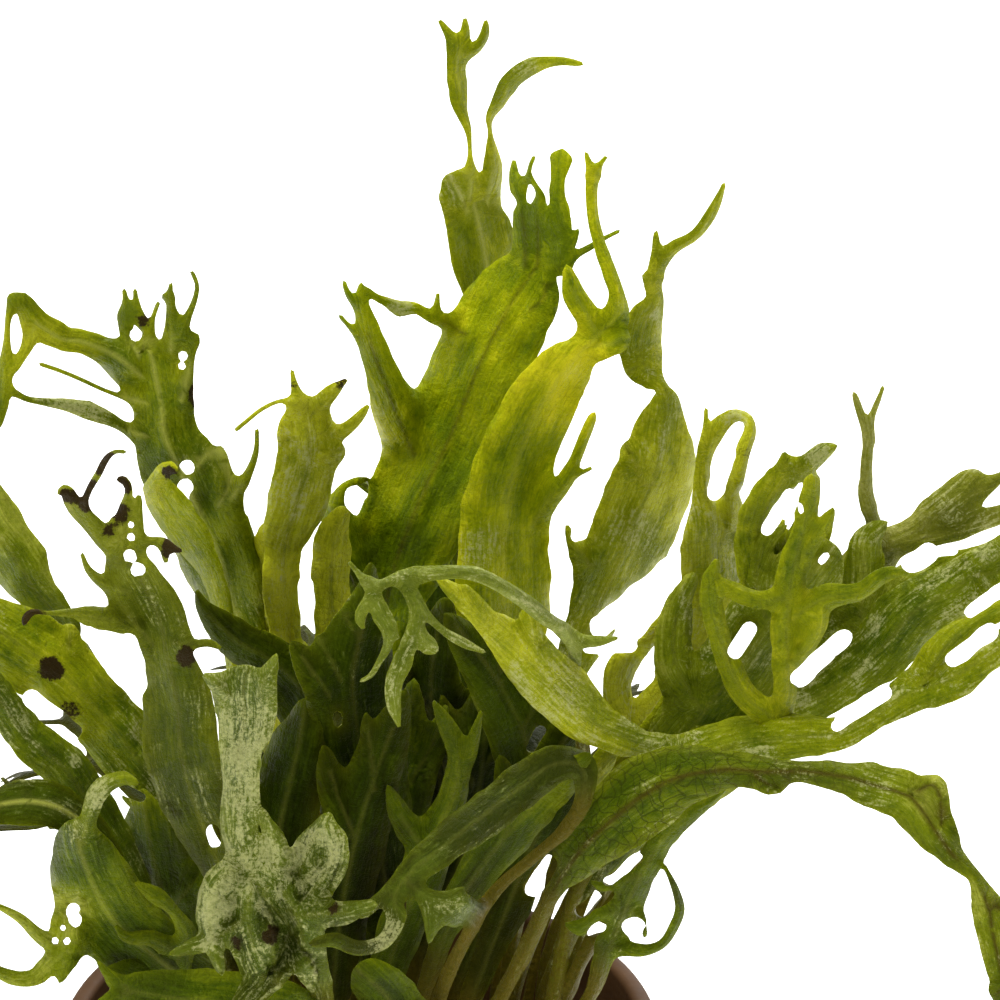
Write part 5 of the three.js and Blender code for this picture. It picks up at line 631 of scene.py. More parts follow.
def smoothNoise(x, y, seed):
    # soft random hills between -1 and 1, about one to each unit
    column, row = np.floor(x).astype(np.int64), np.floor(y).astype(np.int64)
    shareX, shareY = x - column, y - row
    shareX, shareY = shareX * shareX * (3 - 2 * shareX), shareY * shareY * (3 - 2 * shareY)

    def corner(right, down):
        mixed = (column + right) * 374761393 + (row + down) * 668265263 + seed * 974634777
        mixed = (mixed ^ (mixed >> 13)) * 1274126177
        return ((mixed ^ (mixed >> 16)) & 65535) / 32767.5 - 1

    low = corner(0, 0) * (1 - shareX) + corner(1, 0) * shareX
    high = corner(0, 1) * (1 - shareX) + corner(1, 1) * shareX
    return low * (1 - shareY) + high * shareY


def noiseAt(x, y, seed):
    return float(smoothNoise(np.array([x]), np.array([y]), seed)[0])


def softStep(value, low, high):
    share = np.clip((value - low) / (high - low), 0, 1)
    return share * share * (3 - 2 * share)


def smoothBranch(points):
    # a smooth run through the drawn points, as rows of across, down, depth and half width
    points = np.array(points, float)
    reach = np.linalg.norm(np.diff(points[:, :2], axis=0), axis=1)
    reach = np.maximum(reach, 1e-3)
    pace = np.diff(points, axis=0) / reach[:, None]
    slope = np.vstack([pace[:1], pace])
    for i in range(1, len(points) - 1):
        slope[i] = (reach[i] * pace[i - 1] + reach[i - 1] * pace[i]) / (reach[i] + reach[i - 1])
    runs = []
    for i, length in enumerate(reach):
        t = np.linspace(0, 1, max(2, math.ceil(length / leaf["branchStep"])), endpoint=False)[:, None]
        runs.append((2 * t ** 3 - 3 * t ** 2 + 1) * points[i] + (t ** 3 - 2 * t ** 2 + t) * length * slope[i]
                    + (3 * t ** 2 - 2 * t ** 3) * points[i + 1] + (t ** 3 - t ** 2) * length * slope[i + 1])
    branch = np.vstack(runs + [points[-1:]])
    steps = np.linalg.norm(np.diff(branch[:, :2], axis=0), axis=1)
    left = steps.sum() - np.concatenate([[0], np.cumsum(steps)])
    # the end is rounded off, so that a blunt lobe stops where it was drawn
    branch[:, 3] = np.minimum(np.maximum(branch[:, 3], leaf["narrowest"]),
                              np.maximum(left + leaf["blunt"] * points[-1, 3], leaf["narrowest"]))
    return branch


def spansOf(branches):
    # every straight span: across, down, depth and half width at its start, then at its end
    return np.vstack([np.hstack([branch[:-1], branch[1:]]) for branch in branches])


def nearestOn(x, y, runX, runY):
    # from a span's start: how far along it the nearest place lies, and the way from there to the point
    share = np.clip((x * runX + y * runY) / np.maximum(runX ** 2 + runY ** 2, 1e-9), 0, 1)
    return share, x - share * runX, y - share * runY


def bladeDepth(x, y, branches, tilt):
    # depth of the blade at a spot, from the nearest place on the branches laid so far
    spans = spansOf(branches)
    share, offX, offY = nearestOn(x - spans[:, 0], y - spans[:, 1], spans[:, 4] - spans[:, 0],
                                  spans[:, 5] - spans[:, 1])
    i = np.argmin(offX ** 2 + offY ** 2)
    return spans[i, 2] + share[i] * (spans[i, 6] - spans[i, 2]) + tilt[0] * offX[i] + tilt[1] * offY[i]


def branchFields(branch, columns, rows):
    # on the grid: distance to a branch's outline and to its middle
    outline = np.full((len(rows), len(columns)), leaf["far"])
    middle = np.full_like(outline, leaf["far"])
    for ax, ay, _, ra, bx, by, _, rb in spansOf([branch]):
        reach = max(ra, rb) + leaf["far"]
        left, right = np.searchsorted(columns, (min(ax, bx) - reach, max(ax, bx) + reach))
        top, bottom = np.searchsorted(rows, (min(ay, by) - reach, max(ay, by) + reach))
        x, y = columns[None, left:right] - ax, rows[top:bottom, None] - ay
        share, offX, offY = nearestOn(x, y, bx - ax, by - ay)
        away = np.hypot(offX, offY)
        window = (slice(top, bottom), slice(left, right))
        outline[window] = np.minimum(outline[window], away - ra - share * (rb - ra))
        middle[window] = np.minimum(middle[window], away)
    return outline, middle


def marginField(branches, holes, cuts, seed):
    # signed distance to the frond's outline on a grid, in mm, with inside below zero
    spots = np.vstack(branches)
    pad = spots[:, 3].max() + 2 * leaf["far"]
    columns, rows = (np.arange(side.min() - pad, side.max() + pad, leaf["gridStep"])
                     for side in spots[:, :2].T)
    whole = np.full((len(rows), len(columns)), leaf["far"])
    centre = whole.copy()
    for branch in branches:
        outline, middle = branchFields(branch, columns, rows)
        centre = np.minimum(centre, middle)
        share = np.clip(0.5 + 0.5 * (whole - outline) / leaf["crotch"], 0, 1)
        whole = whole + (outline - whole) * share - leaf["crotch"] * share * (1 - share)
    x, y = np.meshgrid(columns, rows)
    coarse, fine = leaf["raggedSizes"]
    ragged = smoothNoise(x / coarse, y / coarse, seed) + 0.5 * smoothNoise(x / fine, y / fine, seed + 1)
    whole = whole + leaf["raggedness"] * ragged * softStep(centre, leaf["raggedFrom"], leaf["raggedTo"])
    for holeX, holeY, radius in holes:
        uneven = 1 + leaf["holeRaggedness"] * smoothNoise(x / radius, y / radius, seed + 2)
        whole = np.maximum(whole, radius - np.hypot(x - holeX, y - holeY) * uneven)
    uneven = leaf["openingRaggedness"] * smoothNoise(x / leaf["openingSize"], y / leaf["openingSize"], 5)
    for startX, startY, endX, endY, radius in cuts:
        _, offX, offY = nearestOn(x - startX, y - startY, endX - startX + 1e-3, endY - startY)
        whole = np.maximum(whole, radius + uneven - np.hypot(offX, offY))
    return columns, rows, whole


# The edges that the outline enters and leaves a grid cell by, for each set of corners inside it.
# Corners count 1, 2, 4, 8 and edges 0, 1, 2, 3 round the cell from its first corner.
crossings = {
    1: ((0, 3),), 2: ((1, 0),), 3: ((1, 3),), 4: ((2, 1),), 5: ((0, 3), (2, 1)), 6: ((2, 0),),
    7: ((2, 3),), 8: ((3, 2),), 9: ((0, 2),), 10: ((1, 0), (3, 2)), 11: ((1, 2),), 12: ((3, 1),),
    13: ((0, 1),), 14: ((3, 0),),
}


def marginLoops(columns, rows, field):
    # closed outlines as arrays of points, evenly spaced, the holes turning the other way
    inside = field < 0
    high, wide = field.shape
    corners = (inside[:-1, :-1] + 2 * inside[:-1, 1:] + 4 * inside[1:, 1:] + 8 * inside[1:, :-1])
    upright = high * wide  # numbers from here on stand for the upright edges
    following = {}
    for corner, pairs in crossings.items():
        j, i = np.nonzero(corners == corner)
        edges = (j * wide + i, upright + j * wide + i + 1, (j + 1) * wide + i, upright + j * wide + i)
        for start, end in pairs:
            following.update(zip(edges[start].tolist(), edges[end].tolist()))
    loops = []
    while following:
        first, edge = following.popitem()
        chain = [first]
        while edge != first:
            chain.append(edge)
            edge = following.pop(edge)
        chain = np.array(chain)
        isUpright = chain >= upright
        j, i = np.divmod(np.where(isUpright, chain - upright, chain), wide)
        here = field[j, i]
        there = field[np.minimum(j + isUpright, high - 1), np.minimum(i + ~isUpright, wide - 1)]
        share = here / (here - there)
        x = columns[i] + np.where(isUpright, 0, share * leaf["gridStep"])
        y = rows[j] + np.where(isUpright, share * leaf["gridStep"], 0)
        nextX, nextY = np.roll(x, -1), np.roll(y, -1)
        area = 0.5 * np.sum(x * nextY - nextX * y)
        if abs(area) < leaf["smallestLoop"]:
            continue
        along = np.concatenate([[0], np.cumsum(np.hypot(nextX - x, nextY - y))])
        even = np.linspace(0, along[-1], max(int(along[-1] / leaf["marginStep"]), 6), endpoint=False)
        even = [np.interp(even, along, np.append(side, side[0])) for side in (x, y)]
        loops.append((area, np.stack(even, axis=1)))
    return loops


def valueAt(columns, rows, field, x, y):
    i = np.clip((x - columns[0]) / leaf["gridStep"], 0, len(columns) - 1.001)
    j = np.clip((y - rows[0]) / leaf["gridStep"], 0, len(rows) - 1.001)
    left, top = i.astype(int), j.astype(int)
    i, j = i - left, j - top
    return ((field[top, left] * (1 - i) + field[top, left + 1] * i) * (1 - j)
            + (field[top + 1, left] * (1 - i) + field[top + 1, left + 1] * i) * j)


def innerSpots(columns, rows, field, branches):
    # points inside the outline: rows along the middle of every branch, and an even spread between
    def deepOnes(spots, clearance):
        return spots[valueAt(columns, rows, field, spots[:, 0], spots[:, 1]) < -clearance]

    spots = []
    for branch in branches:
        steps = np.diff(branch[:, :2], axis=0)
        side = np.vstack([steps, steps[-1:]])
        side = np.stack([-side[:, 1], side[:, 0]], axis=1)
        side /= np.maximum(np.linalg.norm(side, axis=1), 1e-6)[:, None]
        for share in (0, -leaf["besideRib"], leaf["besideRib"]):
            spots.append(branch[:, :2] + side * share * np.minimum(branch[:, 3:4], leaf["rowReach"]))
    step = leaf["innerStep"]
    x, y = np.meshgrid(np.arange(columns[0], columns[-1], step), np.arange(rows[0], rows[-1], step * 0.87))
    x[1::2] += step / 2
    spread = deepOnes(np.stack([x.ravel(), y.ravel()], axis=1), leaf["spreadClearance"])
    spots = deepOnes(np.vstack(spots), leaf["rowClearance"])
    taken = {}
    kept = []
    for spot in np.vstack([spots, spread]).tolist():
        column, row = (math.floor(value / leaf["pointCell"]) for value in spot)
        around = (taken.get((column + i, row + j)) for i in (-1, 0, 1) for j in (-1, 0, 1))
        if any(other and math.dist(other, spot) < leaf["pointGap"] for other in around):
            continue
        taken[column, row] = spot
        kept.append(spot)
    return kept


def flatSheet(columns, rows, field, branches):
    # the outline and what lies inside it, as points and triangles
    loops = marginLoops(columns, rows, field)
    outer = 1 if max(loops, key=lambda loop: abs(loop[0]))[0] > 0 else -1
    points, faces = [], []
    for area, loop in loops:
        faces.append(list(range(len(points), len(points) + len(loop))))
        points.extend(loop.tolist() if area > 0 else loop[::-1].tolist())
    isHole = [area * outer < 0 for area, _ in loops]
    points.extend(innerSpots(columns, rows, field, branches))
    flat, _, triangles, _, _, origins = delaunay_2d_cdt([Vector(p) for p in points], [], faces, 1, 1e-5)
    kept = [triangle for triangle, origin in zip(triangles, origins)
            if origin and not any(isHole[face] for face in origin)]
    used, kept = np.unique(np.array(kept), return_inverse=True)
    return np.array([tuple(p) for p in flat])[used], kept.reshape(-1, 3)


def bladeValues(x, y, branches, ribs):
    # for each point, blended over the branches near it: depth without relief, the way from the nearest
    # middle line, half width, rib, and place along and beside the branch
    spans = spansOf(branches)
    runX, runY = spans[:, 4] - spans[:, 0], spans[:, 5] - spans[:, 1]
    share, offX, offY = nearestOn(x[:, None] - spans[:, 0], y[:, None] - spans[:, 1], runX, runY)
    away = np.hypot(offX, offY)
    half = spans[:, 3] + share * (spans[:, 7] - spans[:, 3])
    lengths = np.hypot(runX, runY)
    reached = np.concatenate([np.cumsum(np.hypot(*np.diff(branch[:, :2], axis=0).T)) for branch in branches])
    nearness = away - half
    weight = np.exp(-(nearness - nearness.min(axis=1)[:, None]) / leaf["blend"])
    weight /= weight.sum(axis=1)[:, None]
    parts = {
        "depth": spans[:, 2] + share * (spans[:, 6] - spans[:, 2]), "offX": offX, "offY": offY, "half": half,
        "rib": np.concatenate(ribs), "along": reached - lengths * (1 - share),
        "beside": (offY * runX - offX * runY) / np.maximum(lengths, 1e-6),
    }
    values = {label: (weight * part).sum(axis=1) for label, part in parts.items()}
    return {**values, "centre": away.min(axis=1)}


def closedLeaf(front, back, triangles):
    # two sheets of the same triangles, joined round every edge
    count = len(front)
    edges = np.vstack([triangles[:, [0, 1]], triangles[:, [1, 2]], triangles[:, [2, 0]]])
    edges = edges.astype(np.int64)
    rim = edges[~np.isin(edges[:, 0] * count + edges[:, 1], edges[:, 1] * count + edges[:, 0])]
    sides = np.stack([rim[:, 1], rim[:, 0], rim[:, 0] + count, rim[:, 1] + count], axis=1)
    faces = triangles.tolist() + (triangles[:, ::-1] + count).tolist() + sides.tolist()
    return np.vstack([front, back]), faces


def ribsOf(branches):
    # the rib's radius along each branch: thick on the midrib, thin on the lobes
    look = leafLook
    ribs = []
    for number, branch in enumerate(branches):
        along = np.linspace(0, 1, len(branch) - 1)
        if number == 0:
            ribs.append(look["ribFoot"] + (look["ribTip"] - look["ribFoot"]) * along ** 0.6)
        else:
            ribs.append(look["lobeRib"] - look["lobeRibFall"] * along)
    return ribs


def bladeRelief(x, y, values, margin, seed):
    # how far the blade rises and falls at each point
    look = leafLook

    def waves(label, offset):
        size = look["waveSizes"][label]
        return smoothNoise(x / size, y / size, seed + offset)

    creaseLong, creaseWide = look["waveSizes"]["crease"]
    crease = smoothNoise(values["along"] / creaseLong, values["beside"] / creaseWide, seed + 10)
    fold = np.minimum(np.sqrt(values["centre"] ** 2 + 0.16), 4)
    return softStep(values["half"], 0.5, 2.4) * (
        look["roll"] * waves("roll", 3) + look["lumps"] * waves("lumps", 4) + look["crease"] * np.abs(crease)
        + look["ruffle"] * margin * waves("ruffle", 5) + look["fold"] * fold)


def makeLeafMesh(name, kind, branches, holes, cuts, place, towards, seed):
    # place turns board or outline coordinates into mm; towards gives the way the front faces
    columns, rows, field = marginField(branches, holes, cuts, seed)
    flat, triangles = flatSheet(columns, rows, field, branches)
    x, y = flat[:, 0], flat[:, 1]
    values = bladeValues(x, y, branches, ribsOf(branches))
    inside = np.maximum(-valueAt(columns, rows, field, x, y), 0)
    margin = np.exp(-inside / leaf["marginWidth"])
    spots = place(x, y, values, bladeRelief(x, y, values, margin, seed))
    corners = spots[triangles]
    cross = np.cross(corners[:, 1] - corners[:, 0], corners[:, 2] - corners[:, 0])
    if np.sum(cross * towards(corners.mean(axis=1))) < 0:
        triangles = triangles[:, ::-1]
        cross = -cross
    normals = np.zeros_like(spots)
    for corner in range(3):
        np.add.at(normals, triangles[:, corner], cross)
    normals /= np.maximum(np.linalg.norm(normals, axis=1), 1e-12)[:, None]
    rib = np.minimum(values["rib"], 0.95 * values["half"])
    ridge = np.sqrt(np.maximum(rib ** 2 - values["centre"] ** 2, 0))
    blade = leaf["rimThickness"] + leaf["bladeThickness"] * softStep(inside, 0, leaf["bladeEdge"])
    isStalk = 1 - softStep(values["half"], 0.75, 1.3)
    front = spots + normals * np.hypot(blade, ridge * (0.55 + 0.45 * isStalk))[:, None]
    back = spots - normals * np.hypot(blade, ridge)[:, None]
    vertices, faces = closedLeaf(front, back, triangles)

    mesh = bpy.data.meshes.new(f"{name}_frond")
    mesh.from_pydata((vertices * mm).tolist(), [], faces)
    shadeSmooth(mesh)
    ends = np.empty(len(mesh.loops), int)
    mesh.loops.foreach_get("vertex_index", ends)
    ends %= len(x)
    for label, pair in (("blade", (x, y)), ("run", (values["along"], values["beside"]))):
        uv = np.stack([part[ends] for part in pair], axis=1)
        mesh.uv_layers.new(name=label).data.foreach_set("uv", uv.ravel() / 10)
    paintLeaf(mesh, name, kind, x, y, spots, values, margin, isStalk, seed)
    mesh.update()
    return mesh


# Finishes of the fronds: four greens from shade to light, then the lines, sheen and spots
leafColours = {
    "bright": ((38, 54, 0), (88, 106, 0), (142, 150, 2), (196, 190, 24)),
    "fresh": ((30, 46, 0), (74, 92, 0), (126, 134, 4), (182, 182, 34)),
    "green": ((22, 34, 0), (56, 74, 0), (102, 114, 6), (162, 166, 60)),
    # deep, the darkest green, goes on the inner and back fronds: partly their own colour, partly painted
    # shade
    "deep": ((12, 19, 0), (32, 46, 0), (62, 78, 4), (112, 120, 44)),
    "pale": ((30, 42, 2), (66, 82, 12), (104, 116, 34), (150, 158, 84)),
    "bronze": ((26, 32, 2), (62, 74, 4), (102, 110, 16), (150, 150, 60)),
    "olive": ((28, 36, 1), (64, 74, 6), (106, 110, 26), (160, 158, 88)),
}
leafFinish = {
    "stops": (0.05, 0.36, 0.68, 1.0),   # where the four greens lie from shade to light
    "netColour": (28, 36, 2),
    "stalkColour": (84, 72, 16),
    "paleLine": (160, 162, 70),
    "darkLine": (58, 46, 8),
    # the sheen colour is a painted highlight, partly the blade's silvery mottling
    "sheen": (162, 163, 108), "sheenFloor": -1.6,
    "paintedSheenRange": (0.28, 0.86, 0.0, 0.78),   # where the painted sheen starts and is full, and how strong it gets
    "spot": (34, 20, 8),
    "edge": (104, 98, 16),
    "roughness": 0.4, "gloss": 0.16, "deepGloss": 0.05, "tint": (0.75, 0.8, 0.16, 1),
    "glow": 0.2,                        # share of light that passes through the blade
    "glowRadius": (0.9, 1.0, 0.25), "glowDepth": 0.0007,
    "relief": 0.00025, "reliefStrength": 0.55,
}
# textures on the blade: scale (each 10 mm), detail, roughness
leafTextures = {
    "fibres": (4.5, 3, 0.65), "cloud": (3.1, 4, 0.6), "grain": (26, 3, 0.65), "fine": (90, 1, 0.6),
    "folds": (11, 2, 0.6), "warp": (3.1, 1, 0.6),
    "fibreMap": (1, 7, 1),              # fibres are seven times as long as wide
    "net": 8.5, "netWarp": (0.3, 0.3, 0),
}
# how much of each texture goes into the shade, the sheen's edge and the relief
shadeShares = {"cloud": 0.34, "grain": 0.24, "fibres": 0.5}
sheenShares = {"grain": 0.9, "cloud": 0.7, "wrinkles": -0.4, "fibres": 1.6}
reliefShares = {"cells": 1.6, "grain": 1.2, "fine": 0.25, "wrinkles": -0.5, "fibres": 1.5}


def addNode(tree, kind, inputs=(), **settings):
    node = tree.nodes.new(kind)
    for label, value in settings.items():
        setattr(node, label, value)
    setInputs(tree, node, dict(inputs))
    return node


def outputOf(tree, kind, inputs=(), **settings):
    # the first output of a new node
    return addNode(tree, kind, inputs, **settings).outputs[0]


def mathStep(tree, operation, *values, clamped=False):
    return outputOf(tree, "ShaderNodeMath", enumerate(values), operation=operation, use_clamp=clamped)


def summed(tree, start, textures, shares):
    # start plus each texture times its share
    for name, share in shares.items():
        start = mathStep(tree, "MULTIPLY_ADD", textures[name], share, start)
    return start


def layColour(tree, share, below, colour):
    return addNode(tree, "ShaderNodeMix", {0: share, 6: below, 7: linearColour(*colour)},
                   data_type="RGBA").outputs[2]


def rangeStep(tree, value, low, high, toLow=0.0, toHigh=1.0):
    return outputOf(tree, "ShaderNodeMapRange", enumerate((value, low, high, toLow, toHigh)),
                    interpolation_type="SMOOTHSTEP")


def noiseStep(tree, vector, look, dimensions="3D"):
    scale, detail, roughness = look
    return addNode(tree, "ShaderNodeTexNoise",
                   {"Vector": vector, "Scale": scale, "Detail": detail, "Roughness": roughness},
                   noise_dimensions=dimensions).outputs


def rampStep(tree, value, stops, colours):
    node = addNode(tree, "ShaderNodeValToRGB", {0: value})
    ramp = node.color_ramp
    while len(ramp.elements) < len(stops):
        ramp.elements.new(0.5)
    for element, stop, colour in zip(ramp.elements, stops, colours):
        element.position = stop
        element.color = linearColour(*colour)
    return node.outputs[0]


def bumpStep(tree, height, look):
    return outputOf(tree, "ShaderNodeBump",
                     {"Strength": look["reliefStrength"], "Distance": look["relief"], "Height": height})


def mapStep(tree, name, scale=(1, 1, 1)):
    # one of the blade's maps, in centimetres: across and down the board, or along the rib and beside it
    source = outputOf(tree, "ShaderNodeUVMap", uv_map=name)
    return outputOf(tree, "ShaderNodeMapping", {"Vector": source, "Scale": scale})


def channelsOf(tree, name):
    attribute = addNode(tree, "ShaderNodeAttribute", attribute_name=name)
    return addNode(tree, "ShaderNodeSeparateColor", {0: attribute.outputs["Color"]}).outputs


def leafTextureSteps(tree):
    look = leafTextures
    blade = mapStep(tree, "blade")
    plain = ("cloud", "grain", "fine", "folds")
    textures = {name: noiseStep(tree, blade, look[name], "2D")[0] for name in plain}
    textures["fibres"] = noiseStep(tree, mapStep(tree, "run", look["fibreMap"]), look["fibres"], "2D")[0]
    warp = noiseStep(tree, blade, look["warp"], "2D")[1]
    place = outputOf(tree, "ShaderNodeVectorMath", {0: warp, 1: look["netWarp"], 2: blade},
                     operation="MULTIPLY_ADD")
    textures["cells"] = addNode(tree, "ShaderNodeTexVoronoi", {"Vector": place, "Scale": look["net"]},
                                voronoi_dimensions="2D", feature="DISTANCE_TO_EDGE").outputs["Distance"]
    # wrinkles lie where the noise crosses its middle
    crossing = mathStep(tree, "ABSOLUTE", mathStep(tree, "ADD", textures["folds"], -0.5))
    textures["wrinkles"] = rangeStep(tree, crossing, 0.0, 0.04, 1.0, 0.0)
    return textures


def makeLeafMaterial(kind, shades):
    material, tree, shader = newMaterial(f"{kind}_frond_blade")
    finish = leafFinish
    light, sheen, spot = channelsOf(tree, "tone")
    margin, stalk, paleRib = channelsOf(tree, "form")
    darkRib, veined, worn = channelsOf(tree, "line")
    textures = leafTextureSteps(tree)
    grain, fine = textures["grain"], textures["fine"]
    onBlade = mathStep(tree, "SUBTRACT", 1.0, stalk, clamped=True)

    light = mathStep(tree, "ADD", light, -sum(shadeShares.values()) / 2)
    colour = rampStep(tree, summed(tree, light, textures, shadeShares), finish["stops"], shades)
    net = mathStep(tree, "MULTIPLY", rangeStep(tree, textures["cells"], 0.0, 0.1, 1.0, 0.0), onBlade)
    net = mathStep(tree, "MULTIPLY", net, mathStep(tree, "ADD", veined, 0.02))
    colour = layColour(tree, net, colour, finish["netColour"])
    colour = layColour(tree, mathStep(tree, "MULTIPLY", margin, worn), colour, finish["edge"])
    stalk = mathStep(tree, "MULTIPLY", stalk, rangeStep(tree, grain, 0.2, 0.7, 0.55, 0.95))
    colour = layColour(tree, stalk, colour, finish["stalkColour"])
    colour = layColour(tree, paleRib, colour, finish["paleLine"])
    colour = layColour(tree, darkRib, colour, finish["darkLine"])

    # the sheen is a painted highlight, partly the blade's silvery mottling, laid as a thin crackled film; the
    # spots have ragged edges
    paintedSheen = summed(tree, mathStep(tree, "ADD", sheen, finish["sheenFloor"]), textures, sheenShares)
    paintedSheen = rangeStep(tree, paintedSheen, *finish["paintedSheenRange"])
    paintedSheen = mathStep(tree, "MULTIPLY", paintedSheen, rangeStep(tree, sheen, 0.02, 0.3))
    paintedSheen = mathStep(tree, "MULTIPLY", paintedSheen, rangeStep(tree, grain, 0.3, 0.62, 0.5, 1.0))
    colour = layColour(tree, paintedSheen, colour, finish["sheen"])
    ragged = summed(tree, mathStep(tree, "ADD", spot, -0.35), textures, {"grain": 0.7})
    blot = mathStep(tree, "MULTIPLY", rangeStep(tree, ragged, 0.35, 0.6), rangeStep(tree, spot, 0.02, 0.2))
    colour = layColour(tree, blot, colour, finish["spot"])
    flecks = mathStep(tree, "MULTIPLY", rangeStep(tree, fine, 0.62, 0.74, 0.0, 0.28), onBlade)
    colour = layColour(tree, flecks, colour, finish["netColour"])

    dull = mathStep(tree, "MULTIPLY_ADD", grain, 0.22, finish["roughness"] - 0.11)
    setInputs(tree, shader, {
        "Base Color": colour, "Roughness": mathStep(tree, "MULTIPLY_ADD", blot, 0.2, dull),
        "Normal": bumpStep(tree, summed(tree, 0.0, textures, reliefShares), finish),
        "Subsurface Weight": finish["glow"], "Subsurface Radius": finish["glowRadius"],
        "Subsurface Scale": finish["glowDepth"], "Specular Tint": finish["tint"],
        "Specular IOR Level": finish["deepGloss" if kind == "deep" else "gloss"],
    })
    return material


# fronds whose finish differs from the one that their kind has
ownFinish = {"olive": "fresh", "inner_left": "green", "bib": "fresh", "holed": "fresh", "spotted": "fresh",
             "veined": "green"}
# how much lighter or darker than its kind a frond is
leafTone = {
    "big": -0.2, "fan": 0.03, "stag": -0.16, "fork": 0.24, "broad": 0.16, "arch": 0.3, "hook": -0.1,
    "high_right": 0.04, "holed": -0.12, "bib": -0.2, "curl": -0.34, "spotted": -0.02, "lattice": -0.08,
    "veined": 0, "strap": -0.1, "far_left": 0.04, "young_10": -0.04, "young_8": 0.12, "feather": 0.08,
    "young_11": 0.42, "young_12": 0.3, "skirt": 0.14, "tall": 0.06, "olive": -0.04, "heart": 0.08,
    "old": 0.08, "young_9": 0.12, "sweep": 0.06, "inner_left": -0.05,
}
# how light each kind of frond is, and how it waves
leafLook = {
    "light": {"bright": 0.66, "fresh": 0.56, "green": 0.5, "deep": 0.4, "pale": 0.55, "bronze": 0.42,
              "olive": 0.5},
    "roll": 0.9, "lumps": 0.26, "crease": 0.7, "ruffle": 0.9, "fold": 0.22,    # mm of rise and fall
    "waveSizes": {"roll": 7.5, "lumps": 2.4, "ruffle": 3.4, "crease": (4.5, 1.3)},   # mm
    "clouds": ((8, 0.14), (2.5, 0.07)),                   # size in mm and strength of light and shade
    "streaks": 0.16, "streakSize": (7, 0.75), "marginLight": 0.08,
    "glintSize": (3.6, 0.8), "glintClouds": (5, 0.6),
    "ribFoot": 0.6, "ribTip": 0.2, "lobeRib": 0.2, "lobeRibFall": 0.14,   # mm, the ribs' radius
    # painted shade: shadeDepth darkens the fronds' tone from shadeTop down to shadeBottom, in mm of height
    "shadeTop": 98, "shadeBottom": 50, "shadeDepth": 0.42,   # fronds darken towards the pot
}
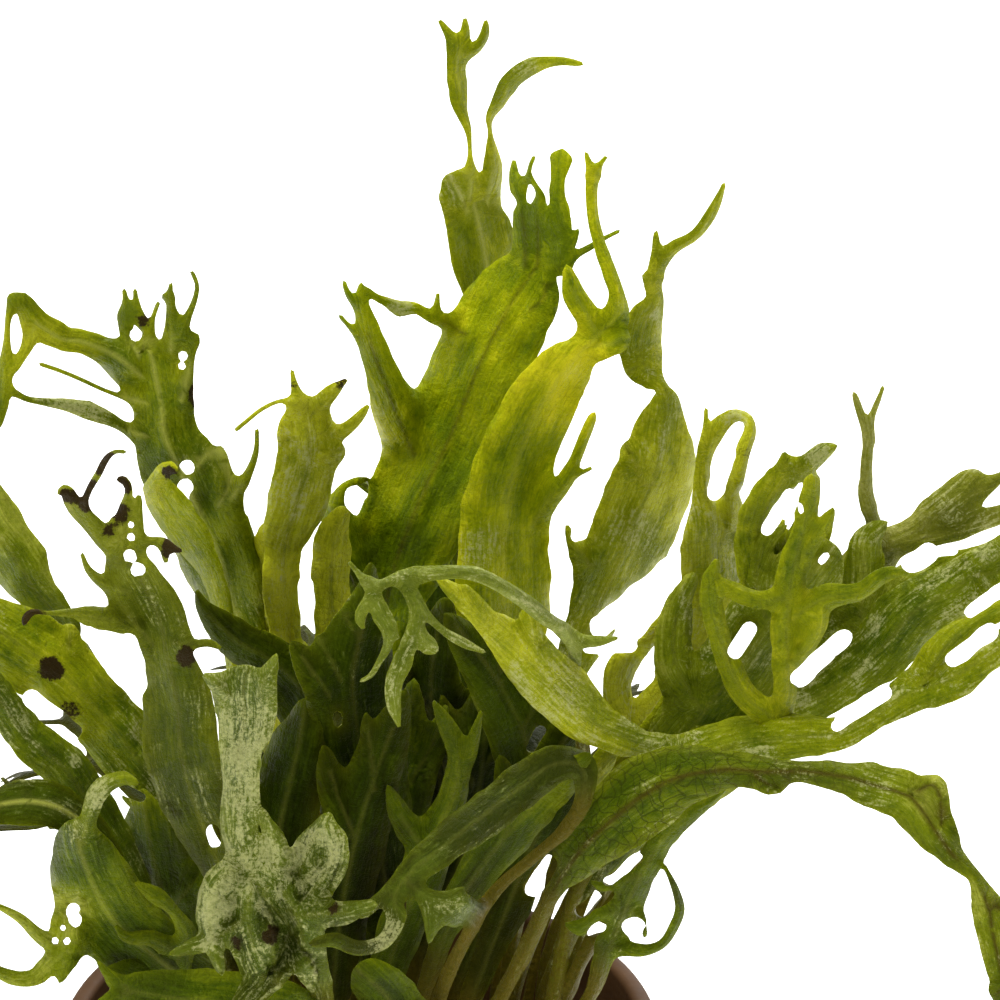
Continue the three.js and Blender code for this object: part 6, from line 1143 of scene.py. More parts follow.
# marks listed by frond: kind, across, down (in board mm), radius in mm, strength
# light marks lighten or darken a patch of blade, partly painted light and shade and partly the blade's own
# tone; sheen marks are painted highlights, partly silvery mottling
leafMarks = {
    "tall": [("sheen", 44.8, 18.5, 2.2, 0.5), ("sheen", 52.5, 6.5, 1.6, 0.6)],
    "big": [("light", 38.5, 50, 7, -0.05), ("light", 44.5, 45, 6, -0.05), ("light", 50, 30, 5, 0.12),
            ("sheen", 40, 30.8, 1.6, 0.9), ("light", 37.5, 42, 4, 0.35)],
    "fan": [("light", 57.5, 38, 4, 0.12), ("light", 62.4, 33, 1.6, -0.3), ("light", 57.2, 29, 1.8, -0.25),
            ("light", 59.6, 33, 1.1, -0.22), ("sheen", 48, 54.5, 2.5, 0.5), ("light", 48, 44, 6, -0.2)],
    "far_left": [("light", 2, 51, 4, 0.2)],
    "broad": [("light", 63, 34.4, 2, -0.2), ("sheen", 65.6, 31.6, 0.9, 1), ("sheen", 63, 53, 2.6, 0.6),
              ("light", 67.5, 49, 4, 0.14), ("light", 62, 48, 3.5, -0.12)],
    "fork": [("spot", 34.2, 38.3, 0.8, 0.6), ("spot", 29.4, 38.4, 0.6, 0.5), ("light", 28.4, 61, 5, 0.3),
             ("sheen", 29.4, 50, 1.6, 0.6)],
    "arch": [("spot", 74.4, 45, 1.1, 0.42), ("sheen", 73.4, 41.4, 1.4, 0.8)],
    "olive": [("sheen", 82, 45.2, 1.6, 1)],
    "high_right": [("sheen", 94.6, 50.8, 1.4, 0.6), ("sheen", 98.6, 53, 2, 0.5),
                   ("light", 96, 52.8, 2, -0.15)],
    "veined": [("net", 92, 81, 9, -0.75), ("net", 99, 95, 7, -0.6), ("light", 92.5, 79, 4, 0.25),
               ("light", 98.6, 93, 5, 0.3), ("light", 60, 82, 5, -0.02), ("sheen", 88, 79, 3, 0.4)],
    "lattice": [("sheen", 9.6, 79.4, 1.8, 0.8), ("sheen", 7.6, 83, 1.3, 0.5), ("spot", 14, 78.9, 0.8, 0.6),
                ("light", 4, 95, 6, 0.5), ("light", 9, 90, 6, 0.12), ("light", 8, 84, 5, -0.14)],
    "curl": [("light", 52, 79, 6, -0.2), ("light", 46.5, 83, 4, -0.16), ("light", 43, 90, 4, 0.12),
             ("spot", 41, 90.6, 0.8, 0.6), ("sheen", 38.6, 93.8, 2.6, 0.8), ("sheen", 44.6, 90.8, 2, 0.5)],
    "sweep": [("sheen", 56, 68.6, 4, 0.5), ("sheen", 66, 73.6, 3, 0.5), ("light", 58, 70, 5, 0.06)],
    "dark_left": [("sheen", 2.6, 77.8, 1, 0.7)],
    "stag": [("spot", 19.8, 39.6, 1.2, 1), ("spot", 14.5, 32, 0.8, 0.7), ("sheen", 7, 41.5, 3.5, 0.8),
             ("light", 6, 33.4, 4, 0.3), ("light", 1, 36, 4, 0.3), ("light", 16, 32, 3, 0.1),
             ("light", 15, 38, 3, 0.08), ("light", 18, 46, 6, -0.12)],
    "bronze": [("spot", 2.8, 61.8, 1.7, 1), ("spot", 18.7, 65.5, 1.1, 0.8), ("spot", 10.6, 46.2, 1.5, 1),
               ("spot", 9, 49.4, 1.7, 1), ("spot", 6.6, 49.6, 0.9, 0.8), ("spot", 12.2, 48.4, 1, 1),
               ("spot", 12.2, 51.4, 1.1, 0.8), ("spot", 17.4, 54.8, 1.3, 1), ("spot", 10.8, 53, 0.8, 0.7)],
    "hook": [("spot", 17.1, 47.2, 0.8, 0.9)],
    "spotted": [("spot", 5, 66.7, 1.2, 1), ("spot", 7, 71, 1.4, 0.6)],
    "strap": [("sheen", 24.6, 73, 4, 0.7), ("sheen", 24.2, 79, 3.4, 0.8), ("sheen", 24.6, 86, 4, 0.7),
              ("sheen", 31.6, 84, 3, 0.3), ("spot", 23.5, 94.2, 0.8, 0.8), ("spot", 27, 93.5, 0.9, 0.8),
              ("spot", 33.5, 90.7, 0.8, 0.7)],
}
# frond: how pale and how dark the midrib is, how strong the net of veins, how worn the margin
leafLines = {
    "tall": (0.8, 0, 0, 0.2), "big": (0, 0.5, 0.1, 0.1), "fan": (0.2, 0, 0.1, 0.1),
    "veined": (0, 0.9, 0.75, 0.3), "dark_left": (0.7, 0, 0.1, 0.2), "stag": (0.6, 0, 0.1, 0.3),
    "lattice": (0.3, 0, 0.2, 0.2),
}
usualLines = (0.12, 0.12, 0.12, 0.2)
# how much whitish sheen lies on a frond in streaks: a painted highlight, partly the blade's silvery mottling
leafSheen = {
    "broad": 0.6, "heart": 0.2, "fork": 0.5, "lattice": 0.2, "strap": 1.25, "curl": 0.22, "feather": 1.25,
    "spotted": 0.45, "dark_left": 0.35, "stag": 0.25, "high_right": 0.6, "holed": 0.3, "reach": 0.7,
    "sweep": 0.75, "arch": 0.5, "veined": 0.35, "hook": 0.3, "low_left": 0.55, "big": 0.08, "fan": 0.08,
    "young_8": 0.45, "young_9": 0.5, "olive": 0.4, "bronze": 0.3, "far_left": 0.25, "tall": 0.3,
}
usualSheen = 0.05


def addLayer(mesh, label, channels):
    # four numbers at every point, the same on the front sheet and the back sheet
    packed = np.stack([np.concatenate([channel, channel]) for channel in channels], axis=1)
    layer = mesh.color_attributes.new(label, "FLOAT_COLOR", "POINT")
    layer.data.foreach_set("color", packed.astype(np.float32).ravel())


def withMarks(name, x, y, seed, marks):
    # the listed marks, each with an uneven edge
    for mark, across, down, radius, strength in leafMarks.get(name, ()):
        away = np.hypot(x - across, y - down) * (1 + 0.25 * smoothNoise(x / radius, y / radius, seed + 8))
        share = strength * softStep(-away, -1.5 * radius, -0.4 * radius)
        marks[mark] = np.maximum(marks[mark], share) if mark in ("sheen", "spot") else marks[mark] + share
    return marks


def paintLeaf(mesh, name, kind, x, y, spots, values, margin, isStalk, seed):
    # numbers at every point that the leaf finish reads: tone, form and line
    look = leafLook
    paleRib, darkRib, net, worn = leafLines.get(name, usualLines)

    def clouds(size, offset):
        return smoothNoise(x / size, y / size, seed + offset)

    def streaks(size, offset):
        return smoothNoise(values["along"] / size[0], values["beside"] / size[1], seed + offset)

    (coarse, strong), (fine, weak) = look["clouds"]
    # painted shade: the nearer a point lies to the pot, the darker its tone
    shade = softStep(spots[:, 2], look["shadeBottom"], look["shadeTop"])
    light = (look["light"][ownFinish.get(name, kind)] - look["shadeDepth"] * (1 - shade)
             + strong * clouds(coarse, 6) + weak * clouds(fine, 7)
             + look["streaks"] * streaks(look["streakSize"], 9) + look["marginLight"] * margin)
    # painted highlight: the whitish sheen comes in streaks and clouds, partly the blade's silvery mottling,
    # and is weaker on the stalk
    glintSize, glintShare = look["glintClouds"]
    glint = streaks(look["glintSize"], 11) + glintShare * clouds(glintSize, 12)
    sheen = leafSheen.get(name, usualSheen) * (0.3 + 0.7 * softStep(glint, 0.1, 0.8)) * (1 - 0.5 * isStalk)
    marks = withMarks(name, x, y, seed, {
        "sheen": sheen, "spot": np.zeros_like(x), "net": np.full_like(x, net),
        "light": light + leafTone.get(name, 0),
    })
    rib = values["rib"]
    middle = np.exp(-(values["centre"] / np.maximum(0.5 * rib + 0.12, 0.05)) ** 2) * (rib > 0.1)
    steady = np.ones_like(x)
    # tone carries the lightness with its painted light and shade, the painted sheen and the spots
    addLayer(mesh, "tone", (marks["light"], marks["sheen"], marks["spot"], steady))
    addLayer(mesh, "form", (margin, isStalk * (rib > 0.3), paleRib * middle * (1 - isStalk), steady))
    addLayer(mesh, "line",
             (darkRib * middle * (1 - isStalk), np.maximum(marks["net"], 0), worn * steady, steady))


def addFrond(name, kind, mesh):
    piece = newPiece(f"{name}_frond", mesh, leafMaterials[ownFinish.get(name, kind)])
    standFor(piece, None if name.startswith("young") else f"frond_{name}")


def readBranches(text):
    return [np.array([spot.split() for spot in branch.split(",")], float) for branch in text.split(";")]


def laidBranches(foot, tilt, drawn):
    # the midrib from its foot, and each lobe starting on the blade laid so far
    laid = [np.vstack([(*toBoard(foot), leaf["stalkHalfWidth"]), drawn[0]])]
    for points in drawn[1:]:
        points[:, 2] += bladeDepth(points[0, 0], points[0, 1], laid, tilt) - points[0, 2]
        laid.append(points)
    return [smoothBranch(points) for points in laid]


def addDrawnFrond(name, row, seed):
    rowName, along, tilt, kind, text = row
    branches = laidBranches(footOf(rowName, along), tilt, readBranches(text))

    def place(x, y, values, relief):
        return fromBoard(x, y, values["depth"] + tilt[0] * values["offX"] + tilt[1] * values["offY"] + relief)

    cuts = [] if name in neverCut else openings
    addFrond(name, kind, makeLeafMesh(name, kind, branches, frondHoles.get(name, []), cuts, place,
                                      lambda spots: eye - spots, seed))


def addArchedFrond(name, row, seed):
    # an arch that starts steeply at the foot and bends over towards its heading
    rowName, along, heading, rise, size, wide, roll, outline = row
    heading, roll = math.radians(heading), math.radians(roll)
    ahead = np.array((math.cos(heading), math.sin(heading), 0))
    across = np.array((-math.sin(heading), math.cos(heading), 0))
    upright = np.array((0, 0, 1.0))
    steps = math.ceil(66 * size) + 8
    slopes = np.radians(np.linspace(*rise, steps + 1))
    moves = np.cos(slopes)[:, None] * ahead + np.sin(slopes)[:, None] * upright
    arch = footOf(rowName, along) + np.vstack([np.zeros(3), np.cumsum(moves, axis=0)])

    def place(x, y, values, relief):
        reached = np.clip(x, 0, steps)
        low = np.floor(reached).astype(int)
        spots = arch[low] + (reached - low)[:, None] * (arch[low + 1] - arch[low])
        slope = np.interp(reached, np.arange(steps + 1), slopes)
        up = -np.sin(slope)[:, None] * ahead + np.cos(slope)[:, None] * upright
        side = across * math.cos(roll) + up * math.sin(roll)
        return spots + side * y[:, None] + up * (values["depth"] + relief)[:, None]

    drawn = readBranches(outlines[outline])
    drawn[0] = np.vstack([(0, 0, 0, leaf["stalkHalfWidth"] / size), drawn[0]])
    branches = [smoothBranch(points * (size, size * wide, 1, size * wide)) for points in drawn]
    addFrond(name, "deep", makeLeafMesh(name, "deep", branches, [], [], place,
                                        lambda spots: np.tile(upright, (len(spots), 1)), seed))


# The pot, in mm
pot = {
    "baseRadius": 20.0, "rimRadius": 28.5, "height": 50.0, "lipHeight": 3.2, "lipWidth": 1.9,
    "lipStep": 1.0, "wall": 1.2, "floor": 1.6, "foot": 3.0, "footRise": 0.5, "facets": 128,
    "colours": ((70, 47, 26), (84, 58, 33), (98, 70, 42)), "stops": (0.4, 0.6, 0.78),
    "dust": (118, 92, 60), "dustShare": 0.16, "dustLow": 0.35, "dustHeight": 0.02,
    "roughness": 0.58, "gloss": 0.14, "relief": 0.0001, "reliefStrength": 0.35,
    "cloud": (60, 4, 0.6), "grain": (1400, 3, 0.6), "scuffs": (260, 5, 0.7),   # scale, detail, roughness
    "rings": {"Scale": 320, "Distortion": 1.5, "Detail": 2, "Detail Scale": 2},
}


def roundedProfile(corners, radii):
    # corners of a lathe profile, each rounded by its own radius
    points = []
    for i, (corner, radius) in enumerate(zip(corners, radii)):
        corner = np.array(corner, float)
        if radius == 0:
            points.append(corner)
            continue
        before = np.array(corners[i - 1], float) - corner
        after = np.array(corners[i + 1], float) - corner
        reach = min(radius, 0.48 * np.linalg.norm(before), 0.48 * np.linalg.norm(after))
        start = corner + before / np.linalg.norm(before) * reach
        end = corner + after / np.linalg.norm(after) * reach
        for share in np.linspace(0, 1, 5):
            points.append((1 - share) ** 2 * start + 2 * share * (1 - share) * corner + share ** 2 * end)
    return points


def ringMesh(name, vertices, facets):
    # a closed mesh from rings of vertices, followed by the centres of the first ring and the last
    ringCount = (len(vertices) - 2) // facets
    pairs = [(i, (i + 1) % facets) for i in range(facets)]
    faces = []
    for low in range(0, (ringCount - 1) * facets, facets):
        faces += [(low + i, low + k, low + facets + k, low + facets + i) for i, k in pairs]
    last = (ringCount - 1) * facets
    faces += [(ringCount * facets, k, i) for i, k in pairs]
    faces += [(ringCount * facets + 1, last + i, last + k) for i, k in pairs]
    mesh = bpy.data.meshes.new(name)
    mesh.from_pydata((np.array(vertices) * mm).tolist(), [], faces)
    shadeSmooth(mesh)
    return mesh


def lathe(name, profile, facets, shift=None):
    # turns a profile that starts and ends on the axis into a closed mesh
    turns = [2 * math.pi * i / facets for i in range(facets)]
    spots = [(radius * math.cos(turn), radius * math.sin(turn), height)
             for radius, height in profile[1:-1] for turn in turns]
    spots += [(0, 0, profile[0][1]), (0, 0, profile[-1][1])]
    return ringMesh(name, [shift(*spot) for spot in spots] if shift else spots, facets)


def finishTextures(tree, look):
    place = addNode(tree, "ShaderNodeTexCoord").outputs["Object"]
    return place, {name: noiseStep(tree, place, look[name])[0] for name in ("cloud", "grain")}


def makePotMaterial():
    material, tree, shader = newMaterial("brown_pot_plastic")
    place, textures = finishTextures(tree, pot)
    grain = textures["grain"]
    # the mould's fine rings, and dust that is thicker near the foot
    rings = addNode(tree, "ShaderNodeTexWave", {"Vector": place, **pot["rings"]}, wave_type="BANDS",
                    bands_direction="Z").outputs["Fac"]
    shade = mathStep(tree, "MULTIPLY_ADD", grain, 0.2, textures["cloud"])
    height = addNode(tree, "ShaderNodeSeparateXYZ", {0: place}).outputs[2]
    low = rangeStep(tree, height, 0.0, pot["dustHeight"], pot["dustLow"], 0.0)
    scuffed = rangeStep(tree, noiseStep(tree, place, pot["scuffs"])[0], 0.55, 0.75)
    dust = mathStep(tree, "MULTIPLY", scuffed, mathStep(tree, "ADD", low, pot["dustShare"]))
    setInputs(tree, shader, {
        "Base Color": layColour(tree, dust, rampStep(tree, shade, pot["stops"], pot["colours"]), pot["dust"]),
        "Roughness": mathStep(tree, "MULTIPLY_ADD", grain, 0.3, pot["roughness"] - 0.15),
        "Specular IOR Level": pot["gloss"],
        "Normal": bumpStep(tree, mathStep(tree, "MULTIPLY_ADD", rings, 0.35, grain), pot),
    })
    return material


def addPot():
    neck = pot["height"] - pot["lipHeight"]
    rim, base = pot["rimRadius"], pot["baseRadius"]
    under = rim - pot["lipStep"]
    corners = {  # radius and height of each corner: how far it is rounded
        (0, pot["footRise"]): 0, (base - pot["foot"], pot["footRise"]): 0.4,
        (base - 2.4, 0): 0.3, (base, 0): 1.2,
        (under, neck): 0.3, (rim, neck): 0.35, (rim, pot["height"]): 0.8,
        (rim - pot["lipWidth"], pot["height"]): 0.7, (under - pot["wall"], neck - 1): 0.8,
        (base - pot["wall"], pot["floor"]): 1.0, (0, pot["floor"]): 0,
    }
    profile = roundedProfile(list(corners), corners.values())
    piece = newPiece("nursery_pot", lathe("nursery_pot", profile, pot["facets"]), makePotMaterial())
    standFor(piece, "pot")


def newTree(name, inputs):
    tree = bpy.data.node_groups.new(name, "GeometryNodeTree")
    tree.is_modifier = True
    kinds = {float: "NodeSocketFloat", int: "NodeSocketInt", bpy.types.Material: "NodeSocketMaterial"}
    tree.interface.new_socket("Geometry", in_out="INPUT", socket_type="NodeSocketGeometry")
    for label, value in inputs.items():
        socket = tree.interface.new_socket(label, in_out="INPUT", socket_type=kinds[type(value)])
        if isinstance(value, (float, int)):
            socket.default_value = value
    tree.interface.new_socket("Geometry", in_out="OUTPUT", socket_type="NodeSocketGeometry")
    return tree, tree.nodes.new("NodeGroupInput").outputs


def closeTree(tree, made, given, keepsBase):
    # plain geometry of what was made, joined to what was given, in the finish that was given
    made = outputOf(tree, "GeometryNodeRealizeInstances", {"Geometry": made})
    if keepsBase:
        both = addNode(tree, "GeometryNodeJoinGeometry")
        tree.links.new(made, both.inputs[0])
        tree.links.new(given["Geometry"], both.inputs[0])
        made = both.outputs[0]
    finished = outputOf(tree, "GeometryNodeSetMaterial", {"Geometry": made, "Material": given["Finish"]})
    tree.links.new(finished, tree.nodes.new("NodeGroupOutput").inputs["Geometry"])
    return tree


def randomStep(tree, low, high, seed):
    # a random number or vector for each point
    isVector = isinstance(low, tuple)
    labels = ("Min", "Max") if isVector else (2, 3)
    node = addNode(tree, "FunctionNodeRandomValue", {labels[0]: low, labels[1]: high, "Seed": seed},
                   data_type="FLOAT_VECTOR" if isVector else "FLOAT")
    return node.outputs[0 if isVector else 1]


def grown(piece, tree, values):
    # runs a tree on a piece and keeps what it makes as the piece's plain mesh
    modifier = piece.modifiers.new(tree.name, "NODES")
    modifier.node_group = tree
    for item in tree.interface.items_tree:
        if item.in_out == "INPUT" and item.name in values:
            modifier[item.identifier] = values[item.name]
    piece.update_tag()
    ready = piece.evaluated_get(bpy.context.evaluated_depsgraph_get())
    mesh = bpy.data.meshes.new_from_object(ready)
    piece.modifiers.remove(modifier)
    mesh.name = piece.name
    piece.data = mesh
    return piece


# The wool that fills the pot, in mm
wool = {
    "bottom": 1.9, "edge": 2.4, "gap": 0.7, "facets": 96, "lumps": 0.32, "lumpSize": 1.6,
    "fibres": 1500, "fibreLength": 2.6, "fibreRadius": 0.045, "seed": 7,
    "colours": ((46, 42, 22), (92, 84, 46), (140, 130, 84)), "stops": (0.3, 0.5, 0.7),
    "cloud": (180, 5, 0.65), "grain": (1500, 4, 0.7), "relief": 0.0004, "reliefStrength": 0.8,
    "roughness": 0.95, "gloss": 0.15,
}


def makeWoolMaterial():
    material, tree, shader = newMaterial("mineral_wool")
    textures = finishTextures(tree, wool)[1]
    shade = summed(tree, 0.0, textures, {"cloud": 0.5, "grain": 0.5})
    setInputs(tree, shader, {
        "Base Color": rampStep(tree, shade, wool["stops"], wool["colours"]), "Roughness": wool["roughness"],
        "Specular IOR Level": wool["gloss"], "Normal": bumpStep(tree, textures["grain"], wool),
    })
    return material


def makeFibreTree(finish):
    # short arched fibres that lie on every face that looks up
    tree, given = newTree("wool_fibres",
                          {"Fibres": 100, "Length": 0.002, "Radius": 0.00005, "Seed": 1, "Finish": finish})
    seed = given["Seed"]
    normal = outputOf(tree, "GeometryNodeInputNormal")
    upward = addNode(tree, "ShaderNodeSeparateXYZ", {0: normal}).outputs[2]
    isTop = outputOf(tree, "FunctionNodeCompare", {0: upward, 1: 0.4}, operation="GREATER_THAN")
    points = outputOf(tree, "GeometryNodeDistributePointsOnFaces",
                      {"Mesh": given["Geometry"], "Selection": isTop, "Seed": seed, "Density": 600000.0})
    order = outputOf(tree, "GeometryNodeInputIndex")
    spare = outputOf(tree, "FunctionNodeCompare", {2: order, 3: given["Fibres"]}, data_type="INT",
                     operation="GREATER_THAN")
    points = outputOf(tree, "GeometryNodeDeleteGeometry", {"Geometry": points, "Selection": spare},
                      domain="POINT")
    half = mathStep(tree, "MULTIPLY", given["Length"], 0.5)
    start = outputOf(tree, "ShaderNodeCombineXYZ", {0: mathStep(tree, "MULTIPLY", half, -1.0)})
    end = outputOf(tree, "ShaderNodeCombineXYZ", {0: half})
    middle = outputOf(tree, "ShaderNodeCombineXYZ", {1: mathStep(tree, "MULTIPLY", given["Length"], 0.3),
                                                     2: mathStep(tree, "MULTIPLY", given["Length"], 0.16)})
    arc = outputOf(tree, "GeometryNodeCurveQuadraticBezier",
                   {"Resolution": 4, "Start": start, "Middle": middle, "End": end})
    ring = outputOf(tree, "GeometryNodeCurvePrimitiveCircle", {"Resolution": 3, "Radius": given["Radius"]})
    fibre = outputOf(tree, "GeometryNodeCurveToMesh",
                     {"Curve": arc, "Profile Curve": ring, "Fill Caps": True})
    laid = outputOf(tree, "GeometryNodeInstanceOnPoints", {
        "Points": points, "Instance": fibre, "Scale": randomStep(tree, 0.5, 1.3, seed),
        "Rotation": randomStep(tree, (-0.25, -0.25, 0.0), (0.25, 0.25, 6.283), seed),
    })
    return closeTree(tree, laid, given, True)


def addWool():
    lean = (pot["rimRadius"] - pot["lipStep"] - pot["baseRadius"]) / (pot["height"] - pot["lipHeight"])

    def inner(height):
        return pot["baseRadius"] + lean * height - pot["wall"] - wool["gap"]

    bottom = wool["bottom"]
    shoulder = bed["woolTop"] - bed["woolDome"] - wool["edge"]
    edge = inner(shoulder)
    profile = [(0, bottom), (inner(bottom) - 1, bottom), (inner(bottom), bottom + 1)]
    profile += [(inner(height), height) for height in np.linspace(6, shoulder, 12)]
    profile += [(edge - 0.5, shoulder + 1.4), (edge - 1.3, woolHeight(edge, 0) - 0.2)]
    profile += [(radius, woolHeight(radius, 0)) for radius in np.linspace(edge - 2.2, 1.2, 22)]
    profile += [(0, bed["woolTop"])]

    def rough(x, y, z):
        top = 1.0 if z > shoulder - 3 else 0.4
        size = wool["lumpSize"]
        lump = noiseAt(x / size, y / size + z / size, wool["seed"])
        return x, y, z - top * wool["lumps"] * (0.5 + 0.5 * lump)

    finish = makeWoolMaterial()
    piece = newPiece("mineral_wool_plug", lathe("mineral_wool_plug", profile, wool["facets"], rough))
    grown(piece, makeFibreTree(finish), {
        "Fibres": wool["fibres"], "Length": wool["fibreLength"] * mm, "Radius": wool["fibreRadius"] * mm,
        "Seed": wool["seed"], "Finish": finish,
    })
    standFor(piece, "wool_plug")


# The rhizomes with their scales and roots, in mm
rhizome = {
    "spans": {"rear": (-13.5, 20.5), "upper": (-13.5, 19), "middle": (-13.5, 19), "front": (-14.8, 20)},
    "rings": 64, "facets": 20, "knots": 8, "knotDepth": 0.06,
    "roots": 6, "rootReach": 21.8, "rootRadius": 0.34, "hairs": 26, "hairRadius": 0.1, "hairStep": 0.8,
    "scales": 420, "scaleLength": 1.15, "scaleRadius": 0.34,
    "area": 360e-6,   # square metres, what the scales are spread over
    "colours": ((24, 18, 8), (62, 50, 22), (96, 92, 38)), "stops": (0.35, 0.55, 0.78),
    "cloud": (420, 5, 0.6), "grain": (2600, 3, 0.6), "relief": 0.0003, "reliefStrength": 0.7,
}
# offsets of a thick root's four points along and beside the rhizome, where it runs free and between rows
freeRoot = ((0, 0.6), (0.4, 2.6), (1.6, 5), (4.6, 8))
closeRoot = ((0, 0.6), (1, 2.3), (3, 2.9), (5.4, 2.7))


def makeRhizomeMaterial():
    material, tree, shader = newMaterial("scaly_rhizome")
    textures = finishTextures(tree, rhizome)[1]
    shade = summed(tree, 0.0, textures, {"cloud": 0.7, "grain": 0.35})
    setInputs(tree, shader, {
        "Base Color": rampStep(tree, shade, rhizome["stops"], rhizome["colours"]),
        "Roughness": mathStep(tree, "MULTIPLY_ADD", textures["grain"], 0.4, 0.45),
        "Normal": bumpStep(tree, textures["cloud"], rhizome),
    })
    return material


def makeScaleTree(finish):
    # flat pointed scales lying back along the rhizome
    tree, given = newTree("rhizome_scales",
                          {"Density": 9e5, "Length": 0.001, "Radius": 0.0003, "Seed": 1, "Finish": finish})
    seed = given["Seed"]
    spots = addNode(tree, "GeometryNodeDistributePointsOnFaces",
                    {"Mesh": given["Geometry"], "Density": given["Density"], "Seed": seed}).outputs
    scale = outputOf(tree, "GeometryNodeMeshCone", {"Vertices": 6, "Radius Bottom": given["Radius"],
                                                    "Radius Top": 0.00002, "Depth": given["Length"]})
    lean = randomStep(tree, (0.0, 0.9, -0.7), (0.3, 1.35, 0.7), seed)
    lean = outputOf(tree, "FunctionNodeEulerToRotation", {0: lean})
    turned = outputOf(tree, "FunctionNodeRotateRotation", {0: spots["Rotation"], 1: lean},
                      rotation_space="LOCAL")
    laid = outputOf(tree, "GeometryNodeInstanceOnPoints", {
        "Points": spots["Points"], "Instance": scale, "Rotation": turned,
        "Scale": randomStep(tree, (0.3, 0.8, 0.6), (0.5, 1.3, 1.2), seed),
    })
    return closeTree(tree, laid, given, True)


def makeRootTree(finish):
    # round roots along drawn paths, thinner towards their ends
    tree, given = newTree("rhizome_roots", {"Sides": 6, "Finish": finish})
    paths = outputOf(tree, "GeometryNodeMeshToCurve", {"Mesh": given["Geometry"]})
    thickness = outputOf(tree, "GeometryNodeInputNamedAttribute", {"Name": "thickness"}, data_type="FLOAT")
    ring = outputOf(tree, "GeometryNodeCurvePrimitiveCircle", {"Resolution": given["Sides"], "Radius": 1.0})
    sized = outputOf(tree, "GeometryNodeSetCurveRadius", {"Curve": paths, "Radius": thickness})
    tubes = addNode(tree, "GeometryNodeCurveToMesh",
                    {"Curve": sized, "Profile Curve": ring, "Fill Caps": True})
    if "Scale" in tubes.inputs:
        tree.links.new(thickness, tubes.inputs["Scale"])
    return closeTree(tree, tubes.outputs[0], given, False)


def rhizomeBody(rowName, order):
    start, end = rhizome["spans"][rowName]
    y = bed["rows"][rowName]
    rings, facets = rhizome["rings"], rhizome["facets"]
    lift = bed["gap"] + bed["rhizomeRadius"]
    vertices = []
    for share in (1 - np.cos(np.linspace(0, math.pi, rings + 1)[1:-1])) / 2:
        x = start + (end - start) * share
        knot = math.cos(math.pi * (share * rhizome["knots"] + order))
        radius = bed["rhizomeRadius"] * (1 - rhizome["knotDepth"] + rhizome["knotDepth"] * knot)
        radius *= min(1, 0.35 + 3.2 * math.sqrt(max(0, min(share, 1 - share) * (end - start) / 10)) * 0.5)
        for i in range(facets):
            turn = 2 * math.pi * i / facets
            rough = 1 - 0.05 * (1 + noiseAt(x * 1.1, turn * 1.5, order + 40))
            vertices.append((x, y + math.cos(turn) * radius * rough,
                             woolHeight(x, y) + lift + math.sin(turn) * radius * rough))
    vertices += [(x, y, woolHeight(x, y) + lift) for x in (start, end)]
    mesh = ringMesh(f"{rowName}_rhizome", vertices, facets)
    shape = bmesh.new()
    shape.from_mesh(mesh)
    bmesh.ops.recalc_face_normals(shape, faces=shape.faces)
    shape.to_mesh(mesh)
    shape.free()
    return mesh


def rootPaths(rowName, order, draw):
    # thick roots and a fringe of hairs that wander over the wool
    start, end = rhizome["spans"][rowName]
    y = bed["rows"][rowName]
    paths = []
    for i in range(rhizome["roots"]):
        side = 1 if i % 2 == 0 else -1
        isFree = (order == 3 and side < 0) or (order == 0 and side > 0)
        along = -1 if i % 3 == 0 else 1
        x = start + 2.5 + (end - start - 5) * i / 5
        drawn = []
        for j, (run, reach) in enumerate(freeRoot if isFree else closeRoot):
            lift = 1.4 if j == 0 else 0.45 + 0.2 * ((i + j) % 2)
            drawn.append((x + along * run, y + side * reach, lift, rhizome["rootRadius"] * (1 - 0.2 * j)))
        paths.append(smoothBranch(drawn))
    for _ in range(rhizome["hairs"]):
        x = draw.uniform(start + 1, end - 1)
        side = draw.choice((-1, 1))
        turn = side * math.pi / 2 + draw.uniform(-0.7, 0.7)
        spot = np.array((x, y + side * 1.2))
        drawn = []
        for j in range(draw.integers(5, 10)):
            lift = 0.9 if j == 0 else 0.3 + draw.uniform(0, 0.35)
            drawn.append((spot[0], spot[1], lift, rhizome["hairRadius"] * (1 - 0.08 * j)))
            spot = spot + rhizome["hairStep"] * np.array((math.cos(turn), math.sin(turn)))
            turn += draw.uniform(-0.6, 0.6)
        paths.append(np.array(drawn))
    return paths


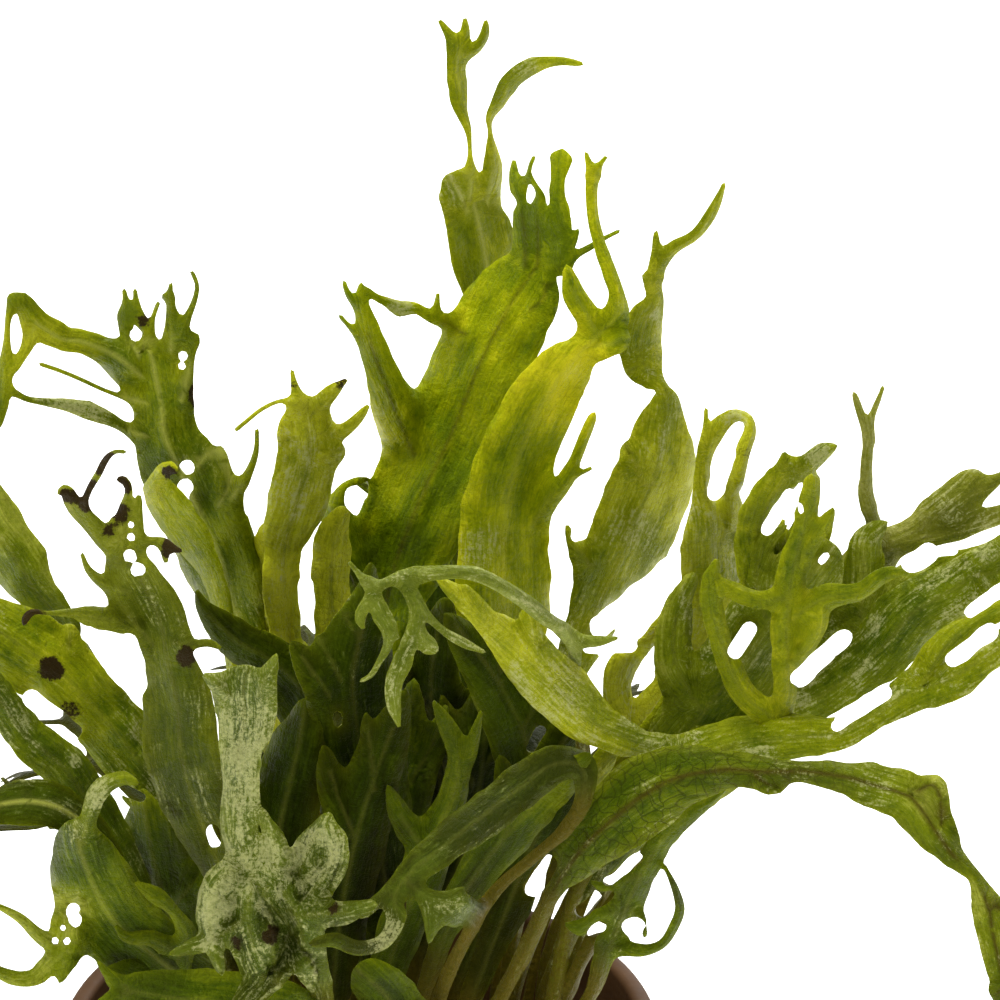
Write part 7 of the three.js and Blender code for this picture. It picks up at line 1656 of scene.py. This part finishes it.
def addRhizome(rowName, order, trees, finish):
    draw = np.random.default_rng(20 + order)
    vertices, edges, thickness = [], [], []
    for path in rootPaths(rowName, order, draw):
        for j, (x, y, lift, radius) in enumerate(path):
            away = max(math.hypot(x, y) / rhizome["rootReach"], 1)
            x, y = x / away, y / away
            vertices.append((x * mm, y * mm, (woolHeight(x, y) + lift) * mm))
            thickness.append(max(radius, 0.05) * mm)
            if j:
                edges.append((len(vertices) - 2, len(vertices) - 1))
    roots = bpy.data.meshes.new("roots")
    roots.from_pydata(vertices, edges, [])
    roots.attributes.new("thickness", "FLOAT", "POINT").data.foreach_set("value", thickness)
    rootPiece = grown(newPiece(f"{rowName}_roots", roots), trees["roots"], {"Finish": finish})
    body = newPiece(f"{rowName}_rhizome", rhizomeBody(rowName, order))
    grown(body, trees["scales"], {
        "Density": rhizome["scales"] / rhizome["area"], "Length": rhizome["scaleLength"] * mm,
        "Radius": rhizome["scaleRadius"] * mm, "Seed": order, "Finish": finish,
    })
    joined = bmesh.new()
    joined.from_mesh(body.data)
    joined.from_mesh(rootPiece.data)
    joined.to_mesh(body.data)
    joined.free()
    shadeSmooth(body.data)
    bpy.data.objects.remove(rootPiece)
    standFor(body, f"rhizome_{rowName}")


addCamera()
addStudio()
print("camera, floor and light are in")
addPot()
addWool()
print("pot and wool are in")
rhizomeFinish = makeRhizomeMaterial()
rhizomeTrees = {"roots": makeRootTree(rhizomeFinish), "scales": makeScaleTree(rhizomeFinish)}
for rowOrder, rhizomeRow in enumerate(bed["rows"]):
    addRhizome(rhizomeRow, rowOrder, rhizomeTrees, rhizomeFinish)
print("rhizomes are in")
leafMaterials = {kind: makeLeafMaterial(kind, shades) for kind, shades in leafColours.items()}
for frondNumber, (frondName, frondRow) in enumerate(drawnFronds.items()):
    addDrawnFrond(frondName, frondRow, 100 + 20 * frondNumber)
print("front fronds are in")
for frondNumber, (frondName, frondRow) in enumerate(archedFronds.items()):
    addArchedFrond(frondName, frondRow, 2000 + 20 * frondNumber)
print("back fronds are in")
